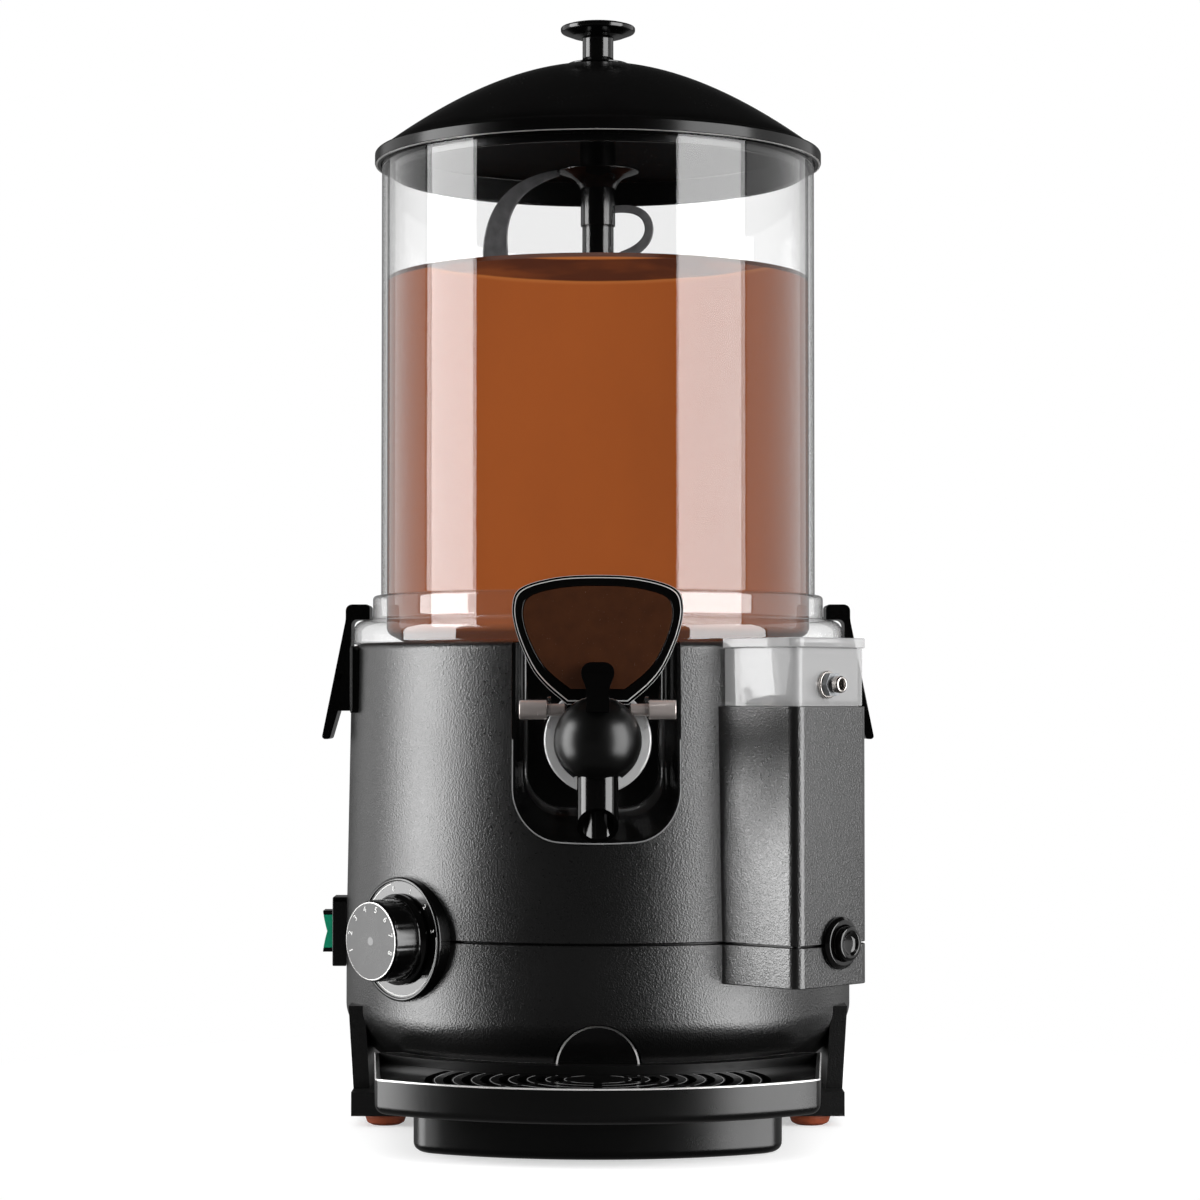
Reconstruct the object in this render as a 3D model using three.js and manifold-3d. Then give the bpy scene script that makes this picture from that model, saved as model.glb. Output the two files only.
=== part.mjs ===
// Hot chocolate dispenser: a clear vessel with a stirrer on a heated round housing, a tap and a drip tray.
// Millimetres, +Z up, front towards -Y. The pieces are drawn round the vessel's upright axis and the whole
// model is shifted at the end, so that the origin lies under the middle of its box, on the table.
import * as THREE from "three";
import { mergeVertices } from "three/addons/utils/BufferGeometryUtils.js";
import Module from "manifold-3d";

const wasm = await Module();
wasm.setup();

// Clearances shared by all pieces
const seatGap = 0.3;
const slideGap = 0.6;
const weld = 0.8; // how far joined solids reach into each other
const overrun = 6; // how far a cutter runs past what it cuts
const roundSides = 24; // facets round the large revolves
const innerSides = 16; // facets round the middling ones
const cornerSteps = 4; // facets round a corner of a plan
const arcSteps = 10; // facets along the front and back of the tray
const smallSides = 12; // facets round the small ones
const tinySides = 8; // facets round pins, pegs and screws
const planSteps = 3; // facets round a corner of a small plan

// Housing: a drum on a bowl, in an upper and a lower shell
const drumRadius = 133.9;
const drumTaper = 2.7;
const drumTopRadius = drumRadius - drumTaper;
const deckHeight = 247;
const deckEdgeRound = 4;
const shellWall = 2.6;
const seamHeight = 97;
const seamBelt = 39;
const bowlEdgeHeight = seamHeight - seamBelt;
const bowlBellyDrop = 12;
const bowlBellyHeight = bowlEdgeHeight - bowlBellyDrop;
const bowlBottomDrop = 15;
const bowlBottomHeight = bowlBellyHeight - bowlBottomDrop;
const bowlTaper = 18.7;
const bowlBottomRadius = drumRadius - bowlTaper;
const seamGap = 0.7;
const lipDepth = 4;
const lipWall = 1.8;
const bottomLipWidth = 14;
const deckHoleGap = 1.6;

// Water box at the right, with a clear window on top
const boxAzimuth = 47;
const boxProud = 40.6;
const boxReach = drumRadius + boxProud;
const boxLeft = -44.5;
const boxRight = 12.2;
const boxDrop = 20.4;
const boxBottom = seamHeight - boxDrop;
const boxTopDrop = 32.4;
const boxTop = deckHeight - boxTopDrop;
const boxCorner = 6;
const boxWall = 2.6;
const boxRootDepth = 21.9;
const boxRoot = drumRadius - boxRootDepth;
const windowInset = 1.2;
const windowWall = 2.2;
const windowRise = 28.8;
const windowTop = boxTop + windowRise;
const windowLidRise = 5.2;
const windowLidTop = windowTop + windowLidRise;
const windowLidOverhang = 1.4;
const windowLidSkirt = 3;
const fittingSide = -20.4;
const fittingRise = 10.8;
const fittingHeight = boxTop + fittingRise;
const fittingNutRadius = 7;
const fittingNutLength = 5;
const fittingTipRadius = 4.2;
const fittingTipLength = 10;
const fittingBore = 2.2;
const fittingNeckRadius = 3.4;
const spigotRadius = 3.6;
const drainSide = -12.5;
const drainRise = 0.8;
const drainHeight = seamHeight + drainRise;
const drainRadius = 13;
const containerFloor = seamHeight + drainRadius + lipDepth;
const spigotLift = 22;
const spigotHeight = containerFloor + spigotLift;
const drainLength = 3.4;
const drainCollarWidth = 4.4;
const drainPlugRadius = drainRadius - drainCollarWidth;
const drainPlugLength = 8;
const drainDish = 2;

// Vessel: a clear tube on a moulded clear foot that drops into the deck
const flangeReach = 14.8;
const flangeInset = 0.7;
const flangeRadius = drumTopRadius - flangeInset;
const vesselRadius = flangeRadius - flangeReach;
const vesselWall = 3;
const outletDrop = 49;
const outletHeight = deckHeight - outletDrop;
const vesselRise = 262.5;
const vesselTop = deckHeight + vesselRise;
const socketWall = 4.3;
const socketRadius = vesselRadius + socketWall;
const socketRise = 26;
const socketTop = deckHeight + socketRise;
const flangeRise = 13;
const flangeTop = deckHeight + flangeRise;
const flangePlate = 3;
const flangeRound = 5;
const cupInset = 11.7;
const cupRadius = vesselRadius - cupInset;
const cupWall = 3;
const cupDrop = 14;
const cupBottom = outletHeight - cupDrop;

// Vessel floor, water drum, heater and drive
const floorInset = 4.5;
const floorRadius = cupRadius - floorInset;
const floorThickness = 2;
const floorSkirt = 12;
const floorDrop = 9;
const floorTop = outletHeight - floorDrop;
const floorBossRadius = 13;
const floorBossRise = 4;
const floorBossTop = floorTop + floorBossRise;
const sealWidth = 1.2;
const sealHeight = 6;
const heaterInset = 3.5;
const heaterRadius = floorRadius - heaterInset;
const heaterWall = 2;
const heaterDrop = 8;
const heaterTop = floorTop - heaterDrop;
const heaterSleeveRadius = 14;
const heaterPortRadius = 5;
const heaterBottom = spigotHeight - heaterPortRadius * 2;
const heaterPortLength = 16;
const elementRadius = 60;
const elementThickness = 8;
const shaftRadius = 5;
const shaftRise = 43;
const shaftTop = floorBossTop + shaftRise;
const gearboxWidth = 74;
const gearboxDepth = 60;
const gearboxDrop = 10;
const gearboxTop = heaterBottom - gearboxDrop;
const gearboxHeight = 30;
const gearboxRound = 8;
const motorRadius = 27;
const motorLift = 10.7;
const motorRoundShare = 0.12;
const motorOffset = 6;
const bracketWidth = 92;
const bracketDepth = 66;
const bracketPlate = 2.5;
const bracketFoot = 14;
const plateInset = 6.2;
const plateRadius = bowlBottomRadius - plateInset;
const plateThickness = 1.5;
const plateVentCount = 8;
const plateVentLength = 26;
const plateVentWidth = 4;
const screwRadius = 1.8;
const screwHeadRadius = 3.6;
const screwHeadHeight = 2;
const screwInset = 4;
const screwCircleRadius = plateRadius - screwInset;
const screwLength = 4;
const screwCount = 3;

// Lid: a dome with a rim over the vessel, a skirt inside it and a guide tube for the stirrer
const lidOverhang = 3.8;
const lidRimRadius = vesselRadius + lidOverhang;
const lidRimHeight = 6.5;
const lidWall = 3;
const lidSkirtDepth = 10.5;
const domeRise = 44;
const lidEdgeRise = 4.5;
const lidEdgeHeight = vesselTop + lidEdgeRise;
const lidDomeTop = lidEdgeHeight + domeRise;
const lidEdgeInset = 7;
const lidEdgeRadius = lidRimRadius - lidEdgeInset;
const domeShoulderShare = 0.49; // where the slopes of edge and crown meet, of the edge's radius
const domeShoulderDrop = 2.3;
const guideRadius = 9.5;
const guideBore = 6.5;
const guideDrop = 6;
const guideBottom = vesselTop - guideDrop;
const knobRise = 22;
const knobTop = lidDomeTop + knobRise;
const knobDiscRadius = 20;
const knobDiscThickness = 5.5;
const knobStemRadius = 8.5;
const knobFlareRadius = 17;
const knobDishDepth = 1.6;

// Stirrer: a tube turned by the shaft, with a cone under the lid, two bars and a ribbon round the tube
const stirrerTubeRadius = 8.4;
const sleeveWall = 0.85;
const stirrerSleeveRadius = stirrerTubeRadius + sleeveWall;
const sleeveLength = 20.4;
const coneGap = 1.5;
const coneTop = guideBottom - coneGap;
const coneHeight = 10;
const coneBottom = coneTop - coneHeight;
const stirrerSleeveBottom = coneBottom - sleeveLength;
const coneRadius = 22;
const coneWall = 2;
const stirrerLift = 3;
const stirrerBottom = floorBossTop + stirrerLift;
const shaftSlip = 0.6;
const stirrerBoreRadius = shaftRadius + shaftSlip;
const stirrerBoreDepth = 60;
const barReach = 55;
const barWidth = 14;
const barThickness = 3.2;
const barDrop = 8;
const barTop = coneBottom - barDrop;
const barRound = 22;
const barSteps = 12;
const footArmGap = 9.5;
const footArmReach = floorRadius - footArmGap;
const footArmHeight = 12;
const footArmLift = 4;
const footArmBottom = stirrerBottom + footArmLift;
const ribbonRadius = 26;
const ribbonWidth = 9;
const ribbonThickness = 2.4;
const ribbonDrop = 4;
const ribbonTop = barTop - ribbonDrop;
const ribbonTurns = 2.25;
const ribbonTurnSteps = 14;

// Legs and feet
const legInset = 5.3;
const legOuterTop = drumRadius - legInset;
const legLean = 2.6;
const legOuterBottom = legOuterTop - legLean;
const legThickness = 8.4;
const legRise = 2;
const legTop = bowlEdgeHeight + legRise;
const legBlockTop = 17.6;
const legBlockWidth = 29;
const legBlockInner = legOuterBottom - legBlockWidth;
const legBottom = 5.4;
const legFront = 72;
const legBack = 74;
const legPlateInset = 16;
const legPlateFront = legFront - legPlateInset;
const footRadius = 10.5;
const footInset = 17;
const footX = legOuterBottom - footInset;
const footFrontInset = 12;
const footFrontY = legFront - footFrontInset;
const footBackInset = 12;
const footBackY = legBack - footBackInset;
const footPocket = 2;
const footRound = 1.4;

// Recess for the tap, with a liner that has a sloping floor and right wall
const recessHalfWidth = 41.4;
const recessDrop = 49.6;
const recessBottom = outletHeight - recessDrop;
const recessCorner = 24;
const recessDepth = 26.9;
const recessBack = drumRadius - recessDepth;
const recessFloorSlope = 12;
const recessLeftSlope = 2.2;
const recessRightSlope = 7;
const linerWall = 2;
const linerProud = 0.8;

// Tap: an outlet on the vessel, an upright valve, a lever on a pin, and a paddle shield
const outletRadius = 15;
const outletBore = 11.5;
const collarRadius = 26.5;
const collarThickness = 4;
const collarProud = 4.6;
const collarFront = drumRadius + collarProud;
const pinRise = 15;
const pinHeight = outletHeight + pinRise;
const pinSetback = 12;
const tapReach = 22.1;
const tapY = drumRadius + tapReach;
const pinY = tapY - pinSetback;
const pinRadius = 3;
const pinEndRadius = 4.8;
const pinEndLength = 13.8;
const lugOuter = 24.7;
const pinEndReach = lugOuter + pinEndLength;
const lugThickness = 1.7;
const lugDrop = 9.3;
const lugBottom = pinHeight - lugDrop;
const lugRise = 7;
const lugTop = pinHeight + lugRise;
const lugNose = 4.6;
const valveRadius = 10.1;
const valveWall = 2.3;
const valveBore = valveRadius - valveWall;
const valveRise = 8.4;
const valveTop = outletHeight + valveRise;
const valveCap = 2.4;
const seatDrop = 16;
const seatHeight = outletHeight - seatDrop;
const spoutWall = 2.7;
const spoutBore = valveRadius - spoutWall;
const seatBore = 4.8;
const seatDepth = 2.4;
const spoutDrop = 50.2;
const spoutTip = outletHeight - spoutDrop;
const spoutCutRise = 17.7;
const spoutCutTop = spoutTip + spoutCutRise;
const branchRadius = 9.6;
const branchBore = 6;
const branchReach = 12;
const stemRadius = 2.4;
const stemRise = 7.2;
const stemTop = valveTop + stemRise;
const headRadius = 5.6;
const headThickness = 2.6;
const plugSlip = 1.6;
const plugRadius = valveBore - plugSlip;
const plugThickness = 2.4;
const pistonSealThickness = 1.8;
const springWire = 1.1;
const springInset = 2.9;
const springRadius = valveBore - springInset;
const springTurns = 5;
const springTurnSteps = 8;
const springWireSides = 5;
const ballRadius = 21.5;
const ballWall = 2.4;
const ballSides = 20; // facets round the ball
const ballCutSetback = 5;
const ballCutY = tapY - ballCutSetback;
const ballSlotClearance = 1.4;
const earInner = 12.6;
const earThickness = 3.6;
const earNose = 5.2;
const forkRadius = 1.3;
const tabHeight = 23;
const tabTop = pinHeight + tabHeight;
const tabWidth = 16;
const tabNeckWidth = 11;
const tabDepth = 8;
const tabRise = 12;
const shieldLift = 2.6;
const shieldBottom = pinHeight + shieldLift;
const shieldHeight = 63;
const shieldTop = shieldBottom + shieldHeight;
const shieldHalfWidth = 41.6;
const shieldSetback = 1.4;
const shieldBack = tapY - shieldSetback;
const shieldThickness = 4.6;
const shieldBorder = 5.2;
const insertDepth = 1;

// Latches at the two sides
const latchPivotProud = 3.4;
const latchPivotX = drumRadius + latchPivotProud;
const latchPivotDrop = 17;
const latchPivotZ = deckHeight - latchPivotDrop;
const hookHeight = 8.5;
const latchTop = flangeTop + hookHeight;
const latchTail = 33;
const latchTip = latchPivotZ - latchTail;
const latchTipProud = 9.7;
const latchTipOuter = latchPivotX + latchTipProud;
const latchTopProud = 3.5;
const latchTopOuter = flangeRadius + latchTopProud;
const latchThickness = 4.4;
const hookOverlap = 9.3;
const hookReach = flangeRadius - hookOverlap;
const hookThickness = 6.6;
const latchWidth = 24;
const latchPinRadius = 2;
const latchEarThickness = 3;
const bracketTopDrop = 3;
const bracketTop = deckHeight - bracketTopDrop;
const bracketTail = 18;
const bracketBottom = latchPivotZ - bracketTail;
const bracketProud = 4.3;
const bracketReach = latchPivotX + bracketProud;
const latchBossRadius = 3.6;

// Controls at the left
const dialAzimuth = -47;
const dialHeight = seamHeight; // both controls straddle the seam
const bezelRadius = 31.5;
const bezelThickness = 4;
const bezelPocket = 2.4;
const knobRadius = 20.75;
const dialKnobLength = 19;
const dialKnobFlare = 2.25;
const dialKnobBackRadius = knobRadius + dialKnobFlare;
const knobGripCount = 24;
const knobGripDepth = 0.7;
const spindleRadius = 3;
const spindleLength = 13;
const thermostatRadius = 17;
const thermostatDepth = 24;
const dialNeckRadius = 12;
const switchAzimuth = -90;
const switchDrop = 2;
const switchHeight = dialHeight - switchDrop;
const switchFrameHeight = 36.5;
const switchFrameWidth = 24;
const switchProud = 7;
const switchBodyDepth = 20;
const rockerHeight = 23;
const rockerWidth = 14;
const rockerProud = 5.4;
const rockerDip = 2.2;

// Drip tray and its grille
const trayRimLift = 7;
const trayRimHeight = bowlBottomHeight + trayRimLift;
const trayDepth = 17;
const trayShelf = trayRimHeight - trayDepth;
const trayWall = 2.4;
const trayReach = 74;
const trayFront = tapY + trayReach;
const trayFlare = 8.3;
const trayBackInset = 19.9;
const trayBackCornerX = drumRadius - trayBackInset;
const trayFrontCornerX = trayBackCornerX - trayFlare;
const trayFrontRise = 40;
const trayFrontCornerY = trayFront - trayFrontRise;
const trayBackCornerY = 74;
const trayTuck = 9.5;
const trayBackArc = drumRadius - trayTuck;
const grilleLiftGap = 1.2; // so that the grille lifts past the drum
const trayCorner = 7;
const basinInsetFront = 34;
const basinInset = 16.7;
const basinHalfWidth = trayFrontCornerX - basinInset;
const basinBackGap = 4.1;
const basinBackArc = drumRadius + basinBackGap;
const basinCorner = 14;
const ledgeWidth = 3;
const ledgeDrop = 7;
const ledgeHeight = trayRimHeight - ledgeDrop;
const grilleThickness = 2.6;
const tongueRadius = 20.8;
const tongueDrop = 2;
const tongueCentre = trayRimHeight - tongueDrop;
const tongueThickness = 3;
const notchGap = 1.1;
const ringInner = 17;
const ringStep = 9;
const ringSlot = 4;
const ringCount = 8;
const spokeWidth = 4.2;
const spokeCount = 3; // bars right across

// Rear: a vent panel and the cable gland
const ventHalfAngle = 24; // degrees
const ventRise = 15;
const ventBottom = seamHeight + ventRise;
const ventHeight = 60;
const ventTop = ventBottom + ventHeight;
const ventPanelWall = 2.2;
const ventSlotCount = 7;
const ventSlotHeight = 3.2;
const ventSlotHalfAngle = 18; // degrees
const glandDrop = 21;
const glandHeight = seamHeight - glandDrop;
const glandRadius = 11;
const glandLength = 11;
const glandBore = 4;
const glandShoulder = 3.5;
const glandNeckRadius = glandRadius - glandShoulder;
const glandInside = 6;

// Materials
const finish = (color, roughness, metalness = 0, opacity = 1) =>
  new THREE.MeshStandardMaterial({ color, roughness, metalness, opacity, transparent: opacity < 1 });
const blackShell = finish(0x1b1b1c, 0.55);
const blackGloss = finish(0x0b0b0c, 0.18);
const clearPlastic = finish(0xe9edee, 0.08, 0, 0.3);
const steel = finish(0xb9b4ae, 0.28, 1);
const darkRubber = finish(0x161616, 0.8);
const brownRubber = finish(0x8a3a18, 0.75);
const silicone = finish(0xd8d4cc, 0.7);
const brownInsert = finish(0x3d200e, 0.35);
const greenRocker = finish(0x0f916e, 0.25);
const greyPlastic = finish(0x55575a, 0.5);
const motorPaint = finish(0x77797c, 0.45, 0.6);

// Solids: closed meshes joined and cut
function indexed(geometry) {
  const bare = geometry.clone();
  bare.deleteAttribute("normal");
  bare.deleteAttribute("uv");
  const merged = mergeVertices(bare, 1e-4);
  const index = merged.index.array;
  const kept = [];
  for (let i = 0; i < index.length; i += 3) {
    const [a, b, c] = [index[i], index[i + 1], index[i + 2]];
    if (a !== b && b !== c && c !== a) kept.push(a, b, c);
  }
  return { positions: merged.attributes.position.array, triangles: kept };
}

function signedVolume(positions, triangles) {
  const [a, b, c] = [new THREE.Vector3(), new THREE.Vector3(), new THREE.Vector3()];
  let six = 0;
  for (let i = 0; i < triangles.length; i += 3) {
    a.fromArray(positions, triangles[i] * 3);
    b.fromArray(positions, triangles[i + 1] * 3);
    c.fromArray(positions, triangles[i + 2] * 3);
    six += a.dot(b.cross(c));
  }
  return six / 6;
}

function solid(geometry) {
  const { positions, triangles } = indexed(geometry);
  if (signedVolume(positions, triangles) < 0) triangles.reverse();
  const mesh = new wasm.Mesh({
    numProp: 3,
    vertProperties: new Float32Array(positions),
    triVerts: new Uint32Array(triangles),
  });
  return new wasm.Manifold(mesh);
}

function geometryOf(manifold) {
  const mesh = manifold.getMesh();
  const geometry = new THREE.BufferGeometry();
  geometry.setAttribute("position", new THREE.BufferAttribute(mesh.vertProperties, 3));
  geometry.setIndex(new THREE.BufferAttribute(mesh.triVerts, 1));
  geometry.computeVertexNormals();
  return geometry;
}

const plain = (geometry) => geometryOf(solid(geometry));
const join = (first, ...rest) => geometryOf(rest.reduce((all, g) => all.add(solid(g)), solid(first)));
const cut = (first, ...rest) => geometryOf(rest.reduce((all, g) => all.subtract(solid(g)), solid(first)));
const overlap = (first, second) => geometryOf(solid(first).intersect(solid(second)));

// Placing: a copy of the geometry moved, or turned round the upright axis to an azimuth from the front
const moved = (geometry, x, y, z) => geometry.clone().translate(x, y, z);
const radians = THREE.MathUtils.degToRad;
const atAzimuth = (geometry, azimuth) => geometry.clone().rotateZ(radians(azimuth));
const alongY = (geometry) => geometry.rotateX(Math.PI / 2);

// Forms: profiles are [radius, height] pairs, plans are [x, y] pairs
function revolve(profile, sides = roundSides) {
  const points = profile.map(([r, z]) => new THREE.Vector2(r, z));
  const closed = profile[0][0] !== 0 || profile.at(-1)[0] !== 0;
  if (closed) points.push(points[0].clone());
  return new THREE.LatheGeometry(points, sides).rotateX(Math.PI / 2);
}

function rod(radius, bottom, top, sides = smallSides) {
  return revolve([[0, bottom], [radius, bottom], [radius, top], [0, top]], sides);
}

function pipe(inner, outer, bottom, top, sides = smallSides) {
  return revolve([[inner, bottom], [outer, bottom], [outer, top], [inner, top]], sides);
}

function block(x0, x1, y0, y1, z0, z1) {
  const size = new THREE.BoxGeometry(x1 - x0, y1 - y0, z1 - z0);
  return size.translate((x0 + x1) / 2, (y0 + y1) / 2, (z0 + z1) / 2);
}

function planOf(points) {
  return new THREE.Shape(points.map(([x, y]) => new THREE.Vector2(x, y)));
}

function prism(plan, bottom, top, curveSegments = 8) {
  const depth = top - bottom;
  const body = new THREE.ExtrudeGeometry(plan, { depth, bevelEnabled: false, curveSegments, steps: 1 });
  return body.translate(0, 0, bottom);
}

// A plan drawn in [x, z] that is deep along Y, between two distances in front of the axis
const frontal = (plan, near, far, steps) => prism(plan, near, far, steps).rotateX(Math.PI / 2);

// A plan drawn in [y, z] that is deep along X
function sideways(plan, x0, x1, curveSegments) {
  const toSide = new THREE.Matrix4().set(0, 0, 1, 0, 1, 0, 0, 0, 0, 1, 0, 0, 0, 0, 0, 1);
  return prism(plan, x0, x1, curveSegments).applyMatrix4(toSide);
}

// A plan whose corners are rounded to the radii given with them: [x, y, radius]
function roundedPlan(corners) {
  const plan = new THREE.Shape();
  const count = corners.length;
  corners.forEach(([x, y, radius], i) => {
    const here = new THREE.Vector2(x, y);
    const before = new THREE.Vector2(...corners[(i + count - 1) % count].slice(0, 2)).sub(here);
    const after = new THREE.Vector2(...corners[(i + 1) % count].slice(0, 2)).sub(here);
    const sharedBefore = corners[(i + count - 1) % count][2] > 0 ? 0.5 : 1;
    const sharedAfter = corners[(i + 1) % count][2] > 0 ? 0.5 : 1;
    const reach = Math.min(radius, before.length() * sharedBefore, after.length() * sharedAfter);
    const start = here.clone().addScaledVector(before.normalize(), reach);
    const end = here.clone().addScaledVector(after.normalize(), reach);
    if (i === 0) plan.moveTo(start.x, start.y);
    else plan.lineTo(start.x, start.y);
    if (reach > 0) plan.quadraticCurveTo(x, y, end.x, end.y);
  });
  plan.closePath();
  return plan;
}

// Points on an arc round the upright axis, from one angle to another, measured from the front
function arcPoints(radius, fromAngle, toAngle, steps) {
  return Array.from({ length: steps + 1 }, (_, i) => {
    const angle = fromAngle + ((toAngle - fromAngle) * i) / steps;
    return [radius * Math.sin(angle), -radius * Math.cos(angle)];
  });
}

// A solid between rings of points, each ring a closed outline beyond the one before
function loft(outlines) {
  const turned = THREE.ShapeUtils.isClockWise(flattened(outlines[0]));
  const rings = turned ? outlines.map((ring) => [...ring].reverse()) : outlines;
  const count = rings[0].length;
  const last = (rings.length - 1) * count;
  const index = [];
  for (let r = 0; r + 1 < rings.length; r += 1) {
    for (let i = 0; i < count; i += 1) {
      const a = r * count + i;
      const b = r * count + ((i + 1) % count);
      index.push(a, b, a + count, b, b + count, a + count);
    }
  }
  for (const [a, b, c] of THREE.ShapeUtils.triangulateShape(flattened(rings[0]), [])) {
    index.push(c, b, a, a + last, b + last, c + last);
  }
  const geometry = new THREE.BufferGeometry();
  geometry.setAttribute("position", new THREE.Float32BufferAttribute(rings.flat(2), 3));
  geometry.setIndex(index);
  return geometry;
}

// A ring drawn flat, without the direction in which it is thinnest
function flattened(ring) {
  const spans = [0, 1, 2].map((k) => {
    const values = ring.map((point) => point[k]);
    return Math.max(...values) - Math.min(...values);
  });
  const thin = spans.indexOf(Math.min(...spans));
  return ring.map((point) => new THREE.Vector2(...point.filter((_, k) => k !== thin)));
}

// A plan's outline as a ring at one height
function ringAt(plan, height, steps = cornerSteps) {
  const points = plan.getPoints(steps);
  const kept = points.filter((point, i) => point.distanceTo(points[(i + 1) % points.length]) > slideGap / 10);
  return kept.map(({ x, y }) => [x, y, height]);
}

// A closed tube along a curve
function tubeAlong(curve, radius, steps, sides = 8) {
  const section = planOf(arcPoints(radius, 0, Math.PI * 2, sides).slice(1));
  return new THREE.ExtrudeGeometry(section, { steps, extrudePath: curve, bevelEnabled: false });
}

// Model tree
const machine = new THREE.Group();

function add(name, geometry, material, parent = machine) {
  const mesh = new THREE.Mesh(geometry, material);
  mesh.name = name;
  parent.add(mesh);
  return mesh;
}

function groupAt(azimuth) {
  const group = new THREE.Group();
  group.rotation.z = radians(azimuth);
  machine.add(group);
  return group;
}

// The housing's outside, grown by a gap, as a solid to trim what sits against it
function housingBody(grown, bowlSteps = 4) {
  const bowl = new THREE.QuadraticBezierCurve(
    new THREE.Vector2(bowlBottomRadius + grown, bowlBottomHeight - grown),
    new THREE.Vector2(drumRadius + grown, bowlBellyHeight - grown),
    new THREE.Vector2(drumRadius + grown, bowlEdgeHeight),
  );
  return [
    ...bowl.getPoints(bowlSteps).map(({ x, y }) => [x, y]),
    [drumRadius + grown, seamHeight],
    [drumTopRadius + grown, deckHeight - deckEdgeRound],
    [drumTopRadius - deckEdgeRound * 0.3 + grown, deckHeight - deckEdgeRound * 0.3 + grown],
    [drumTopRadius - deckEdgeRound + grown, deckHeight + grown],
  ];
}

function housingSolid(grown) {
  const side = housingBody(grown);
  return revolve([[0, side[0][1]], ...side, [0, side.at(-1)[1]]]);
}

// The housing, or its drum alone, turned so that an azimuth lies at the front
const housingFrom = (azimuth, grown) => atAzimuth(housingSolid(grown), -azimuth);
const drumFrom = (azimuth, grown) => (
  atAzimuth(rod(drumRadius + grown, 0, deckHeight * 2, roundSides), -azimuth));

const housingBelow = (height) => block(-boxReach, boxReach, -boxReach, boxReach, 0, height);
const housingAbove = (height) => block(-boxReach, boxReach, -boxReach, boxReach, height, deckHeight * 2);

// Plan of the water box, outline moved in by an inset, with its root inside the drum
function boxPlan(inset) {
  const round = Math.max(boxCorner - inset, slideGap);
  return roundedPlan([
    [boxLeft + inset, -boxReach + inset, round],
    [boxRight - inset, -boxReach + inset, round],
    [boxRight - inset, -boxRoot, 0],
    [boxLeft + inset, -boxRoot, 0],
  ]);
}

const boxPrism = (inset, bottom, top) => atAzimuth(prism(boxPlan(inset), bottom, top), boxAzimuth);

// Outline of the tap recess at a distance from the axis, grown by a wall
function recessRing(distance, grown) {
  const share = (drumRadius - distance) / (drumRadius - recessBack);
  const left = -recessHalfWidth + recessLeftSlope * share - grown;
  const right = recessHalfWidth - recessRightSlope * share + grown;
  const floor = recessBottom + recessFloorSlope * share - grown;
  const top = deckHeight + overrun;
  const plan = roundedPlan([
    [left, floor, recessCorner],
    [right, floor, recessCorner],
    [right, top, 0],
    [left, top, 0],
  ]);
  return ringAt(plan, 0, 8).map(([x, z]) => [x, -distance, z]);
}

function recessSolid(grown) {
  return loft([recessRing(drumRadius + overrun, grown), recessRing(recessBack - grown, grown)]);
}

// Openings for the thermostat and the switch, and the arched notch behind the tray
function controlHoles() {
  const dial = alongY(rod(dialNeckRadius + seatGap, drumRadius - overrun * 2, drumRadius + overrun));
  const rocker = block(
    -switchFrameWidth / 2 + bezelPocket, switchFrameWidth / 2 - bezelPocket,
    -drumRadius - overrun, -drumRadius + overrun * 2,
    switchHeight - switchFrameHeight / 2 + bezelPocket, switchHeight + switchFrameHeight / 2 - bezelPocket,
  );
  return [atAzimuth(moved(dial, 0, 0, dialHeight), dialAzimuth), atAzimuth(rocker, switchAzimuth)];
}

function boxPort(side, height, radius) {
  const bore = alongY(rod(radius, boxReach - overrun, boxReach + overrun, innerSides));
  return atAzimuth(moved(bore, side, 0, height), boxAzimuth);
}

function ventSector(inner, outer, bottom, top, halfAngle) {
  const half = radians(halfAngle);
  const plan = planOf([
    ...arcPoints(outer, Math.PI - half, Math.PI + half, 5),
    ...arcPoints(inner, Math.PI + half, Math.PI - half, 5),
  ]);
  return prism(plan, bottom, top);
}

function upperShell() {
  const inner = drumTopRadius - shellWall;
  const drum = revolve([
    [drumRadius, seamHeight],
    ...housingBody(0).slice(-3),
    [cupRadius + deckHoleGap, deckHeight],
    [cupRadius + deckHoleGap, deckHeight - shellWall],
    [inner - deckEdgeRound / 2, deckHeight - shellWall],
    [inner, deckHeight - deckEdgeRound],
    [drumRadius - shellWall, seamHeight],
  ]);
  const box = cut(boxPrism(0, seamHeight, boxTop), boxPrism(boxWall, seamHeight - overrun, boxTop + overrun));
  const outside = cut(box, rod(drumRadius - shellWall / 2, 0, deckHeight, roundSides));
  const halfSeam = seamHeight + seamGap / 2;
  return cut(
    join(drum, outside),
    housingBelow(halfSeam),
    recessSolid(linerWall + seatGap),
    ventSector(inner - overrun, drumRadius + overrun, ventBottom, ventTop, ventHalfAngle),
    boxPort(drainSide, drainHeight, drainPlugRadius + drainDish),
    atAzimuth(alongY(rod(spigotRadius + seatGap, heaterRadius, drumRadius + overrun)), boxAzimuth)
      .translate(0, 0, spigotHeight),
    ...controlHoles(),
  );
}

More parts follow.
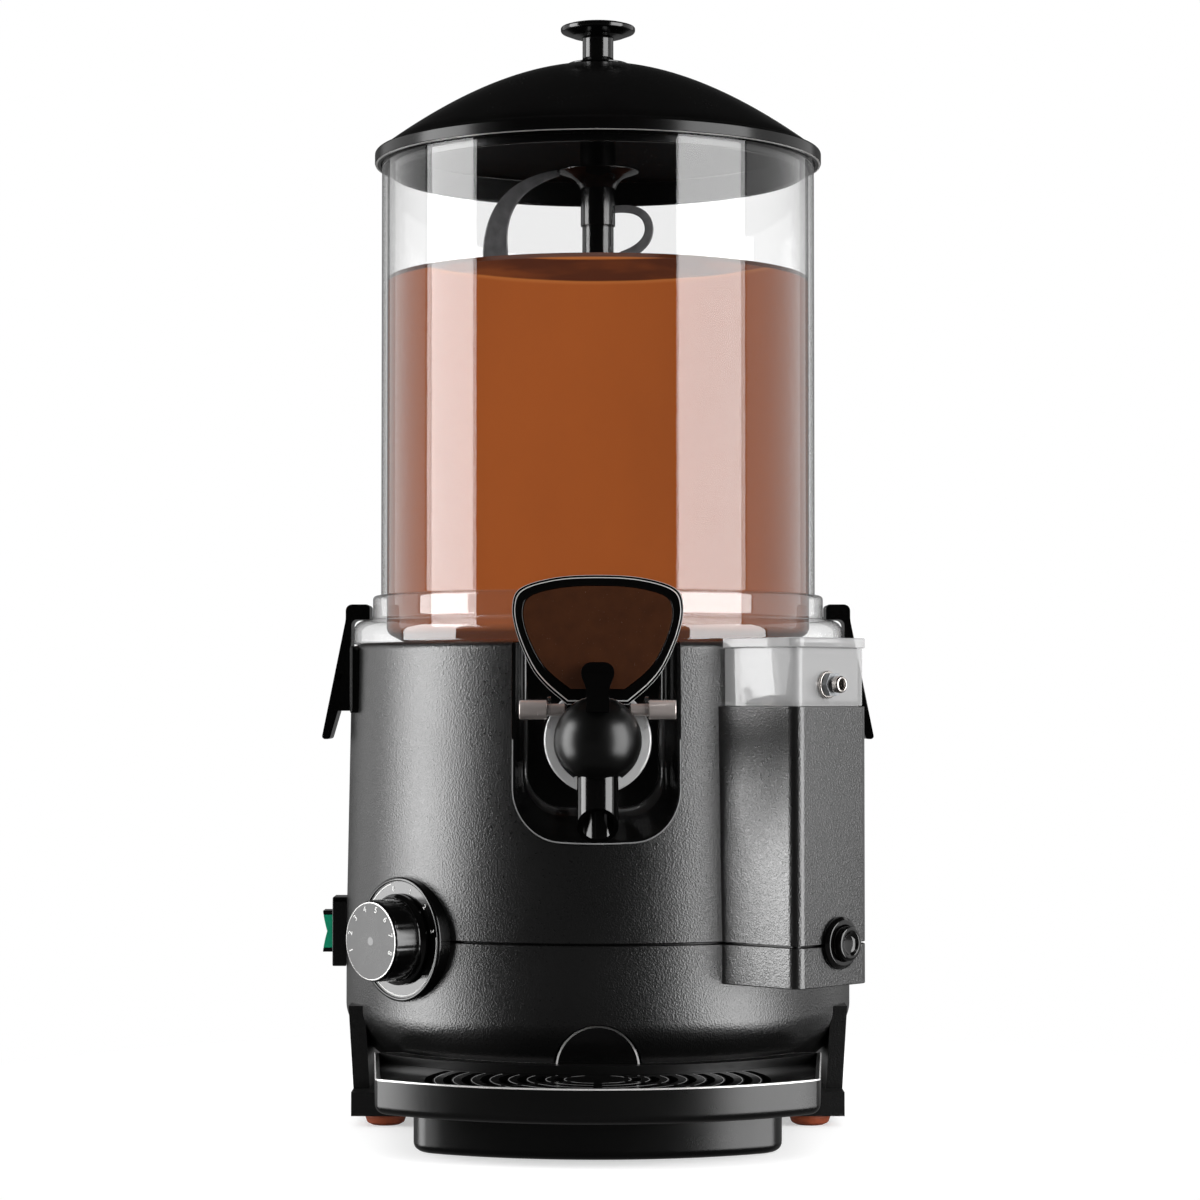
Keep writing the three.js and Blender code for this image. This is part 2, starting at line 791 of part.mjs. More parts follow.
function lowerShell() {
  const lipRadius = drumRadius - shellWall - slideGap;
  const inside = lipRadius - lipWall;
  const side = housingBody(0).slice(0, -3);
  const bowlInside = housingBody(-shellWall, 2).slice(0, -3);
  const drum = revolve([
    ...side.slice(0, -1),
    [drumRadius, seamHeight - seamGap / 2],
    [lipRadius, seamHeight - seamGap / 2],
    [lipRadius, seamHeight + lipDepth],
    [inside, seamHeight + lipDepth],
    [inside, bowlEdgeHeight + lipDepth * 2],
    ...bowlInside.slice(0, -1).reverse(),
    [bowlBottomRadius - bottomLipWidth, bowlBottomHeight + shellWall],
    [bowlBottomRadius - bottomLipWidth, bowlBottomHeight],
  ]);
  const box = cut(
    boxPrism(0, boxBottom, seamHeight - seamGap / 2),
    boxPrism(boxWall, boxBottom + boxWall, deckHeight),
  );
  const outside = cut(box, rod(drumRadius - shellWall / 2, 0, deckHeight, roundSides));
  const notch = alongY(rod(tongueRadius + notchGap, bowlBottomRadius - lipDepth, boxReach, smallSides * 2));
  const notchAbove = overlap(moved(notch, 0, 0, tongueCentre), housingAbove(bowlBottomHeight + shellWall));
  return cut(
    join(drum, outside),
    notchAbove,
    boxPort(drainSide, drainHeight, drainPlugRadius + drainDish),
    alongY(moved(rod(glandNeckRadius + seatGap, -drumRadius - overrun, -drumRadius + overrun), 0, 0, 0))
      .translate(0, 0, glandHeight),
    ...screwHoles(0, bowlBottomHeight + shellWall * 2),
    ...controlHoles(),
  );
}

function screwPlaces() {
  return Array.from({ length: screwCount }, (_, i) => {
    const angle = (Math.PI * 2 * (i + 0.5)) / screwCount;
    return [screwCircleRadius * Math.sin(angle), screwCircleRadius * Math.cos(angle)];
  });
}

const screwHoles = (bottom, top) => (
  screwPlaces().map(([x, y]) => moved(rod(screwRadius + seatGap, bottom, top, tinySides), x, y, 0)));

function liner() {
  const body = cut(recessSolid(linerWall), recessSolid(0));
  const within = overlap(body, housingSolid(linerProud));
  const slotRadius = outletRadius + slideGap;
  const slotDepth = [-recessBack - linerWall, -recessBack + linerWall + overrun];
  const slotRound = alongY(rod(slotRadius, recessBack - linerWall * 2, recessBack + linerWall));
  return cut(
    within,
    housingAbove(deckHeight),
    moved(slotRound, 0, 0, outletHeight),
    block(-slotRadius, slotRadius, ...slotDepth, outletHeight, deckHeight + overrun),
  );
}

function ventPanel() {
  const outer = drumTopRadius + shellWall / 2;
  const gapAngle = THREE.MathUtils.radToDeg(seatGap / drumRadius);
  const panel = ventSector(
    outer - ventPanelWall, outer, ventBottom + seatGap, ventTop - seatGap, ventHalfAngle - gapAngle);
  const pitch = (ventTop - ventBottom) / (ventSlotCount + 1);
  const slots = Array.from({ length: ventSlotCount }, (_, i) => {
    const middle = ventBottom + pitch * (i + 1);
    const [low, high] = [middle - ventSlotHeight / 2, middle + ventSlotHeight / 2];
    return ventSector(outer - overrun, outer + overrun, low, high, ventSlotHalfAngle);
  });
  return cut(panel, ...slots);
}

function gland() {
  const reach = drumRadius + seatGap;
  const nut = revolve([
    [glandBore, drumRadius - glandInside],
    [glandNeckRadius, drumRadius - glandInside],
    [glandNeckRadius, reach],
    [glandRadius, reach],
    [glandRadius, reach + glandLength / 2],
    [glandRadius * 0.75, reach + glandLength],
    [glandBore, reach + glandLength],
  ], smallSides);
  return atAzimuth(alongY(nut), 180).translate(0, 0, glandHeight);
}

function basePlate() {
  const top = bowlBottomHeight - seatGap;
  const bottom = top - plateThickness;
  const vents = Array.from({ length: plateVentCount }, (_, i) => {
    const middle = plateRadius * 0.6;
    const slot = block(
      -plateVentWidth / 2, plateVentWidth / 2, middle - plateVentLength / 2, middle + plateVentLength / 2,
      bottom - overrun, top + overrun);
    return atAzimuth(slot, (360 * i) / plateVentCount);
  });
  const holes = screwHoles(bottom - overrun, top + overrun);
  return cut(rod(plateRadius, bottom, top, innerSides), ...vents, ...holes);
}

function baseScrew() {
  const under = bowlBottomHeight - seatGap * 2 - plateThickness;
  return revolve([
    [0, under - screwHeadHeight],
    [screwHeadRadius * 0.8, under - screwHeadHeight],
    [screwHeadRadius, under - screwHeadHeight / 2],
    [screwHeadRadius, under],
    [screwRadius, under],
    [screwRadius, under + screwLength],
    [0, under + screwLength],
  ], tinySides);
}

// One side leg: a foot block with a plate that rises against the bowl
function leg() {
  const plate = planOf([
    [legOuterBottom, legBottom],
    [legOuterBottom, legBlockTop],
    [legOuterTop, legTop],
    [legOuterTop - legThickness, legTop],
    [legOuterBottom - legThickness, legBlockTop],
    [legBlockInner, legBlockTop],
    [legBlockInner, legBottom],
  ]);
  const upright = prism(plate, -legBack, legFront).rotateX(Math.PI / 2);
  const trimFront = block(0, drumRadius, -drumRadius, -legPlateFront, legBlockTop, deckHeight);
  const trimBack = block(0, drumRadius, legPlateFront, drumRadius, legBlockTop, deckHeight);
  const pockets = [-footFrontY, footBackY].map((y) => (
    moved(rod(footRadius + seatGap, 0, legBottom + footPocket), footX, y, 0)));
  return cut(upright, trimFront, trimBack, housingSolid(seatGap), ...pockets);
}

function foot(x, y) {
  const pad = revolve([
    [0, 0],
    [footRadius - footRound * 1.6, 0],
    [footRadius, footRound],
    [footRadius, legBottom + footPocket - seatGap],
    [0, legBottom + footPocket - seatGap],
  ], smallSides);
  return plain(moved(pad, x, y, 0));
}

function buildHousing() {
  add("housing_upper", upperShell(), blackShell);
  add("housing_lower", lowerShell(), blackShell);
  add("recess_liner", liner(), blackGloss);
  add("rear_vent_panel", ventPanel(), blackShell);
  add("cable_gland", plain(gland()), greyPlastic);
  add("base_plate", basePlate(), steel);
  screwPlaces().forEach(([x, y], i) => add(`base_screw_${i + 1}`, plain(moved(baseScrew(), x, y, 0)), steel));
  const right = leg();
  add("leg_right", right, blackShell);
  add("leg_left", plain(right.clone().scale(-1, 1, 1)), blackShell);
  for (const [side, x] of [["left", -footX], ["right", footX]]) {
    add(`foot_front_${side}`, foot(x, -footFrontY), brownRubber);
    add(`foot_rear_${side}`, foot(x, footBackY), brownRubber);
  }
}

// The clear vessel in one moulding: tube, socket, flange, cup and the outlet with its collar and lugs
function vessel() {
  const seat = deckHeight + seatGap;
  const inner = vesselRadius - vesselWall;
  const wall = revolve([
    [cupRadius, cupBottom],
    [cupRadius, seat],
    [flangeRadius - flangeRound * 0.2, seat],
    [flangeRadius, seat + flangeRound * 0.3],
    [flangeRadius, flangeTop - flangeRound],
    [flangeRadius - flangeRound * 0.3, flangeTop - flangeRound * 0.3],
    [flangeRadius - flangeRound, flangeTop],
    [socketRadius, flangeTop + seatGap],
    [socketRadius, socketTop],
    [vesselRadius, socketTop + seatGap],
    [vesselRadius, vesselTop],
    [inner, vesselTop],
    [inner, seat + flangePlate * 2],
    [inner - flangePlate, seat + flangePlate],
    [cupRadius - cupWall, seat],
    [cupRadius - cupWall, cupBottom],
  ]);
  const root = cupRadius - cupWall / 2;
  const outlet = alongY(rod(outletRadius, root, collarFront - collarThickness / 2, innerSides));
  const collar = alongY(rod(collarRadius, collarFront - collarThickness, collarFront, innerSides));
  const bore = alongY(rod(outletBore, cupRadius - overrun * 2, collarFront + overrun));
  const atOutlet = (geometry) => moved(geometry, 0, 0, outletHeight);
  return cut(join(wall, atOutlet(outlet), atOutlet(collar), lug(1), lug(-1)), atOutlet(bore));
}

// One lug: a thin ear from the collar to the pin
function lug(side) {
  const ear = roundedPlan([
    [-collarFront + weld, lugBottom, 0],
    [-collarFront + weld, lugTop - weld, 0],
    [-pinY - lugNose, lugTop, lugNose],
    [-pinY - lugNose, pinHeight - lugNose * 2, lugNose],
  ]);
  const hole = alongPin(rod(pinRadius + seatGap, 0, lugOuter + overrun));
  const whole = cut(sideways(ear, lugOuter - lugThickness, lugOuter, planSteps), hole);
  return side > 0 ? whole : whole.clone().scale(side, 1, 1);
}

// Turns an upright form onto the pin's axis, its base at the middle
function alongPin(geometry, side = 1) {
  return geometry.clone().rotateY((side * Math.PI) / 2).translate(0, -pinY, pinHeight);
}

function lidDome() {
  const rimBottom = vesselTop - lidRimHeight + seatGap * 2;
  const rimTop = rimBottom + lidRimHeight;
  const skirtRadius = vesselRadius - vesselWall - slideGap * 2;
  const crown = new THREE.Vector2(knobStemRadius, lidDomeTop);
  const edge = new THREE.Vector2(lidEdgeRadius, lidEdgeHeight);
  const shoulder = new THREE.Vector2(lidEdgeRadius * domeShoulderShare, lidDomeTop - domeShoulderDrop);
  const dome = new THREE.QuadraticBezierCurve(edge, shoulder, crown);
  const over = dome.getPoints(5).map(({ x, y }) => [x, y]);
  const under = dome.getPoints(3).map(({ x, y }) => [x - lidWall / 2, y - lidWall]).reverse();
  return revolve([
    [lidRimRadius, rimBottom + lidRimHeight * 0.2],
    [lidRimRadius, rimTop],
    [lidRimRadius - lidWall, rimTop + lidWall * 0.4],
    ...over,
    [guideBore, lidDomeTop],
    [guideBore, guideBottom],
    [guideRadius, guideBottom],
    [guideRadius, lidDomeTop - lidWall - lidWall / 2],
    ...under.slice(1, -1),
    [skirtRadius - lidWall, lidEdgeHeight - lidWall / 2],
    [skirtRadius - lidWall, vesselTop - lidSkirtDepth],
    [skirtRadius, vesselTop - lidSkirtDepth],
    [skirtRadius, vesselTop + seatGap],
    [vesselRadius + slideGap, vesselTop + seatGap],
    [vesselRadius + slideGap, rimBottom],
    [lidRimRadius - lidWall * 0.4, rimBottom],
  ]);
}

function lidKnob() {
  const discBottom = knobTop - knobDiscThickness;
  return revolve([
    [0, lidDomeTop - lidWall],
    [guideBore - seatGap, lidDomeTop - lidWall],
    [guideBore - seatGap, lidDomeTop + seatGap],
    [knobFlareRadius, lidDomeTop + seatGap],
    [knobFlareRadius, lidDomeTop + seatGap + weld],
    [knobStemRadius * 1.15, lidDomeTop + knobFlareRadius * 0.2],
    [knobStemRadius, lidDomeTop + knobFlareRadius * 0.35],
    [knobStemRadius, discBottom - knobDishDepth * 0.3],
    [knobDiscRadius * 0.8, discBottom + knobDishDepth],
    [knobDiscRadius, discBottom + knobDiscThickness * 0.45],
    [knobDiscRadius * 0.96, knobTop - knobDiscThickness * 0.15],
    [knobDiscRadius * 0.8, knobTop],
    [0, knobTop],
  ], innerSides);
}

function stirrerTube() {
  return revolve([
    [stirrerBoreRadius, stirrerBottom],
    [stirrerTubeRadius, stirrerBottom],
    [stirrerTubeRadius, stirrerSleeveBottom],
    [stirrerSleeveRadius, stirrerSleeveBottom],
    [stirrerSleeveRadius, coneBottom - seatGap],
    [0, coneBottom - seatGap],
    [0, stirrerBottom + stirrerBoreDepth],
    [stirrerBoreRadius, stirrerBottom + stirrerBoreDepth],
  ], smallSides);
}

function stirrerCone() {
  const pivot = guideBore - slideGap;
  return revolve([
    [0, coneBottom],
    [stirrerSleeveRadius, coneBottom],
    [coneRadius, coneTop - coneWall / 2],
    [coneRadius, coneTop],
    [coneRadius - coneWall, coneTop],
    [pivot, coneBottom + coneWall * 2],
    [pivot, guideBottom + overrun],
    [0, guideBottom + overrun],
  ], innerSides);
}

// Two bars that bend in to the tube at the top, on two scraper arms, and a ribbon that climbs round the tube
function stirrerBars() {
  const section = planOf([
    [-barThickness / 2, -barWidth / 2],
    [barThickness / 2, -barWidth / 2],
    [barThickness / 2, barWidth / 2],
    [-barThickness / 2, barWidth / 2],
  ]);
  const inside = stirrerTubeRadius + slideGap / 2;
  const parts = [1, -1].map((side) => {
    const path = new THREE.CurvePath();
    const low = new THREE.Vector3(side * barReach, 0, footArmBottom);
    const bend = new THREE.Vector3(side * barReach, 0, barTop - barRound);
    const corner = new THREE.Vector3(side * barReach, 0, barTop);
    const over = new THREE.Vector3(side * (barReach - barRound), 0, barTop);
    const root = new THREE.Vector3(side * inside, 0, barTop);
    path.add(new THREE.LineCurve3(low, bend));
    path.add(new THREE.QuadraticBezierCurve3(bend, corner, over));
    path.add(new THREE.LineCurve3(over, root));
    return new THREE.ExtrudeGeometry(section, { steps: barSteps, extrudePath: path, bevelEnabled: false });
  });
  const arm = block(-footArmReach, footArmReach, -barThickness / 2, barThickness / 2,
    footArmBottom, footArmBottom + footArmHeight);
  const hubBottom = pipe(inside, inside + barThickness, footArmBottom, footArmBottom + footArmHeight);
  const hubTop = pipe(stirrerSleeveRadius + slideGap / 2, stirrerSleeveRadius + barThickness,
    barTop - barThickness, barTop + barThickness);
  const cutCentre = rod(inside, 0, stirrerSleeveBottom);
  const cutSleeve = rod(stirrerSleeveRadius + slideGap / 2, stirrerSleeveBottom - seatGap, coneTop);
  return cut(join(arm, ...parts, hubBottom, hubTop, ribbon()), cutCentre, cutSleeve);
}

// A helical ribbon with a square section, from the foot to the sleeve
function ribbon() {
  const steps = Math.round(ribbonTurns * ribbonTurnSteps);
  const bottom = footArmBottom + footArmHeight / 2;
  const rings = Array.from({ length: steps + 1 }, (_, i) => {
    const share = i / steps;
    const angle = share * ribbonTurns * Math.PI * 2;
    const z = bottom + (ribbonTop - bottom) * share;
    const taper = Math.min(1, (1 - share) * ribbonTurns * 4);
    const outer = stirrerTubeRadius + (ribbonRadius - stirrerTubeRadius) * taper + slideGap;
    const inner = Math.max(outer - ribbonWidth, stirrerTubeRadius);
    return [[inner, z], [outer, z], [outer, z + ribbonThickness], [inner, z + ribbonThickness]]
      .map(([r, h]) => [r * Math.cos(angle), r * Math.sin(angle), h]);
  });
  return loft(rings);
}

function vesselFloor() {
  const inner = floorRadius - floorThickness;
  return revolve([
    [floorBossRadius - floorThickness, floorTop - floorThickness],
    [floorBossRadius - floorThickness, floorBossTop],
    [floorBossRadius, floorBossTop],
    [floorBossRadius, floorTop],
    [floorRadius, floorTop],
    [floorRadius, floorTop - floorSkirt],
    [inner, floorTop - floorSkirt],
    [inner, floorTop - floorThickness],
  ]);
}

function floorSeal() {
  const outer = cupRadius - cupWall - seatGap;
  const inner = floorRadius + seatGap;
  const middle = floorTop - floorThickness;
  return revolve([
    [inner, middle - sealHeight / 2],
    [outer - sealWidth * 0.4, middle - sealHeight / 2],
    [outer, middle],
    [outer - sealWidth * 0.4, middle + sealHeight / 3],
    [inner, middle + sealHeight / 3],
  ]);
}

// The closed water drum: its port keeps the hollow open
function heaterDrum() {
  const body = revolve([
    [heaterSleeveRadius, heaterBottom],
    [heaterRadius, heaterBottom],
    [heaterRadius, floorTop - floorSkirt - seatGap - heaterWall],
    [heaterRadius - heaterWall, heaterTop],
    [heaterSleeveRadius, heaterTop],
  ], innerSides);
  const hollow = revolve([
    [heaterSleeveRadius + heaterWall, heaterBottom + heaterWall],
    [heaterRadius - heaterWall, heaterBottom + heaterWall],
    [heaterRadius - heaterWall, floorTop - floorSkirt - seatGap - heaterWall * 2],
    [heaterRadius - heaterWall * 2, heaterTop - heaterWall],
    [heaterSleeveRadius + heaterWall, heaterTop - heaterWall],
  ], innerSides);
  const portAt = (geometry) => atAzimuth(moved(alongY(geometry), 0, 0, spigotHeight), boxAzimuth);
  const port = portAt(rod(heaterPortRadius, heaterRadius - heaterWall * 2, heaterRadius + heaterPortLength));
  const boreRadius = heaterPortRadius - heaterWall / 2;
  const bore = portAt(rod(boreRadius, heaterRadius - heaterWall * 4, heaterRadius * 2));
  return cut(join(body, port), hollow, bore);
}

function heatingElement() {
  const middle = heaterBottom - seatGap - elementThickness / 2;
  const ring = revolve([
    [elementRadius - elementThickness / 2, middle - elementThickness * 0.3],
    [elementRadius, middle - elementThickness / 2],
    [elementRadius + elementThickness / 2, middle - elementThickness * 0.3],
    [elementRadius + elementThickness / 2, middle + elementThickness / 2],
    [elementRadius - elementThickness / 2, middle + elementThickness / 2],
  ], innerSides);
  return plain(ring);
}

function gearbox() {
  const half = gearboxWidth / 2;
  const deep = gearboxDepth / 2;
  const plan = roundedPlan([
    [-half, -deep, gearboxRound],
    [half, -deep, gearboxRound],
    [half, deep, gearboxRound],
    [-half, deep, gearboxRound],
  ]);
  const body = prism(plan, gearboxTop - gearboxHeight, gearboxTop, planSteps);
  const boss = rod(heaterSleeveRadius - slideGap * 2, gearboxTop - weld, heaterBottom - elementThickness / 2);
  return cut(join(body, boss), rod(shaftRadius + seatGap, gearboxTop - gearboxHeight / 2, heaterTop));
}

function motor() {
  const top = gearboxTop - gearboxHeight - seatGap;
  const bottom = bowlBottomHeight + motorLift;
  return moved(revolve([
    [0, bottom],
    [motorRadius * 0.85, bottom],
    [motorRadius, bottom + (top - bottom) * motorRoundShare],
    [motorRadius, top],
    [0, top],
  ], innerSides), motorOffset, 0, 0);
}

// A strap that carries the gearbox on two feet from the base plate
function motorBracket() {
  const top = gearboxTop - gearboxHeight - seatGap;
  const base = bowlBottomHeight;
  const half = bracketWidth / 2;
  const profile = planOf([
    [-half - bracketFoot, base], [-half + bracketPlate, base],
    [-half + bracketPlate, top - bracketPlate], [half - bracketPlate, top - bracketPlate],
    [half - bracketPlate, base], [half + bracketFoot, base],
    [half + bracketFoot, base + bracketPlate], [half, base + bracketPlate],
    [half, top], [-half, top],
    [-half, base + bracketPlate], [-half - bracketFoot, base + bracketPlate],
  ]);
  const strap = prism(profile, -bracketDepth / 2, bracketDepth / 2).rotateX(Math.PI / 2);
  return cut(strap, moved(rod(motorRadius + seatGap, base, top + overrun, innerSides), motorOffset, 0, 0));
}

function driveShaft() {
  const bottom = gearboxTop - gearboxHeight / 2 + seatGap;
  return rod(shaftRadius, bottom, shaftTop);
}

function shaftSeal() {
  const top = floorBossTop - floorThickness / 2;
  return pipe(shaftRadius + seatGap, floorBossRadius - floorThickness - seatGap, top - sealHeight, top);
}

function buildVessel() {
  add("tank", vessel(), clearPlastic);
  add("lid", plain(lidDome()), blackGloss);
  add("lid_knob", plain(lidKnob()), blackGloss);
  add("stirrer_tube", plain(stirrerTube()), blackGloss);
  add("stirrer_cone", plain(stirrerCone()), blackGloss);
  add("stirrer_blades", stirrerBars(), greyPlastic);
  add("tank_floor", plain(vesselFloor()), steel);
  add("tank_seal", plain(floorSeal()), silicone);
  add("heater_drum", heaterDrum(), steel);
  add("heating_element", heatingElement(), steel);
  add("gearbox", gearbox(), motorPaint);
  add("motor", plain(motor()), motorPaint);
  add("motor_bracket", motorBracket(), steel);
  add("drive_shaft", plain(driveShaft()), steel);
  add("shaft_seal", plain(shaftSeal()), darkRubber);
}

// Tap body: an upright valve tube with a spout that is cut slantwise, and a branch into the outlet
function tapBody() {
  const tube = rod(valveRadius, spoutTip, valveTop, innerSides);
  const branchRoot = collarFront - branchReach - tapY;
  const branch = alongY(rod(branchRadius, branchRoot, -valveBore)).translate(0, 0, outletHeight);
  const branchHole = alongY(rod(branchBore, -tapY, 0)).translate(0, 0, outletHeight);
  const slant = planOf([
    [-valveRadius, spoutCutTop],
    [valveRadius, spoutTip],
    [valveRadius, spoutTip - overrun],
    [-valveRadius - overrun, spoutTip - overrun],
    [-valveRadius - overrun, spoutCutTop + (overrun * (spoutCutTop - spoutTip)) / (valveRadius * 2)],
  ]);
  const body = cut(
    join(tube, branch),
    rod(valveBore, seatHeight, valveTop - valveCap),
    branchHole,
    rod(seatBore, seatHeight - overrun, seatHeight + overrun),
    rod(spoutBore, spoutTip - overrun, seatHeight - seatDepth),
    rod(stemRadius + seatGap, valveTop - overrun, valveTop + overrun),
    sideways(slant, -valveRadius - overrun, valveRadius + overrun),
  );
  return moved(body, 0, -tapY, 0);
}

function tapPiston() {
  const plugBottom = seatHeight + seatGap * 2 + pistonSealThickness;
  return moved(revolve([
    [0, plugBottom],
    [plugRadius, plugBottom],
    [plugRadius, plugBottom + plugThickness],
    [stemRadius, plugBottom + plugThickness],
    [stemRadius, stemTop - headThickness],
    [headRadius, stemTop - headThickness],
    [headRadius, stemTop],
    [0, stemTop],
  ], smallSides), 0, -tapY, 0);
}

function pistonSeal() {
  const bottom = seatHeight + seatGap;
  return moved(rod(plugRadius, bottom, bottom + pistonSealThickness), 0, -tapY, 0);
}

// The helix of the return spring, between the plug and the valve's cap
function tapSpring() {
  const plugTop = seatHeight + seatGap * 2 + pistonSealThickness + plugThickness;
  const bottom = plugTop + seatGap + springWire;
  const top = valveTop - valveCap - seatGap - springWire;
  const steps = springTurns * springTurnSteps;
  const points = Array.from({ length: steps + 1 }, (_, i) => {
    const angle = (Math.PI * 2 * springTurns * i) / steps;
    const height = bottom + ((top - bottom) * i) / steps;
    return new THREE.Vector3(springRadius * Math.cos(angle), springRadius * Math.sin(angle) - tapY, height);
  });
  return plain(tubeAlong(new THREE.CatmullRomCurve3(points), springWire, steps, springWireSides));
}

function tapPin() {
  const inner = lugOuter + seatGap;
  const edge = pinEndRadius * 0.85;
  const half = (side) => [
    [pinRadius, side * inner],
    [pinEndRadius, side * inner],
    [pinEndRadius, side * (pinEndReach - pinEndRadius * 0.15)],
    [edge, side * pinEndReach],
    [0, side * pinEndReach],
  ];
  return alongPin(revolve([...half(-1).reverse(), ...half(1)], smallSides));
}

// A ball, with half as many facets from pole to pole as round it
const ballOf = (radius, sides) => new THREE.SphereGeometry(radius, sides, sides / 2);

// Lever: a ball that is open behind, ears on the pin, pegs under the piston's head, a tab and a back plate
function tapLever() {
  const centre = [0, -tapY, outletHeight];
  const ball = moved(ballOf(ballRadius, ballSides), ...centre);
  const hollow = moved(ballOf(ballRadius - ballWall, smallSides), ...centre);
  const behind = block(-ballRadius * 2, ballRadius * 2, -ballCutY, 0, 0, deckHeight);
  const slotHalf = valveRadius + ballSlotClearance;
  const slot = block(-slotHalf, slotHalf, -tapY - slotHalf, 0, 0, outletHeight);
  const shell = cut(ball, hollow, behind, slot);
  const plateTop = pinHeight + (shieldTop - shieldBottom) / 3;
  const ballTop = outletHeight + ballRadius;
  const earOuter = earInner + earThickness;
  const [plateFront, plateBack] = [-shieldBack + seatGap, -shieldBack + shieldThickness];
  const plate = block(-earOuter, earOuter, plateFront, plateBack, ballTop, plateTop);
  return cut(
    join(shell, ear(1), ear(-1), peg(1), peg(-1), plate, fingerTab()),
    alongPin(rod(pinRadius + seatGap, -ballRadius, ballRadius)),
  );
}

function ear(side) {
  const front = -tapY - earNose;
  const back = -pinY + earNose;
  const top = outletHeight + ballRadius + weld;
  const plan = roundedPlan([
    [front, pinHeight - earNose * 1.6, 0],
    [back, pinHeight - earNose, earNose],
    [back, pinHeight + earNose, earNose],
    [-shieldBack + shieldThickness, top, 0],
    [-shieldBack + seatGap, top, 0],
    [-shieldBack + seatGap, shieldBottom - seatGap * 2, 0],
    [front, pinHeight - earNose * 0.5, 0],
  ]);
  const [x0, x1] = [earInner, earInner + earThickness].map((x) => side * x).sort((a, b) => a - b);
  return sideways(plan, x0, x1, planSteps);
}

function peg(side) {
  const height = stemTop - headThickness - seatGap - forkRadius;
  const bar = rod(forkRadius, stemRadius + slideGap * 2, earInner + weld, tinySides);
  return bar.rotateY((side * Math.PI) / 2).translate(0, -tapY, height);
}

function fingerTab() {
  const root = outletHeight + ballRadius - ballWall * 2;
  const neck = tabNeckWidth / 2;
  const head = tabWidth / 2;
  const plan = roundedPlan([
    [-neck, root, 0],
    [neck, root, 0],
    [neck, tabTop - tabRise, 0],
    [head, tabTop - tabRise / 2, 0],
    [head, tabTop, neck],
    [-head, tabTop, neck],
    [-head, tabTop - tabRise / 2, 0],
    [-neck, tabTop - tabRise, 0],
  ]);
  const near = shieldBack + shieldThickness + slideGap;
  return frontal(plan, near, near + tabDepth, planSteps);
}

// The paddle's outline, moved in by an inset
const shieldOutlineShares = [
  [0.36, 0], [0.62, 0.15], [0.79, 0.3], [0.95, 0.55], [1, 0.76], [0.9, 0.9], [0.5, 0.98], [0, 1],
];

function shieldPlan(inset) {
  const bottom = shieldBottom + inset * 1.4;
  const height = shieldTop - inset - bottom;
  const half = shieldHalfWidth - inset;
  const right = shieldOutlineShares.map(([x, z]) => new THREE.Vector2(x * half, bottom + z * height));
  const left = right.slice(0, -1).reverse().map(({ x, y }) => new THREE.Vector2(-x, y));
  const plan = new THREE.Shape();
  plan.moveTo(left.at(-1).x, left.at(-1).y);
  plan.lineTo(right[0].x, right[0].y);
  plan.splineThru([...right.slice(1), ...left]);
  return plan;
}

function leverShield() {
  const front = shieldBack + shieldThickness;
  const plate = frontal(shieldPlan(0), shieldBack, front, planSteps);
  const pocket = frontal(shieldPlan(shieldBorder), front - insertDepth - seatGap, front + overrun, planSteps);
  const ball = moved(ballOf(ballRadius + seatGap, ballSides), 0, -tapY, outletHeight);
  return cut(plate, pocket, ball);
}

function shieldInsert() {
  const front = shieldBack + shieldThickness;
  return plain(frontal(shieldPlan(shieldBorder + seatGap), front - insertDepth, front, planSteps));
}

function spoutSeal() {
  const inner = branchRadius + seatGap;
  const outer = outletBore - seatGap;
  const near = collarFront - branchReach + seatGap;
  return plain(alongY(pipe(inner, outer, near, near + branchReach / 2)).translate(0, 0, outletHeight));
}

function buildTap() {
  add("tap_body", tapBody(), blackGloss);
  add("tap_piston", plain(tapPiston()), greyPlastic);
  add("piston_seal", plain(pistonSeal()), silicone);
  add("tap_spring", tapSpring(), steel);
  add("tap_pin", plain(tapPin()), steel);
  add("tap_lever", tapLever(), blackGloss);
  add("lever_shield", leverShield(), blackGloss);
  add("shield_insert", shieldInsert(), brownInsert);
  add("spout_seal", spoutSeal(), silicone);
}

// Latches: each is drawn for the right side, and the left ones are mirrored
function latchBracket() {
  const half = latchWidth / 2 + seatGap;
  const bossTop = latchPivotZ + latchBossRadius * 1.6;
  const bossBottom = latchPivotZ - latchBossRadius * 1.6;
  const profile = roundedPlan([
    [drumRadius - overrun, bracketBottom, 0],
    [drumRadius + slideGap, bracketBottom, 0],
    [bracketReach, bossBottom, latchBossRadius],
    [bracketReach, bossTop, latchBossRadius],
    [drumRadius + slideGap, bracketTop, 0],
    [drumRadius - overrun, bracketTop, 0],
  ]);
  const across = half + latchEarThickness;
  const body = frontal(profile, -across, across, planSteps);
  const web = drumTopRadius + shellWall * 0.6;
  const gap = block(web, bracketReach + overrun, -half, half, 0, deckHeight);
  const leverRoom = block(0, bracketReach, -half, half, latchPivotZ + latchBossRadius, deckHeight);
  const hole = latchAxis(rod(latchPinRadius + seatGap, -across - overrun, across + overrun, tinySides));
  return cut(body, gap, leverRoom, hole, housingSolid(seatGap));
}

const latchAxis = (geometry) => geometry.rotateX(Math.PI / 2).translate(latchPivotX, 0, latchPivotZ);

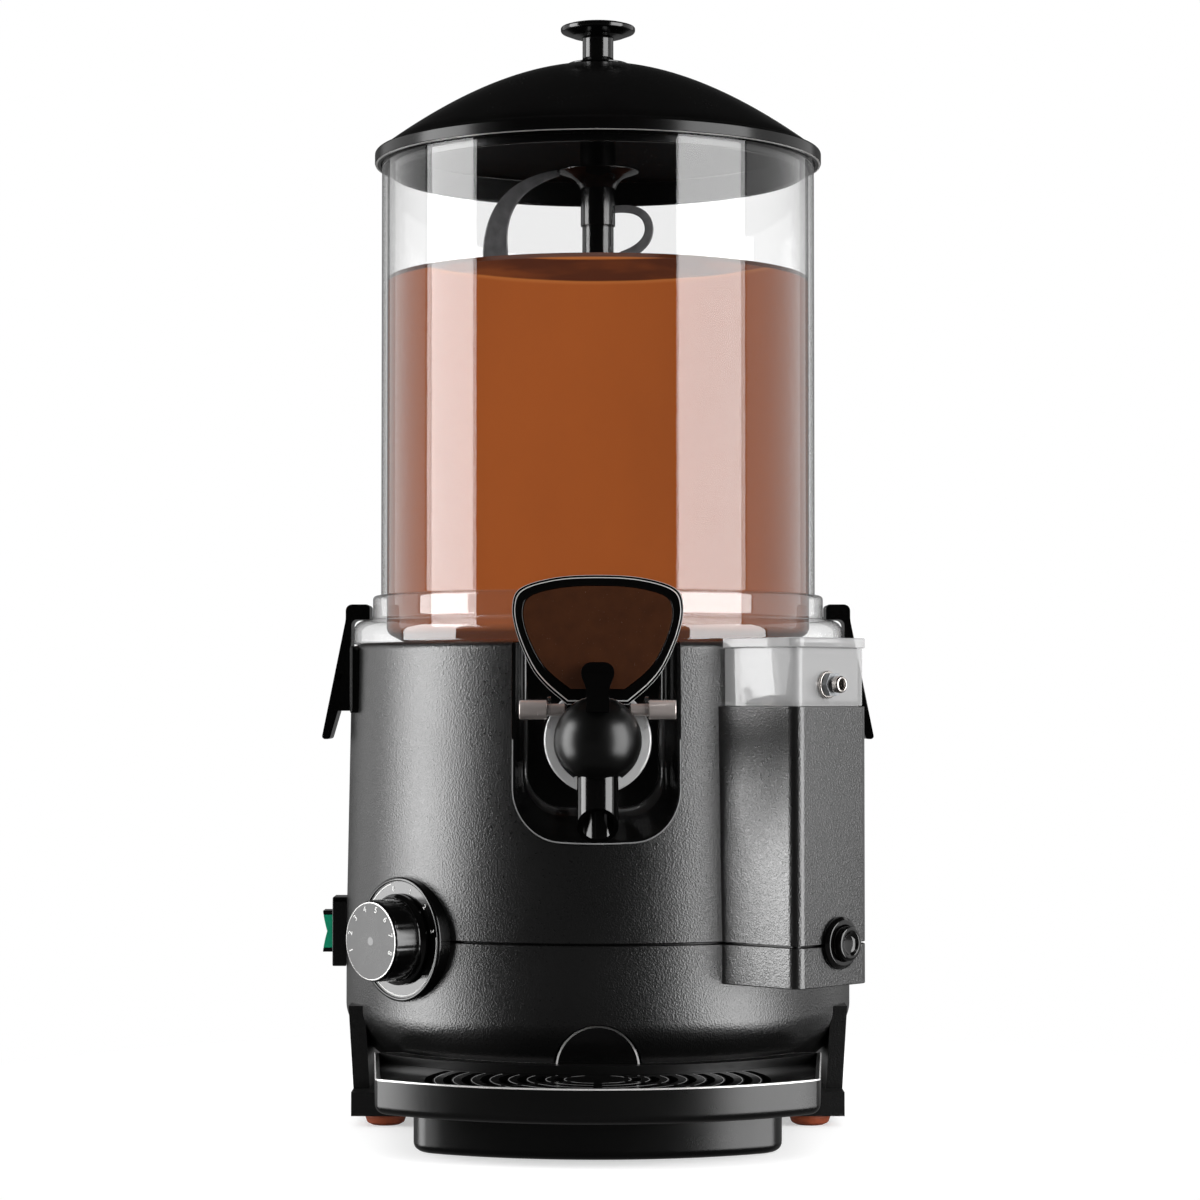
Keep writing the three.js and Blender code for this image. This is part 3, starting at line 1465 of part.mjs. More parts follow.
function latchLever() {
  const bend = flangeTop + seatGap;
  const clear = flangeRadius + slideGap;
  const profile = roundedPlan([
    [latchTipOuter - latchThickness, latchTip, latchThickness / 3],
    [latchTipOuter, latchTip, latchThickness / 3],
    [latchTopOuter, bend, 0],
    [latchTopOuter, latchTop, hookThickness / 2],
    [hookReach, latchTop, hookThickness / 2],
    [hookReach, bend, 0],
    [clear, bend, 0],
    [clear, deckHeight, 0],
    [latchPivotX - latchBossRadius, latchPivotZ + latchBossRadius, 0],
    [latchPivotX - latchBossRadius, latchPivotZ - latchBossRadius, 0],
  ]);
  const half = latchWidth / 2;
  const hole = latchAxis(rod(latchPinRadius + seatGap, -latchWidth, latchWidth, tinySides));
  return cut(frontal(profile, -half, half, planSteps), hole);
}

function latchPin() {
  const reach = latchWidth / 2 + seatGap + latchEarThickness;
  return plain(latchAxis(rod(latchPinRadius, -reach, reach, tinySides)));
}

function buildLatches() {
  const pieces = [
    ["bracket", latchBracket(), blackShell],
    ["lever", latchLever(), blackGloss],
    ["pin", latchPin(), steel],
  ];
  for (const [piece, geometry, material] of pieces) {
    add(`latch_${piece}_right`, geometry, material);
    add(`latch_${piece}_left`, plain(geometry.clone().scale(-1, 1, 1)), material);
  }
}

// Controls: the thermostat with its bezel and knob, and the rocker switch, each drawn facing the front
function dialBezel() {
  const front = drumRadius + bezelThickness;
  const throat = dialNeckRadius - dialNeckRadius / 4;
  const ring = revolve([
    [throat, drumRadius - overrun],
    [bezelRadius, drumRadius - overrun],
    [bezelRadius, front - bezelPocket / 2],
    [bezelRadius - bezelPocket / 2, front],
    [dialKnobBackRadius + slideGap * 2, front],
    [dialKnobBackRadius + slideGap, front - bezelPocket / 2],
    [throat, front - bezelPocket / 2],
  ], innerSides);
  return cut(alongY(ring).translate(0, 0, dialHeight), housingFrom(dialAzimuth, seatGap));
}

function dialKnob() {
  const back = drumRadius + bezelThickness - bezelPocket / 2 + seatGap;
  const front = back + dialKnobLength;
  const body = revolve([
    [spindleRadius + seatGap, back],
    [dialKnobBackRadius, back],
    [dialKnobBackRadius, back + bezelPocket],
    [knobRadius, back + bezelPocket * 1.6],
    [knobRadius - knobGripDepth, front - knobGripDepth * 3],
    [knobRadius - knobGripDepth * 4, front],
    [0, front],
    [0, back + spindleLength],
    [spindleRadius + seatGap, back + spindleLength],
  ], knobGripCount);
  const mark = block(-knobGripDepth, knobGripDepth, -front - overrun, -front + knobGripDepth,
    knobRadius / 2, knobRadius);
  return cut(alongY(body), mark).translate(0, 0, dialHeight);
}

function thermostatBody() {
  const face = drumRadius - shellWall - lipWall - slideGap * 2 - bezelThickness;
  const knobBack = drumRadius + bezelThickness - bezelPocket / 2 + seatGap;
  const neck = dialNeckRadius - dialNeckRadius / 4 - seatGap;
  return plain(alongY(revolve([
    [0, face - thermostatDepth],
    [thermostatRadius, face - thermostatDepth],
    [thermostatRadius, face],
    [neck, face],
    [neck, knobBack - slideGap],
    [spindleRadius, knobBack - slideGap],
    [spindleRadius, knobBack + spindleLength - slideGap],
    [0, knobBack + spindleLength - slideGap],
  ], smallSides)).translate(0, 0, dialHeight));
}

function switchFrame() {
  const front = drumRadius + switchProud;
  const halfWidth = switchFrameWidth / 2;
  const [low, high] = [switchHeight - switchFrameHeight / 2, switchHeight + switchFrameHeight / 2];
  const edge = bezelPocket + seatGap;
  const rim = roundedPlan([
    [-halfWidth, low, bezelPocket], [halfWidth, low, bezelPocket],
    [halfWidth, high, bezelPocket], [-halfWidth, high, bezelPocket],
  ]);
  const outer = frontal(rim, drumRadius - overrun, front, planSteps);
  const trimmed = cut(outer, housingFrom(switchAzimuth, seatGap));
  const body = block(-halfWidth + edge, halfWidth - edge, -front + bezelPocket, -drumRadius + switchBodyDepth,
    low + edge, high - edge);
  const [wellHalf, wellHigh] = [rockerWidth / 2 + slideGap, rockerHeight / 2 + slideGap];
  const well = block(-wellHalf, wellHalf, -front - overrun, -drumRadius + switchBodyDepth / 2,
    switchHeight - wellHigh, switchHeight + wellHigh);
  return cut(join(trimmed, body), well);
}

// The rocker: its front has two slopes that meet at a dip, and it turns on an axis behind the frame's face
function switchRocker() {
  const front = drumRadius + switchProud + rockerProud;
  const back = drumRadius + switchProud - rockerHeight / 3;
  const half = rockerHeight / 2 - slideGap;
  const plan = planOf([
    [-back, -half * 0.55],
    [-back, half * 0.55],
    [-front + rockerDip, half],
    [-front, half],
    [-front + rockerDip, 0],
    [-front, -half],
    [-front + rockerDip, -half],
  ]);
  const rocker = sideways(plan, -rockerWidth / 2, rockerWidth / 2);
  return plain(rocker.translate(0, 0, switchHeight));
}

function buildControls() {
  const dial = groupAt(dialAzimuth);
  add("dial_bezel", dialBezel(), blackGloss, dial);
  add("dial_knob", dialKnob(), blackGloss, dial);
  add("thermostat_body", thermostatBody(), steel, dial);
  const rocker = groupAt(switchAzimuth);
  add("switch_frame", switchFrame(), blackGloss, rocker);
  add("switch_rocker", switchRocker(), greenRocker, rocker);
}

// Water side, drawn facing the front: a clear container that stands in the box and shows above it
const containerInset = boxWall + slideGap;

function waterWindow() {
  const floor = containerFloor;
  const joint = boxTop + seatGap;
  const high = prism(boxPlan(windowInset), joint, windowTop);
  const low = prism(boxPlan(containerInset), floor, joint + weld);
  const highHollow = prism(boxPlan(windowInset + windowWall), joint + windowWall, windowTop + overrun);
  const lowHollow = prism(boxPlan(containerInset + windowWall), floor + windowWall, joint + overrun);
  const hollow = cut(join(lowHollow, highHollow), drumFrom(boxAzimuth, slideGap + windowWall));
  const spigot = alongY(rod(spigotRadius, heaterRadius + heaterWall * 4, drumRadius + windowWall))
    .translate(0, 0, spigotHeight);
  const spigotBore = alongY(rod(spigotRadius - windowWall / 2, heaterRadius, drumRadius + windowWall * 2))
    .translate(0, 0, spigotHeight);
  const fittingHole = alongY(rod(fittingNeckRadius + seatGap, boxReach - overrun * 2, boxReach + overrun))
    .translate(fittingSide, 0, fittingHeight);
  const container = cut(cut(join(low, high), drumFrom(boxAzimuth, slideGap)), hollow);
  return cut(join(container, spigot), spigotBore, fittingHole);
}

function windowLid() {
  const top = prism(boxPlan(windowInset - windowLidOverhang), windowTop + seatGap, windowLidTop);
  const skirtInset = windowInset + windowWall + seatGap;
  const skirtBottom = windowTop - windowLidSkirt;
  const skirt = prism(boxPlan(skirtInset), skirtBottom, windowTop + seatGap + weld);
  const inside = prism(boxPlan(skirtInset + windowWall), skirtBottom - overrun, windowTop + seatGap);
  const lip = cut(skirt, inside, drumFrom(boxAzimuth, slideGap + windowWall + seatGap));
  return join(cut(top, drumFrom(boxAzimuth, slideGap)), lip);
}

function overflowFitting() {
  const face = boxReach - windowInset + seatGap;
  const inner = face - windowWall - seatGap * 2;
  const fitting = revolve([
    [fittingBore, inner - fittingNutLength / 2],
    [fittingNutRadius * 0.8, inner - fittingNutLength / 2],
    [fittingNutRadius * 0.8, inner],
    [fittingNeckRadius, inner],
    [fittingNeckRadius, face],
    [fittingNutRadius, face],
    [fittingNutRadius, face + fittingNutLength],
    [fittingTipRadius, face + fittingNutLength],
    [fittingTipRadius, face + fittingTipLength],
    [fittingBore, face + fittingTipLength],
  ], smallSides);
  return plain(alongY(fitting).translate(fittingSide, 0, fittingHeight));
}

function drainCollar() {
  const bore = drainPlugRadius + seatGap;
  const neck = drainPlugRadius + drainDish - seatGap;
  const face = boxReach + seatGap;
  return plain(alongY(revolve([
    [bore, boxReach - boxWall - drainDish],
    [neck, boxReach - boxWall - drainDish],
    [neck, face],
    [drainRadius, face],
    [drainRadius, face + drainLength / 2],
    [drainRadius - drainLength / 2, face + drainLength],
    [bore, face + drainLength],
  ], innerSides)).translate(drainSide, 0, drainHeight));
}

function drainPlug() {
  const back = boxReach - boxWall - drainDish;
  const front = boxReach + drainPlugLength;
  return plain(alongY(revolve([
    [0, back],
    [drainPlugRadius, back],
    [drainPlugRadius, front - drainDish],
    [drainPlugRadius - drainDish / 2, front],
    [drainPlugRadius - drainDish, front],
    [drainPlugRadius / 2, front - drainDish * 0.8],
    [0, front - drainDish],
  ], innerSides)).translate(drainSide, 0, drainHeight));
}

function buildWaterSide() {
  const side = groupAt(boxAzimuth);
  add("water_window", waterWindow(), clearPlastic, side);
  add("window_lid", windowLid(), clearPlastic, side);
  add("overflow_fitting", overflowFitting(), steel, side);
  add("drain_collar", drainCollar(), blackShell, side);
  add("drain_plug", drainPlug(), blackGloss, side);
}

// Drip tray: a rim whose front is an arc, round a basin that stands on the table
const frontSagitta = trayFront - trayFrontCornerY;
const frontArc = (trayFrontCornerX ** 2 + frontSagitta ** 2) / (frontSagitta * 2);
const frontArcCentre = trayFront - frontArc;

function arcedPlan({ cornerX, frontShift, backArc, backX, backY, round, inset }) {
  const radius = frontArc - inset;
  const frontHalf = Math.asin((cornerX - inset) / radius);
  const keep = frontHalf - round / radius;
  const shift = frontShift - frontArcCentre;
  const front = arcPoints(radius, keep, -keep, arcSteps).map(([x, y]) => [x, y + shift, 0]);
  const corner = [radius * Math.sin(frontHalf), -radius * Math.cos(frontHalf) + shift, round];
  const rear = backArc + inset;
  const rearX = Math.min(backX - inset, Math.sqrt(rear ** 2 - (backY + inset) ** 2));
  const rearY = Math.sqrt(rear ** 2 - rearX ** 2);
  const rearHalf = Math.atan2(rearX, rearY);
  const back = arcPoints(rear, -rearHalf, rearHalf, arcSteps).map(([x, y]) => [x, y, 0]);
  const horn = backX - inset > rearX ? [[backX - inset, -(backY + inset), 0]] : [];
  const mirror = ([x, y, r]) => [-x, y, r];
  return roundedPlan([...back, ...horn, corner, ...front, mirror(corner), ...horn.map(mirror)]);
}

const rimPlan = (inset) => arcedPlan({
  cornerX: trayFrontCornerX,
  frontShift: 0,
  backArc: trayBackArc,
  backX: trayBackCornerX,
  backY: trayBackCornerY,
  round: trayCorner,
  inset,
});

// The well inside the rim: its back lies clear of the drum above, so that the grille lifts straight out
const wellPlan = (inset) => arcedPlan({
  cornerX: trayFrontCornerX,
  frontShift: 0,
  backArc: drumRadius + grilleLiftGap - trayWall,
  backX: trayBackCornerX,
  backY: trayBackCornerY,
  round: trayCorner,
  inset,
});

const basinPlan = (inset) => arcedPlan({
  cornerX: basinHalfWidth,
  frontShift: basinInsetFront,
  backArc: basinBackArc,
  backX: basinHalfWidth,
  backY: 0,
  round: basinCorner,
  inset,
});

function dripTray() {
  const edge = trayWall * 2;
  const rim = loft([
    ringAt(rimPlan(edge), trayShelf),
    ringAt(rimPlan(edge / 4), trayShelf + edge / 4),
    ringAt(rimPlan(0), trayShelf + edge),
    ringAt(rimPlan(0), trayRimHeight),
  ]);
  const basin = loft([
    ringAt(basinPlan(edge), 0),
    ringAt(basinPlan(edge / 4), edge / 4),
    ringAt(basinPlan(0), edge),
    ringAt(basinPlan(0), trayShelf + weld),
  ]);
  const above = trayRimHeight + overrun;
  return cut(
    join(rim, basin, tongue()),
    prism(basinPlan(trayWall), trayWall, trayRimHeight, cornerSteps),
    prism(wellPlan(trayWall + ledgeWidth), trayShelf + trayWall, above, cornerSteps),
    prism(wellPlan(trayWall), ledgeHeight, above, cornerSteps),
  );
}

// The arched tongue on the tray's back edge, which stands in the notch of the bowl
function tongue() {
  const root = trayBackArc - weld;
  const arch = alongY(rod(tongueRadius, root, root + tongueThickness, innerSides));
  const low = trayRimHeight - trayWall * 2;
  return overlap(arch.translate(0, 0, tongueCentre), housingAbove(low));
}

// The grille: slots in rings round the place of the cup, crossed by bars
function dripGrille() {
  const bottom = ledgeHeight + seatGap;
  const top = bottom + grilleThickness;
  const inset = trayWall + seatGap * 2;
  const plate = prism(wellPlan(inset), bottom, top, cornerSteps);
  const rings = Array.from({ length: ringCount }, (_, i) => {
    const inner = ringInner + ringStep * i;
    return pipe(inner, inner + ringSlot, bottom - overrun, top + overrun, smallSides + i * 2);
  });
  const [low, high] = [bottom - overrun * 2, top + overrun * 2];
  const bar = block(-spokeWidth / 2, spokeWidth / 2, -trayFront, trayFront, low, high);
  const bars = Array.from({ length: spokeCount }, (_, i) => atAzimuth(bar, (180 * i) / spokeCount));
  const pattern = cut(join(...rings), ...bars).translate(0, -tapY, 0);
  const field = prism(wellPlan(inset + ledgeWidth * 2), bottom - overrun, top + overrun, cornerSteps);
  return cut(plate, overlap(pattern, field));
}

function buildTray() {
  add("drip_tray", dripTray(), blackGloss);
  add("drip_grille", dripGrille(), blackGloss);
}

buildHousing();
buildVessel();
buildTap();
buildLatches();
buildControls();
buildWaterSide();
buildTray();

// The origin goes under the middle of the whole box
const rearReach = drumRadius + seatGap + glandLength;
machine.position.y = (trayFront - rearReach) / 2;

export default machine;
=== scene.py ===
# %% [markdown]
# # A hot chocolate dispenser, dressed in Blender
#
# The machine is a black housing with a clear vessel on it. The CAD model already says where every piece is,
# so this script only makes the surfaces that people look at: fine round forms, soft edges, clear plastic,
# grained plastic, brushed steel and the drink itself.
#
# The imported model is loaded first. Its pieces are moved into world coordinates, so that their boxes can be
# measured. Nothing made here may stand outside it.

# %% Load the frame
import math

import bmesh
import bpy
from mathutils import Matrix, Vector


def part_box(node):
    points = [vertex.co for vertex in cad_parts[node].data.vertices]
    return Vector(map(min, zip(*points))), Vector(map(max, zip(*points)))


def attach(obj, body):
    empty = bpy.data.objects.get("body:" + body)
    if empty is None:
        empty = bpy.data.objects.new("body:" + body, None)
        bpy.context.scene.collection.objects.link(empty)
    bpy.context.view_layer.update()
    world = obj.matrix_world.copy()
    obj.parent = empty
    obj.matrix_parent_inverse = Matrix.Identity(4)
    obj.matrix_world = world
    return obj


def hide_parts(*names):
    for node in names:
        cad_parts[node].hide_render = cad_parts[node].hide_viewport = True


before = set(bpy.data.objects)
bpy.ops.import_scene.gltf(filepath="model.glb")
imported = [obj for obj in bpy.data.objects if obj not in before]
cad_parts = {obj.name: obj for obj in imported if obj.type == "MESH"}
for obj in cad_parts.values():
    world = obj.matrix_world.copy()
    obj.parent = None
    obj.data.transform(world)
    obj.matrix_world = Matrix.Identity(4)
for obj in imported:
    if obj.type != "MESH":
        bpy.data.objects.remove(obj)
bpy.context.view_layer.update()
MM = 0.001

# %% [markdown]
# Every round piece shares the vessel's upright axis. It could be typed in as two numbers, but measuring it
# keeps this script true to the model: the lid is a full turn round that axis, so the middle of its box
# gives it. All later sizes are millimetres from the axis, with the front towards -Y.

# %% Find the axis
lid_low, lid_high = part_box("lid")
AXIS = (lid_low + lid_high) / 2
AXIS.z = 0
print("vessel axis at", tuple(round(v, 4) for v in AXIS))


def node_mm(name):
    """The lowest and highest corner of a CAD node, in millimetres from the vessel's axis."""
    low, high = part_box(name)
    return (low - AXIS) / MM, (high - AXIS) / MM


# %% [markdown]
# ## Camera
#
# A photographer stands well back from a product and tilts the camera a little. A camera could be placed by
# eye, but then the edges would not fall where they do in the picture. The distance, height and tilt were
# worked out from how the machine's circles flatten between its lid and its tray.

# %% Camera
CAMERA_DISTANCE = 1.7476
CAMERA_HEIGHT = 0.2185
CAMERA_TILT = math.radians(1.727)
CAMERA_SIDE = 0.0011
SENSOR = 36
FOCAL_PIXELS = 3268.6
PHOTO_PIXELS = 1200

camera_data = bpy.data.cameras.new("camera")
camera_data.sensor_width = SENSOR
camera_data.lens = FOCAL_PIXELS / PHOTO_PIXELS * SENSOR
camera = bpy.data.objects.new("camera", camera_data)
camera.location = AXIS + Vector((CAMERA_SIDE, -CAMERA_DISTANCE, CAMERA_HEIGHT))
camera.rotation_euler = (math.pi / 2 + CAMERA_TILT, 0, 0)
bpy.context.scene.collection.objects.link(camera)
bpy.context.scene.camera = camera
bpy.context.scene.view_settings.view_transform = "Standard"
print("lens", round(camera_data.lens, 1), "mm")

# %% [markdown]
# ## Shader maths
#
# A material's pattern is easier to read as a sum than as boxes and wires. It could be built in the node
# editor, or with one call for every box. Here `Wire` wraps one socket, and adding or multiplying wires adds
# the Math nodes. `Paint.node` makes any other node.

# %% Wires and paint
class Wire:
    """A socket that can be used in sums."""

    def __init__(self, paint, socket):
        self.paint = paint
        self.socket = socket

    def math(self, operation, first, second):
        return self.paint.node("Math", {"operation": operation}, {0: first, 1: second})

    def __add__(self, other):
        return self.math("ADD", self, other)

    def __radd__(self, other):
        return self.math("ADD", other, self)

    def __sub__(self, other):
        return self.math("SUBTRACT", self, other)

    def __rsub__(self, other):
        return self.math("SUBTRACT", other, self)

    def __mul__(self, other):
        return self.math("MULTIPLY", self, other)

    def __rmul__(self, other):
        return self.math("MULTIPLY", other, self)

    def __pow__(self, other):
        return self.math("POWER", self, other)


class Paint:
    """A node tree under construction, with one Principled shader unless it is a world."""

    def __init__(self, name, base=(0.5, 0.5, 0.5), rough=0.5, metal=0.0, **constants):
        self.material = bpy.data.materials.new(name)
        self.material.use_nodes = True
        self.tree = self.material.node_tree
        self.shader = self.tree.nodes["Principled BSDF"]
        self.output = self.tree.nodes["Material Output"]
        self.set("Base Color", (*base, 1))
        self.set("Roughness", rough)
        self.set("Metallic", metal)
        for socket, value in constants.items():
            self.set(socket.replace("_", " "), value)
        print("material", name)

    def node(self, kind, settings=None, sockets=None, output=0):
        made = self.tree.nodes.new("ShaderNode" + kind)
        for key, value in (settings or {}).items():
            setattr(made, key, value)
        for key, value in (sockets or {}).items():
            self.feed(made.inputs[key], value)
        return Wire(self, made.outputs[output])

    def feed(self, socket, value):
        if isinstance(value, Wire):
            self.tree.links.new(value.socket, socket)
        else:
            socket.default_value = value

    def set(self, socket, value):
        self.feed(self.shader.inputs[socket], value)

    def place(self, stretch=(1, 1, 1)):
        """Positions in metres in the machine's own frame, stretched by a factor along each direction."""
        here = self.node("TexCoord", output=3)
        return self.node("VectorMath", {"operation": "MULTIPLY"}, {0: here, 1: stretch})

    def noise(self, size, detail=2, stretch=(1, 1, 1)):
        """Soft random values round 0.5, whose blots are about size metres wide."""
        sockets = {"Vector": self.place(stretch), "Scale": 1 / size, "Detail": detail}
        return self.node("TexNoise", sockets=sockets)

    def cells(self, size):
        """The distance from the nearest of many scattered points, size metres apart."""
        return self.node("TexVoronoi", sockets={"Vector": self.place(), "Scale": 1 / size})

    def ramp(self, value, low, high, from_value=0.0, to_value=1.0):
        """from_value below low, to_value above high, and a smooth step between them."""
        settings = {"interpolation_type": "SMOOTHSTEP"}
        limits = {"From Min": low, "From Max": high, "To Min": from_value, "To Max": to_value}
        return self.node("MapRange", settings, {"Value": value, **limits})

    def blend(self, share, first, second):
        """A colour wire or a plain colour at share 0, and another at share 1."""
        colours = [c if isinstance(c, Wire) else (*c, 1) for c in (first, second)]
        sockets = {"Factor": share, 6: colours[0], 7: colours[1]}
        return self.node("Mix", {"data_type": "RGBA"}, sockets, output=2)

    def bump(self, height, depth, strength=1.0):
        """Dents and bumps of a depth in metres, from a height between 0 and 1."""
        sockets = {"Height": height, "Distance": depth, "Strength": strength}
        self.set("Normal", self.node("Bump", sockets=sockets))


def srgb(red, green, blue):
    """The linear colour of a colour picked from a screen, each share 0 to 255."""
    shares = [value / 255 for value in (red, green, blue)]
    return tuple(((v + 0.055) / 1.055) ** 2.4 if v > 0.04 else v / 12.92 for v in shares)


# %% [markdown]
# ## Studio
#
# Two tall softboxes stand left and right of the machine. A picture of a studio wrapped round the scene
# could light it too, but lamps with known edges put the reflections in the right place. The bright bands on
# the vessel tell where they stand: a band at one bearing on a cylinder mirrors what stands at twice that
# bearing. Two much weaker ones stand further round, towards the back.

# %% Softboxes
LAMP_DISTANCE = 1.5


def softbox(name, from_azimuth, to_azimuth, bottom, top, radiance):
    """A tall lamp that spans two bearings seen from the machine, 0 being the camera's and + to its right."""
    middle = math.radians((from_azimuth + to_azimuth) / 2)
    width = 2 * LAMP_DISTANCE * math.tan(math.radians(to_azimuth - from_azimuth) / 2)
    lamp = bpy.data.lights.new(name, "AREA")
    lamp.shape = "RECTANGLE"
    lamp.size = width
    lamp.size_y = top - bottom
    lamp.energy = radiance * math.pi * lamp.size * lamp.size_y
    lamp_object = bpy.data.objects.new(name, lamp)
    direction = Vector((math.sin(middle), -math.cos(middle), 0))
    lamp_object.location = AXIS + direction * LAMP_DISTANCE + Vector((0, 0, (bottom + top) / 2))
    lamp_object.rotation_euler = (-direction).to_track_quat("-Z", "Y").to_euler()
    lamp_object.visible_camera = False
    bpy.context.scene.collection.objects.link(lamp_object)
    return lamp_object


SOFTBOXES = [
    softbox("softbox_left", -98, -66, -0.6, 1.25, 7.6),
    softbox("softbox_right", 41, 80.5, -0.6, 1.25, 6.6),
    softbox("softbox_left_back", -141, -100, -0.1, 1.25, 0.8),
    softbox("softbox_right_back", 82, 140, -0.1, 1.25, 0.8),
]
print("softboxes", len(SOFTBOXES))

# %% [markdown]
# ## World and floor
#
# The camera sees plain white round the machine, also through the clear walls. Shiny surfaces must not see
# that white, or the black housing would look grey. So the Light Path node tells the kinds of rays apart.
# Mirrors see a dim studio: nearly black on the side of the camera and above, and grey low down at the back.

# %% World
WORLD_LIGHT = 0.95
FRONT_GREY = 0.006
BACK_GREY = 0.12
ABOVE = 0.12

world = bpy.data.worlds.new("studio")
bpy.context.scene.world = world
world.use_nodes = True


class WorldPaint(Paint):
    """The world's node tree."""

    def __init__(self, tree):
        self.tree = tree


sky = WorldPaint(world.node_tree)
camera_ray = sky.node("LightPath", output=0)
glossy_ray = sky.node("LightPath", output=3)
clear_ray = sky.node("LightPath", output="Is Transmission Ray")
direction = sky.node("TexCoord", output=0)
behind = sky.node("SeparateXYZ", sockets={0: direction}, output=1)
above = sky.node("SeparateXYZ", sockets={0: direction}, output=2)
mirror_white = sky.ramp(behind, -0.1, 0.75, FRONT_GREY, BACK_GREY) * sky.ramp(above, 0.1, 0.5, 1.0, ABOVE)
seen = camera_ray + clear_ray
strength = seen + glossy_ray * mirror_white + (1 - seen - glossy_ray) * WORLD_LIGHT
background = world.node_tree.nodes["Background"]
sky.feed(background.inputs["Strength"], strength)
background.inputs["Color"].default_value = (1, 1, 1, 1)
print("world", world.name)

# %% [markdown]
# The floor is white and keeps the machine's soft shadow. A plain white plane would turn grey wherever the
# lamps are weak. So the lamps light its own colour, and what the camera sees has some plain white added,
# which makes it as white as the backdrop away from the shadow. Towards its edge it becomes plain white
# altogether. Mirror rays mostly pass through it, down to the dark studio and the lower ends of the lamps.
# This keeps the front of the machine black and its bands long.

# %% Floor
FLOOR_RADIUS = 3.0
FLOOR_SIDES = 96
FLOOR_LIFT = 0.45
FLOOR_FADE = (0.2, 0.42)
FLOOR_PASSES = 0.93

floor_mesh = bpy.data.meshes.new("floor")
floor_form = bmesh.new()
bmesh.ops.create_circle(floor_form, cap_ends=True, segments=FLOOR_SIDES, radius=FLOOR_RADIUS)
floor_form.to_mesh(floor_mesh)
floor_form.free()
floor = bpy.data.objects.new("floor", floor_mesh)
floor.location = AXIS
bpy.context.scene.collection.objects.link(floor)

floor_paint = Paint("floor_white", (0.62, 0.62, 0.62), 0.9, Specular_IOR_Level=0.0)
seen_by_eye = floor_paint.node("LightPath", output=0) + floor_paint.node("LightPath", output=3)
away = floor_paint.node("VectorMath", {"operation": "LENGTH"}, {0: floor_paint.place()}, output=1)
plain_share = floor_paint.ramp(away, *FLOOR_FADE)
lift = floor_paint.node("Emission", sockets={"Strength": seen_by_eye * FLOOR_LIFT})
lit = floor_paint.node("AddShader", sockets={0: Wire(floor_paint, floor_paint.shader.outputs[0]), 1: lift})
white = floor_paint.node("Emission", sockets={"Strength": seen_by_eye})
mixed = floor_paint.node("MixShader", sockets={0: plain_share, 1: lit, 2: white})
in_mirrors = floor_paint.node("LightPath", output=3) * FLOOR_PASSES
passed = floor_paint.node("BsdfTransparent", sockets={"Color": (1, 1, 1, 1)})
floor_surface = floor_paint.node("MixShader", sockets={0: in_mirrors, 1: mixed, 2: passed})
floor_paint.feed(floor_paint.output.inputs["Surface"], floor_surface)
floor_mesh.materials.append(floor_paint.material)
print("floor radius", FLOOR_RADIUS, "m")

# %% [markdown]
# ## Making meshes
#
# Nearly every piece of this machine is turned or extruded. Modelling each by hand would leave uneven
# roundings, so a few helpers make them all. Each one takes millimetres measured from the vessel's axis and
# gives back an object in metres. Corners that should be round carry their radius as a third number, and an
# arc takes their place before the form is made.

# %% Outlines with round corners
ROUND_SIDES = 192
SMALL_SIDES = 64
HOLE_SIDES = 48
FINE_SIDES = 256
ARC_STEPS = 6
TINY = 1e-4
FRONTAL = Matrix.Rotation(math.pi / 2, 4, "X")
SIDEWAYS = Matrix.Rotation(math.pi / 2, 4, "Y")


def fillet(corners, steps=ARC_STEPS):
    """The outline's points, with an arc at each corner that names a radius: (x, y, radius)."""
    outline = []
    for i, corner in enumerate(corners):
        here = Vector(corner[:2])
        if len(corner) == 2:
            outline.append(here)
            continue
        before = (Vector(corners[i - 1][:2]) - here).normalized()
        after = (Vector(corners[(i + 1) % len(corners)][:2]) - here).normalized()
        half = before.angle(after) / 2
        centre = here + (before + after).normalized() * corner[2] / math.sin(half)
        start = here + before * corner[2] / math.tan(half) - centre
        way = math.copysign(math.pi - 2 * half, -before.x * after.y + before.y * after.x)
        outline += [centre + Matrix.Rotation(way * k / steps, 2) @ start for k in range(steps + 1)]
    return outline


def curve(start, pull, end, steps=16):
    """Points of a soft bend from start to end, drawn towards the point pull."""
    ends = [Vector(start), Vector(pull), Vector(end)]
    shares = [k / steps for k in range(steps + 1)]
    return [ends[0] * (1 - t) ** 2 + ends[1] * 2 * t * (1 - t) + ends[2] * t * t for t in shares]


def arc(radius, from_degrees, to_degrees, steps=24):
    """Points on a circle round the axis, measured from the front, positive to the right."""
    angles = [math.radians(from_degrees + (to_degrees - from_degrees) * k / steps) for k in range(steps + 1)]
    return [Vector((radius * math.sin(a), -radius * math.cos(a))) for a in angles]


# %% [markdown]
# The thermostat, the switch and the drain face outwards at some bearing. Each could be drawn in place with
# slanted numbers, but it is easier to draw it along the upright axis. `facing` then tips it outwards: its
# height becomes the distance from the vessel's axis.

# %% Placing
def turned(azimuth):
    return Matrix.Rotation(math.radians(azimuth), 4, "Z")


def facing(azimuth, side=0, height=0):
    return turned(azimuth) @ Matrix.Translation((side, 0, height)) @ FRONTAL


def piece(name, form, place=Matrix()):
    """An object from a bmesh in millimetres, moved to its place in the machine."""
    to_metres = Matrix.Translation(AXIS) @ Matrix.Scale(MM, 4)
    bmesh.ops.transform(form, matrix=to_metres @ place, verts=form.verts)
    bmesh.ops.recalc_face_normals(form, faces=form.faces)
    mesh = bpy.data.meshes.new(name)
    form.to_mesh(mesh)
    form.free()
    made = bpy.data.objects.new(name, mesh)
    bpy.context.scene.collection.objects.link(made)
    return made


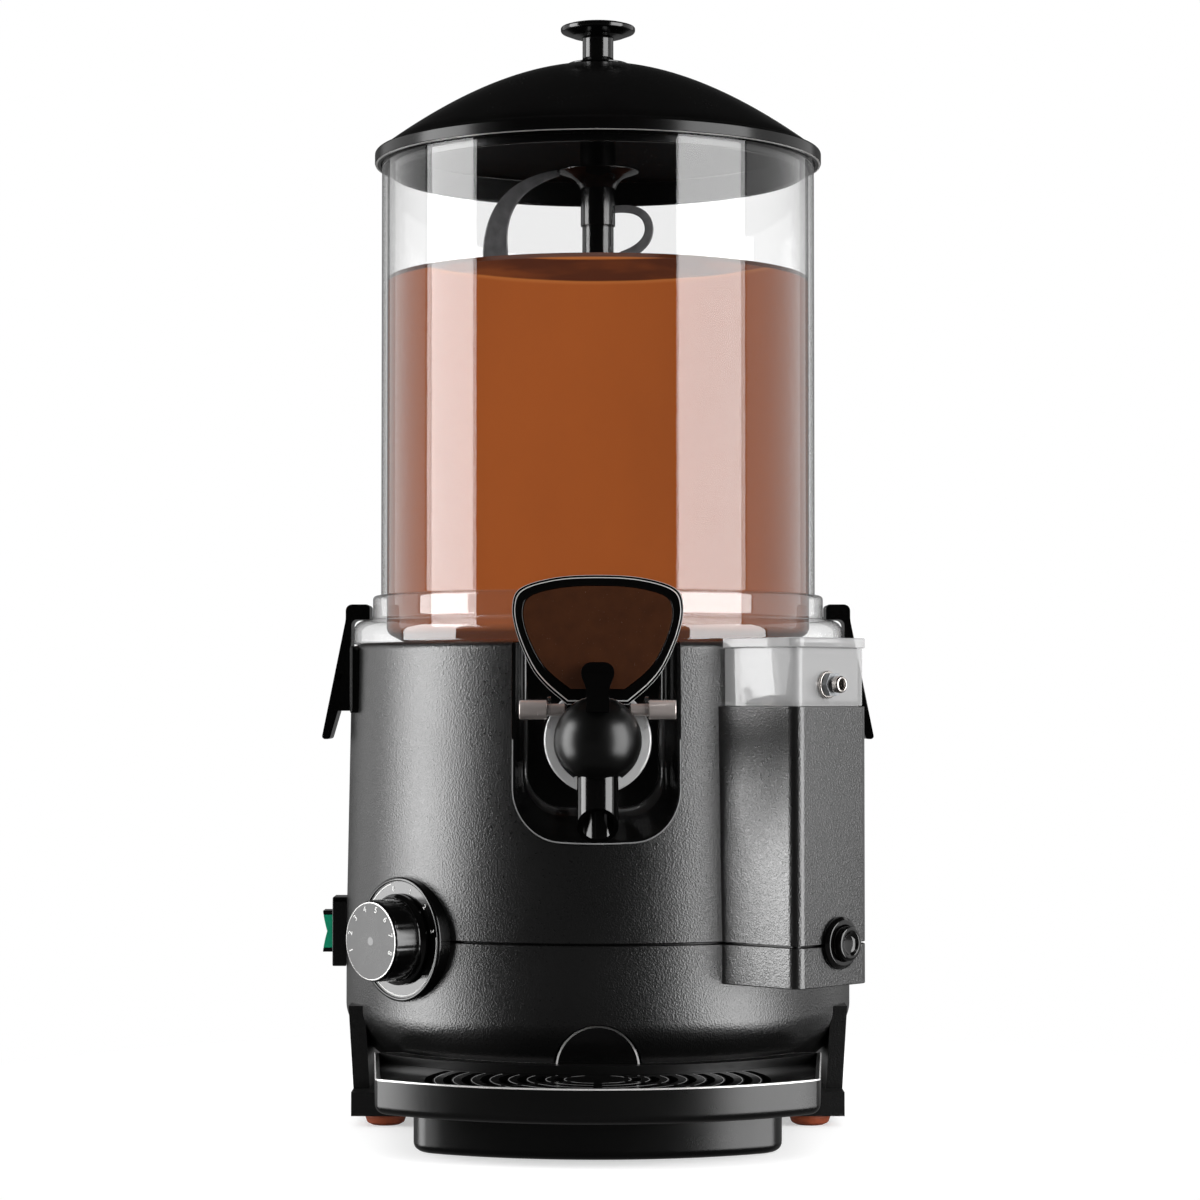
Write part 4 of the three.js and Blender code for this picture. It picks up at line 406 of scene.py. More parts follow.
# %% [markdown]
# A lathe turns a profile of (radius, height) points. Blender's Screw modifier could do it, but making the
# faces directly also gives rings, caps and lofts with the same few lines. A profile that does not touch the
# axis closes on itself and gives a ring. A prism stretches an outline, and a loft joins rings of points
# into one skin.

# %% Turned, extruded and lofted forms
def skin(form, rings, closed):
    """Faces between neighbouring rings; a ring of one point makes a cap."""
    pairs = list(zip(rings, rings[1:] + rings[:1])) if closed else list(zip(rings, rings[1:]))
    for low, high in pairs:
        sides = max(len(low), len(high))
        for i in range(sides):
            j = (i + 1) % sides
            corners = [low[i % len(low)], low[j % len(low)], high[j % len(high)], high[i % len(high)]]
            corners = list(dict.fromkeys(corners))
            if len(corners) > 2:
                form.faces.new(corners)


def lathe(name, profile, sides=ROUND_SIDES, place=Matrix()):
    form = bmesh.new()
    rings = []
    for radius, height in fillet(profile):
        if radius < TINY:
            rings.append([form.verts.new((0, 0, height))])
            continue
        angles = [2 * math.pi * k / sides for k in range(sides)]
        rings.append([form.verts.new((radius * math.cos(a), radius * math.sin(a), height)) for a in angles])
    skin(form, rings, closed=all(len(ring) > 1 for ring in rings))
    return piece(name, form, place)


def rod(name, radius, low, high, sides=HOLE_SIDES, place=Matrix()):
    """A plain cylinder between two heights, mostly to cut a hole."""
    return lathe(name, [(0, low), (radius, low), (radius, high), (0, high)], sides, place)


def loft(name, outlines, place=Matrix(), hollow=False):
    """A body through rings of 3-D points; hollow joins the last ring to the first."""
    form = bmesh.new()
    rings = [[form.verts.new(point) for point in outline] for outline in outlines]
    skin(form, rings, closed=hollow)
    for ring in () if hollow else (rings[0], rings[-1]):
        if len(ring) > 1:
            form.faces.new(ring)
    return piece(name, form, place)


def prism(name, outline, low, high, place=Matrix()):
    """An outline with optional corner radii, stretched from one height to another."""
    points = fillet(outline)
    return loft(name, [[(x, y, z) for x, y in points] for z in (low, high)], place)


def box_outline(x0, x1, y0, y1, radius):
    return [(x0, y0, radius), (x1, y0, radius), (x1, y1, radius), (x0, y1, radius)]


# %% [markdown]
# Real mouldings have holes and round edges. They could be worked into each mesh by hand, but Blender's own
# Boolean and Bevel modifiers do it evenly. They are applied at once, so that the next step works on the
# finished surface. The last helpers give a piece its material and hide the CAD nodes it stands for.

# %% Cutting, rounding and smoothing
def settle(target):
    """Apply every modifier of the object to its mesh."""
    graph = bpy.context.evaluated_depsgraph_get()
    mesh = bpy.data.meshes.new_from_object(target.evaluated_get(graph))
    target.modifiers.clear()
    target.data = mesh


def carve(target, *cutters, operation="DIFFERENCE"):
    for cutter in cutters:
        cut = target.modifiers.new("cut", "BOOLEAN")
        cut.operation = operation
        cut.solver = "EXACT"
        cut.object = cutter
        settle(target)
        bpy.data.objects.remove(cutter)
    return target


def soften(target, width, segments=3, angle=40):
    """Round the edges that are sharper than an angle, by a width in millimetres."""
    bevel = target.modifiers.new("soften", "BEVEL")
    bevel.width = width * MM
    bevel.segments = segments
    bevel.limit_method = "ANGLE"
    bevel.angle_limit = math.radians(angle)
    settle(target)
    return target


def smooth(target, angle=32):
    """Smooth shading up to an angle, in which the large flat faces keep their own direction."""
    target.data.shade_smooth()
    target.data.set_sharp_from_angle(angle=math.radians(angle))
    if "flat faces" not in target.modifiers:
        target.modifiers.new("flat faces", "WEIGHTED_NORMAL").keep_sharp = True
    return target


def dress(target, paint, slot, body, *nodes, angle=32):
    """Give a piece its material, the body that it moves with, and hide the CAD nodes it stands for; the slot
    is not used.
    """
    target.data.materials.clear()
    target.data.materials.append(paint.material)
    smooth(target, angle)
    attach(target, body)
    if nodes:
        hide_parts(*nodes)
    print(target.name, "with", len(target.data.polygons), "faces")
    return target


def spot(name, from_azimuth, to_azimuth, bottom, top, radiance, *targets):
    """A softbox that only lights a few pieces, as a card held close to them would."""
    lamp = softbox(name, from_azimuth, to_azimuth, bottom, top, radiance)
    lit = bpy.data.collections.new(name)
    for target in targets:
        lit.objects.link(target)
    lamp.light_linking.receiver_collection = lit
    lamp.light_linking.blocker_collection = lit
    print(name, "lights", len(targets), "pieces")
    return lamp


def leave_out(lamp, target):
    """Keep a lamp's light off one piece; the lamp still shows in what mirrors it."""
    others = bpy.data.collections.new(lamp.name + "_not_on")
    others.objects.link(target)
    others.collection_objects[0].light_linking.link_state = "EXCLUDE"
    lamp.light_linking.receiver_collection = others


def keep(node, paint, softened=0.0):
    """A CAD node that stays, with a better material and, if asked, softer edges."""
    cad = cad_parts[node]
    for slot in cad.material_slots:
        slot.material = paint.material
    if softened:
        bevel = cad.modifiers.new("soften", "BEVEL")
        bevel.width = softened * MM
        bevel.segments = 3
        bevel.limit_method = "ANGLE"
        bevel.angle_limit = math.radians(35)
        bevel.harden_normals = True
    print("kept", node)
    return cad


# %% [markdown]
# ## Finishes
#
# The housing is moulded in black plastic with a fine leather grain, which scatters light just enough to
# look satin. Real dents would need millions of faces, so the grain is a bump: a cell pattern with fine
# pores over it. Its colour stays nearly even. The lid, the tap and the controls are polished instead, and
# the tray and the ball lie between the two.

# %% Grained and glossy black
def paint_shell():
    paint = Paint("black_shell", rough=0.32, Specular_IOR_Level=1)
    cells = paint.cells(0.001)
    pores = paint.noise(0.0006, detail=2)
    wear = paint.noise(0.05)
    paint.set("Base Color", paint.blend(wear, (0.001, 0.001, 0.001), (0.002, 0.002, 0.002)))
    paint.set("Roughness", 0.31 + 0.08 * (wear - 0.5) - 0.08 * (cells - 0.5))
    paint.bump(cells * 0.6 + pores * 0.6, 0.00028, 0.6)
    return paint


def paint_gloss(name="black_gloss", rough=0.12, shine=0.6):
    """Polished black plastic, with the faint smears that wiping leaves."""
    paint = Paint(name, rough=rough, Specular_IOR_Level=shine)
    smears = paint.noise(0.03, detail=4, stretch=(1, 1, 0.35))
    dust = paint.noise(0.0009, detail=1)
    paint.set("Base Color", paint.blend(smears, (0.0009, 0.0009, 0.0009), (0.0018, 0.00171, 0.001665)))
    paint.set("Roughness", rough * 0.6 + rough * 0.9 * smears + 0.05 * paint.ramp(dust, 0.6, 0.8))
    paint.bump(paint.noise(0.012), 0.00012, 0.25)
    return paint


def paint_satin(name="black_satin", rough=0.3):
    """The black of the tray, the dial's face and the ball: smooth to the touch, but not polished."""
    paint = Paint(name, rough=rough, Specular_IOR_Level=0.45)
    cloud = paint.noise(0.04, detail=3)
    grain = paint.noise(0.0005, detail=2)
    paint.set("Base Color", paint.blend(cloud, (0.001, 0.001, 0.001), (0.002, 0.0019, 0.0018)))
    paint.set("Roughness", rough + 0.14 * (cloud - 0.5) + 0.06 * (grain - 0.5))
    paint.bump(grain, 0.00006, 0.35)
    return paint


shell = paint_shell()
gloss = paint_gloss()
lid_black = paint_gloss("lid_black", 0.2, shine=0.3)
satin = paint_satin()
ball_black = paint_satin("tap_black")

# %% [markdown]
# Clear plastic both shows what is behind it and mirrors the lamps, and it mirrors far more at a grazing
# angle. A glass shader bends the light too, which takes many more samples and hardly shows in thin walls.
# So a Transparent shader is mixed with a mirror. Layer Weight gives the angle alike on the front and the
# back of a wall. Schlick's rule turns it into a share: about four parts in a hundred straight on, and all
# of the light along the surface. Thick or rough walls are also a little milky: haze is the share of light
# that their body scatters, and milk is how pale it is.

# %% Clear plastic
STRAIGHT_ON = 0.035


def paint_clear(name="clear_plastic", tint=0.992, haze=0.0, milk=0.32, straight_on=STRAIGHT_ON):
    paint = Paint(name, (1, 1, 1), 0.03, 1.0)
    grazing = paint.node("LayerWeight", sockets={"Blend": 0.5}, output=1)
    mirror = straight_on + (1 - straight_on) * grazing ** 5
    smears = paint.noise(0.05, detail=3)
    paint.set("Roughness", 0.015 + 0.03 * smears)
    through = paint.node("BsdfTransparent", sockets={"Color": (tint, tint, tint, 1)})
    edge = paint.node("BsdfDiffuse", sockets={"Color": (milk, milk, milk, 1)})
    body = paint.node("MixShader", sockets={0: haze + 0.35 * grazing ** 4, 1: through, 2: edge})
    mirrored = Wire(paint, paint.shader.outputs[0])
    surface = paint.node("MixShader", sockets={0: mirror, 1: body, 2: mirrored})
    paint.feed(paint.output.inputs["Surface"], surface)
    return paint


clear = paint_clear()
window_clear = paint_clear("window_plastic", tint=0.93, haze=0.4, milk=0.5)
thick_clear = paint_clear("thick_clear", haze=0.03, straight_on=0.07)
collar_clear = paint_clear("collar_clear", haze=0.5, milk=0.8, straight_on=0.12)

# %% [markdown]
# Brushed steel is covered with fine scratches in one direction. An anisotropic shader only stretches the
# highlights. Noise that is squeezed hard along one direction draws the scratches themselves, in the
# roughness as well as in the bumps.

# %% Metals
def paint_steel(name, stretch, rough=0.24, base=(0.66, 0.62, 0.59), metal=1.0):
    paint = Paint(name, base, rough, metal)
    scratches = paint.noise(0.0004, detail=3, stretch=stretch)
    patches = paint.noise(0.02)
    dark = tuple(v * 0.82 for v in base)
    paint.set("Base Color", paint.blend(patches, dark, base))
    paint.set("Roughness", rough + 0.22 * (scratches - 0.5))
    paint.bump(scratches, 0.00003, 0.5)
    return paint


steel = paint_steel("steel", (1, 1, 0.05))
steel_pin = paint_steel("steel_pin", (1, 0.06, 0.06), 0.22, (0.64, 0.57, 0.54), metal=0.6)
motor_metal = paint_steel("motor_paint", (0.3, 0.3, 0.3), 0.42, (0.3, 0.31, 0.32))

# %% [markdown]
# Rubber is matt, and its skin is a little uneven. One even colour would look painted, so two close shades
# and fine pores are mixed, by one helper for all the small plastics. The feet are a warm brown, the seals a
# milky white. The thin bright and grey lines on edges are painted highlights, with finishes of their own.

# %% Rubbers and small plastics
def paint_matt(name, dark, light, rough, depth=0.00008):
    paint = Paint(name, dark, rough)
    cloud = paint.noise(0.006, detail=4)
    pores = paint.noise(0.0008, detail=2)
    paint.set("Base Color", paint.blend(cloud, dark, light))
    paint.set("Roughness", rough + 0.15 * (pores - 0.5))
    paint.bump(pores, depth, 0.6)
    return paint


foot_rubber = paint_matt("brown_rubber", srgb(112, 44, 16), srgb(164, 74, 32), 0.62)
silicone = paint_matt("silicone", srgb(205, 200, 190), srgb(226, 222, 214), 0.55)
grey_plastic = paint_matt("grey_plastic", srgb(74, 76, 80), srgb(90, 92, 95), 0.4)
stirrer_plastic = paint_matt("stirrer_plastic", srgb(66, 66, 68), srgb(112, 111, 112), 0.2, depth=0.00004)
insert_plastic = paint_matt("brown_insert", srgb(50, 25, 11), srgb(66, 35, 16), 0.24, depth=0.00003)
green_plastic = paint_matt("green_rocker", srgb(6, 128, 92), srgb(20, 160, 122), 0.16, depth=0.00002)
green_plastic.set("Coat Weight", 0.6)
# Painted highlights: bright and grey lines laid along edges where light catches them.
painted_highlight = paint_steel("painted_highlight", (1, 1, 1), 0.3, (0.78, 0.77, 0.76), metal=0.5)
painted_grey_highlight = paint_matt("painted_grey_highlight", srgb(105, 105, 105), srgb(150, 150, 150), 0.35, depth=0.00002)
mark_white = paint_matt("mark_white", srgb(226, 226, 224), srgb(240, 240, 238), 0.5, depth=0.00002)

# %% [markdown]
# The drink is thick and stirred all the time. A volume could scatter light inside it, but so thick a drink
# shows only its outermost layer, and a surface is enough. Its body is an even milk-chocolate brown with
# slow swirls. Its surface is painted a darker brown, a painted reflection of the dark lid above it, on top
# of its real shine. Only the surface shines: at the sides the drink wets the wall, and two things that
# touch have no air between them to mirror anything. Just under the level the stirrer's waves leave a
# thinner film on the wall. It is painted darker with streaks, as painted shade for the dark inside and the
# stirrer that show through it. It has a pale line along both its edges, and is deepest in front.

# %% Chocolate
LIQUID_LEVEL = 441
FILM_LOW = 428
FILM_RISE = 0.3
LIQUID_FRONT = 112.5


def paint_chocolate():
    paint = Paint("chocolate", srgb(139, 69, 30), 0.2, Specular_IOR_Level=0.35)
    bend = paint.noise(0.05, detail=2)
    swirl = paint.noise(0.03, detail=3, stretch=(1, 1, 0.3))
    height = paint.node("SeparateXYZ", sockets={0: paint.place()}, output=2)
    surface = paint.ramp(height, (LIQUID_LEVEL - 1.2) * MM, (LIQUID_LEVEL - 0.3) * MM)
    body = paint.blend(swirl * 0.7 + bend * 0.3, srgb(156, 78, 26), srgb(170, 88, 34))
    streaks = paint.noise(0.02, detail=3, stretch=(0.35, 0.35, 1.6))
    depth = paint.node("SeparateXYZ", sockets={0: paint.place()}, output=1)
    film_height = height + (streaks - 0.5) * 0.0014 - (depth + LIQUID_FRONT * MM - AXIS.y) * FILM_RISE
    film = paint.ramp(film_height, (FILM_LOW - 0.5) * MM, (FILM_LOW + 0.5) * MM)
    film = film - paint.ramp(film_height, (LIQUID_LEVEL - 2.4) * MM, (LIQUID_LEVEL - 1.4) * MM)
    # The darker film with streaks: painted shade, for the dark inside and the stirrer showing through it.
    shaded_film = film * paint.ramp(streaks, 0.3, 0.62, 0.45, 1.0)
    walls = paint.blend(shaded_film, body, srgb(82, 36, 13))
    near_film = paint.ramp(film_height, (FILM_LOW - 2.2) * MM, FILM_LOW * MM)
    walls = paint.blend(near_film - film, walls, srgb(182, 106, 48))
    # The top surface's darker colour: a painted reflection of the dark lid.
    paint.set("Base Color", paint.blend(surface, walls, srgb(84, 40, 17)))
    paint.set("Roughness", paint.ramp(surface, 0, 1, 0.95, 0.2) + 0.08 * (swirl - 0.5))
    paint.bump(swirl, 0.0006, 0.35)
    return paint


chocolate = paint_chocolate()
print("materials", len(bpy.data.materials))

# %% [markdown]
# ## Housing
#
# The housing is two shells. The upper one is a drum that narrows a little towards the deck, the lower one a
# bowl, and they meet in a thin seam. One closed body with lines drawn on it would be quicker, but a real
# gap has a real shadow. So both are turned here with their walls, and the seam, the tap's recess and the
# vent are openings with an edge.

# %% Sizes of the housing
upper_low, upper_high = node_mm("housing_upper")
lower_low = node_mm("housing_lower")[0]
DECK = upper_high.z
DRUM = -upper_low.x
DRUM_TOP = DRUM - 2.7
SEAM = 97
SEAM_GAP = 0.9
WALL = 2.6
BOWL_EDGE = 58
BOWL_PULL = 46
BOWL_BOTTOM = lower_low.z
BOWL_BOTTOM_RADIUS = DRUM - 18.7
BOWL_OPENING = BOWL_BOTTOM_RADIUS - 14
print("drum radius", round(DRUM, 1), "deck", round(DECK, 1), "bowl from", round(BOWL_BOTTOM, 1))

# %% [markdown]
# The recess for the tap is a scoop in the front of the drum. Its outline has straight sides and large round
# lower corners, and the scoop narrows towards its back wall: the floor rises and the right side leans in. A
# box would cut parallel sides, so rings of the outline are joined from front to back, each a little
# smaller.

# %% Recess outline
RECESS_HALF = 41.4
RECESS_BOTTOM = 148.4
RECESS_BACK = 107
RECESS_CORNER = 22
RECESS_FLOOR_SLOPE = 12
RECESS_LEFT_SLOPE = 2.2
RECESS_RIGHT_SLOPE = 7
RECESS_TURN = 9
LINER_WALL = 2


def recess_ring(distance, grown):
    share = (DRUM - distance) / (DRUM - RECESS_BACK)
    left = -RECESS_HALF + RECESS_LEFT_SLOPE * share - grown
    right = RECESS_HALF - RECESS_RIGHT_SLOPE * share + grown
    bottom = RECESS_BOTTOM + RECESS_FLOOR_SLOPE * share - grown
    top = DECK + 8 - grown
    corner = RECESS_CORNER + grown
    outline = fillet([(left, bottom, corner), (right, bottom, corner), (right, top), (left, top)], steps=14)
    return [(x, -distance, z) for x, z in outline]


def recess_form(name, grown, deeper=0.0):
    """The scoop as a solid, with a soft turn from its sides into its back wall."""
    distances = [DRUM + 12 - grown, RECESS_BACK + RECESS_TURN - deeper]
    rings = [recess_ring(distance, grown) for distance in distances]
    for k in range(1, 7):
        angle = math.pi / 2 * k / 6
        distance = RECESS_BACK + RECESS_TURN * (1 - math.sin(angle)) - deeper
        rings.append(recess_ring(distance, grown - RECESS_TURN * (1 - math.cos(angle)) / 2))
    return loft(name, rings)

# %% [markdown]
# The upper shell is a drum with a wall, open above for the vessel. A cylinder with a Solidify modifier
# would not taper, so its whole profile is turned. The scoop and the opening for the rear vent are then cut
# out of it.

# %% Upper shell
def vent_sector(name, inner, outer, low, high, half_degrees):
    outside = arc(outer, 180 - half_degrees, 180 + half_degrees)
    inside = arc(inner, 180 + half_degrees, 180 - half_degrees)
    return prism(name, outside + inside, low, high)


DECK_HOLE = 105.6
VENT_LOW, VENT_HIGH = (v.z for v in node_mm("rear_vent_panel"))
VENT_HALF = 24

drum = lathe("housing_drum", [
    (DRUM - WALL, SEAM + SEAM_GAP / 2),
    (DRUM, SEAM + SEAM_GAP / 2, 0.6),
    (DRUM_TOP, DECK, 4),
    (DECK_HOLE, DECK, 1),
    (DECK_HOLE, DECK - WALL),
    (DRUM_TOP - WALL, DECK - WALL, 2),
])
carve(
    drum,
    recess_form("recess_hole", LINER_WALL + 0.25, 4),
    vent_sector("vent_hole", DRUM - 12, DRUM + 8, VENT_LOW - 0.3, VENT_HIGH + 0.3, VENT_HALF),
)
dress(drum, shell, "black_shell", "machine", "housing_upper")

# %% [markdown]
# The lower shell curves in to the base. A few straight steps would show as facets against the light, so its
# side is a soft bend of twenty steps. Behind the tray it has an arched notch, which takes the tongue on the
# tray's back edge.

# %% Lower shell
NOTCH_RADIUS = 21.9
NOTCH_HEIGHT = 36

bowl_side = curve((BOWL_BOTTOM_RADIUS, BOWL_BOTTOM), (DRUM, BOWL_PULL), (DRUM, BOWL_EDGE), steps=20)
bowl_inside = curve((BOWL_BOTTOM_RADIUS - WALL, BOWL_BOTTOM + WALL), (DRUM - WALL, BOWL_PULL + WALL),
                    (DRUM - WALL, BOWL_EDGE), steps=20)
bowl = lathe("housing_bowl", [
    *(tuple(p) for p in bowl_side),
    (DRUM, SEAM - SEAM_GAP / 2, 0.6),
    (DRUM - WALL, SEAM - SEAM_GAP / 2),
    *(tuple(p) for p in reversed(bowl_inside)),
    (BOWL_OPENING, BOWL_BOTTOM + WALL),
    (BOWL_OPENING, BOWL_BOTTOM),
])
notch = rod("notch_round", NOTCH_RADIUS, 100, 180, 96, facing(0, 0, NOTCH_HEIGHT))
notch_clip = prism("notch_clip", box_outline(-40, 40, -190, -90, 2), BOWL_BOTTOM + WALL, 90)
carve(notch, notch_clip, operation="INTERSECT")
carve(bowl, notch)
dress(bowl, shell, "black_shell", "machine", "housing_lower")

# %% [markdown]
# A dark band closes the seam from inside, as the lip of the lower shell does on the real machine. Without
# it one would see into the housing. A plain ring is enough, because only a thin line of it shows.

# %% Seam lip
LIP_LOW, LIP_HIGH = SEAM - 8, SEAM + 4
LIP_INNER, LIP_OUTER = DRUM - WALL - 2.4, DRUM - WALL - 0.6

lip = lathe("seam_lip", [
    (LIP_INNER, LIP_LOW), (LIP_OUTER, LIP_LOW), (LIP_OUTER, LIP_HIGH), (LIP_INNER, LIP_HIGH),
])
dress(lip, satin, "black_shell", "machine", "housing_lower")

# %% [markdown]
# The liner is a separate glossy moulding that lines the recess, and its rim stands a little proud of the
# drum. A skin of even thickness could be grown from the scoop, but it must end on the drum's curve. So it
# starts as a thick scoop, is hollowed by a smaller one, and is trimmed to that curve. A second, thinner
# scoop, cut down to a thread along the rim, is the grey line on its edge: a painted highlight.

# %% Recess liner
OUTLET_HEIGHT = 198
OUTLET_RADIUS = 15
LINER_PROUD = 0.8

liner = recess_form("recess_liner_skin", LINER_WALL, LINER_WALL)
carve(liner, recess_form("liner_hollow", 0))
trim = lathe("liner_trim", [
    (0, SEAM), (DRUM + LINER_PROUD, SEAM), (DRUM_TOP + LINER_PROUD, DECK, 4), (0, DECK),
], FINE_SIDES)
carve(liner, trim, operation="INTERSECT")
slot_round = rod("slot_round", OUTLET_RADIUS + 0.6, 90, 112, SMALL_SIDES, facing(0, 0, OUTLET_HEIGHT))
slot_up = prism("slot_up", box_outline(-15.6, 15.6, -112, -90, 0.1), OUTLET_HEIGHT, DECK + 9)
carve(liner, slot_round, slot_up)
soften(liner, 0.5, 2, 50)
dress(liner, gloss, "black_gloss", "machine", "recess_liner", angle=40)

THREAD_OUT, THREAD_IN = LINER_PROUD + 0.05, LINER_PROUD - 0.3


def inside_drum(name, proud):
    """All that lies inside the drum's surface once that has grown by proud."""
    top = DECK - 4
    profile = [(0, SEAM), (DRUM + proud, SEAM), (DRUM_TOP + proud, top), (0, top)]
    return lathe(name, profile, FINE_SIDES)


# A grey thread along the liner's rim: a painted highlight of its edge.
liner_edge = recess_form("liner_edge", LINER_WALL - 0.1)
carve(liner_edge, recess_form("edge_hollow", LINER_WALL - 0.75))
carve(liner_edge, inside_drum("edge_outer", THREAD_OUT), operation="INTERSECT")
carve(liner_edge, inside_drum("edge_inner", THREAD_IN))
carve(liner_edge, prism("edge_top", box_outline(-60, 60, -170, -60, 1), DECK - 5, DECK + 30))
dress(liner_edge, painted_grey_highlight, "steel", "machine", "recess_liner", angle=50)

# %% [markdown]
# ## Vessel, drink and lid
#
# The vessel is one clear moulding: a tube in a thicker socket, a flange that rests on the deck, and a cup
# that hangs through the hole. One surface would be enough for something black, but clear plastic shows both
# sides of its walls, so both are modelled.

# %% Vessel
TUBE = 115.7
TUBE_WALL = 3
TUBE_TOP = node_mm("tank")[1].z
SOCKET = 120
SOCKET_TOP = 273
FLANGE = -node_mm("tank")[0].x
FLANGE_TOP = 260
CUP = 104
CUP_BOTTOM = node_mm("tank")[0].z
SEAT = DECK + 0.3

vessel = lathe("vessel_tube", [
    (TUBE, SOCKET_TOP, 0.8), (TUBE, TUBE_TOP, 1),
    (TUBE - TUBE_WALL, TUBE_TOP, 1), (TUBE - TUBE_WALL, SOCKET_TOP),
], FINE_SIDES)
dress(vessel, clear, "clear_plastic", "machine", "tank", angle=25)
foot_of_vessel = lathe("vessel_foot", [
    (CUP, CUP_BOTTOM, 0.8), (CUP, SEAT, 1), (FLANGE, SEAT, 1.2), (FLANGE, FLANGE_TOP, 6.8),
    (SOCKET, FLANGE_TOP, 2.4), (SOCKET, SOCKET_TOP, 2), (TUBE - TUBE_WALL, SOCKET_TOP),
    (TUBE - TUBE_WALL, SEAT + 6, 5), (CUP - 3, SEAT, 3), (CUP - 3, CUP_BOTTOM, 0.8),
], FINE_SIDES)
dress(foot_of_vessel, thick_clear, "clear_plastic", "machine", "tank", angle=25)

# %% [markdown]
# The outlet leaves the cup in front and ends in a round collar, with two thin lugs that hold the tap's pin.
# The outlet and its collar could be cut from a block, but they are round, so they are turned and tipped
# forwards. The lugs are flat, so they are drawn from the side and bored through.

# %% Outlet, collar and lugs
COLLAR = 26.5
COLLAR_FRONT = 138.5
COLLAR_THICKNESS = 4
BORE = 11.5
PIN_HEIGHT = 213
PIN_DISTANCE = 144
PIN_PLACE = Matrix.Translation((0, -PIN_DISTANCE, PIN_HEIGHT)) @ SIDEWAYS
PIN_HOLE = 3.3
LUG_OUTER = 24.7
LUG_WALL = 1.7

outlet = lathe("outlet", [
    (BORE, CUP + 0.4), (OUTLET_RADIUS, CUP + 0.4), (OUTLET_RADIUS, COLLAR_FRONT - COLLAR_THICKNESS, 2),
    (COLLAR, COLLAR_FRONT - COLLAR_THICKNESS, 1.2), (COLLAR, COLLAR_FRONT, 1.2), (BORE, COLLAR_FRONT, 0.8),
], 96, facing(0, 0, OUTLET_HEIGHT))
dress(outlet, collar_clear, "clear_plastic", "machine", "tank", angle=25)


def side_plate(name, corners, x0, x1):
    """A plate drawn from the side in (y, z), between two distances to the right of the middle."""
    points = fillet(corners)
    return loft(name, [[(x, y, z) for y, z in points] for x in (x0, x1)])


def pin_hole():
    return rod("pin_hole", PIN_HOLE, -40, 40, HOLE_SIDES, PIN_PLACE)


for side, label in ((1, "right"), (-1, "left")):
    lug = side_plate("lug_" + label, [
        (-COLLAR_FRONT - 0.1, 203.7), (-COLLAR_FRONT - 0.1, 219.2, 0.6),
        (-PIN_DISTANCE - 4.6, 220, 4.2), (-PIN_DISTANCE - 4.6, 203.8, 4.2),
    ], side * (LUG_OUTER - LUG_WALL), side * LUG_OUTER)
    carve(lug, pin_hole())
    soften(lug, 0.4, 2)
    dress(lug, thick_clear, "clear_plastic", "machine", "tank")

# %% [markdown]
# The drink fills the vessel up to its level. It clings to the wall, so its rim climbs a little, and the
# surface is nearly flat because the stirrer turns slowly. A simulated liquid would come to rest in the same
# form, so it is turned. It has a lamp of its own, and the softboxes' light is kept off it: they only show
# in the clear wall in front of it.

# %% Drink
LIQUID_RADIUS = TUBE - TUBE_WALL - 0.15
FLOOR_TOP = 189.3

drink = lathe("drink", [
    (0, FLOOR_TOP), (CUP - 3.2, FLOOR_TOP, 1), (CUP - 3.2, SEAT + 0.4, 4), (LIQUID_RADIUS, SEAT + 6.4, 4.6),
    (LIQUID_RADIUS, LIQUID_LEVEL + 1.4), (LIQUID_RADIUS - 0.8, LIQUID_LEVEL + 1.1),
    (LIQUID_RADIUS - 3.4, LIQUID_LEVEL, 3), (60, LIQUID_LEVEL - 0.2, 20), (12, LIQUID_LEVEL, 4),
    (0, LIQUID_LEVEL),
], FINE_SIDES)
dress(drink, chocolate, "brown_insert", "machine", angle=50)
spot("drink_card", -60, 30, -0.05, 1, 1.3, drink)
for lamp in SOFTBOXES:
    leave_out(lamp, drink)

# %% [markdown]
# The lid is a shallow dome with a hanging skirt that fits into the tube and a guide for the stirrer. A
# flattened sphere would be too full at its shoulder, so a soft bend is turned instead. A thin bright line
# under the edge of its rim is a painted highlight.

# %% Lid
LID = 119.5
LID_BOTTOM = node_mm("lid")[0].z
RIM_LOW = 503.6
RIM_TOP = 510.1
DOME_EDGE = (112.5, 514)
DOME_TOP = 558
DOME_SHOULDER = (55, DOME_TOP - 2.3)
GUIDE = 9.5
GUIDE_BORE = 6.5
GUIDE_BOTTOM = 503.5
SKIRT = 111.5

dome_over = curve(DOME_EDGE, DOME_SHOULDER, (8.5, DOME_TOP), steps=32)
dome_under = [p + Vector((-1.6, -2.8)) for p in reversed(dome_over[3:-3])]
lid = lathe("lid_dome", [
    (LID, RIM_LOW, 0.9), (LID, RIM_TOP, 1.6), (LID - 5, RIM_TOP + 1.4, 1.5),
    *(tuple(p) for p in dome_over),
    (GUIDE_BORE, DOME_TOP), (GUIDE_BORE, GUIDE_BOTTOM, 0.5), (GUIDE, GUIDE_BOTTOM, 0.8),
    (GUIDE, DOME_TOP - 4.6, 3),
    *(tuple(p) for p in dome_under),
    (SKIRT - 3, 512.6, 1), (SKIRT - 3, LID_BOTTOM, 0.8), (SKIRT, LID_BOTTOM, 0.8),
    (SKIRT, TUBE_TOP + 0.3, 0.5), (TUBE + 0.6, TUBE_TOP + 0.3), (TUBE + 0.6, RIM_LOW, 0.3),
], FINE_SIDES)
dress(lid, lid_black, "black_gloss", "lid", "lid", angle=30)
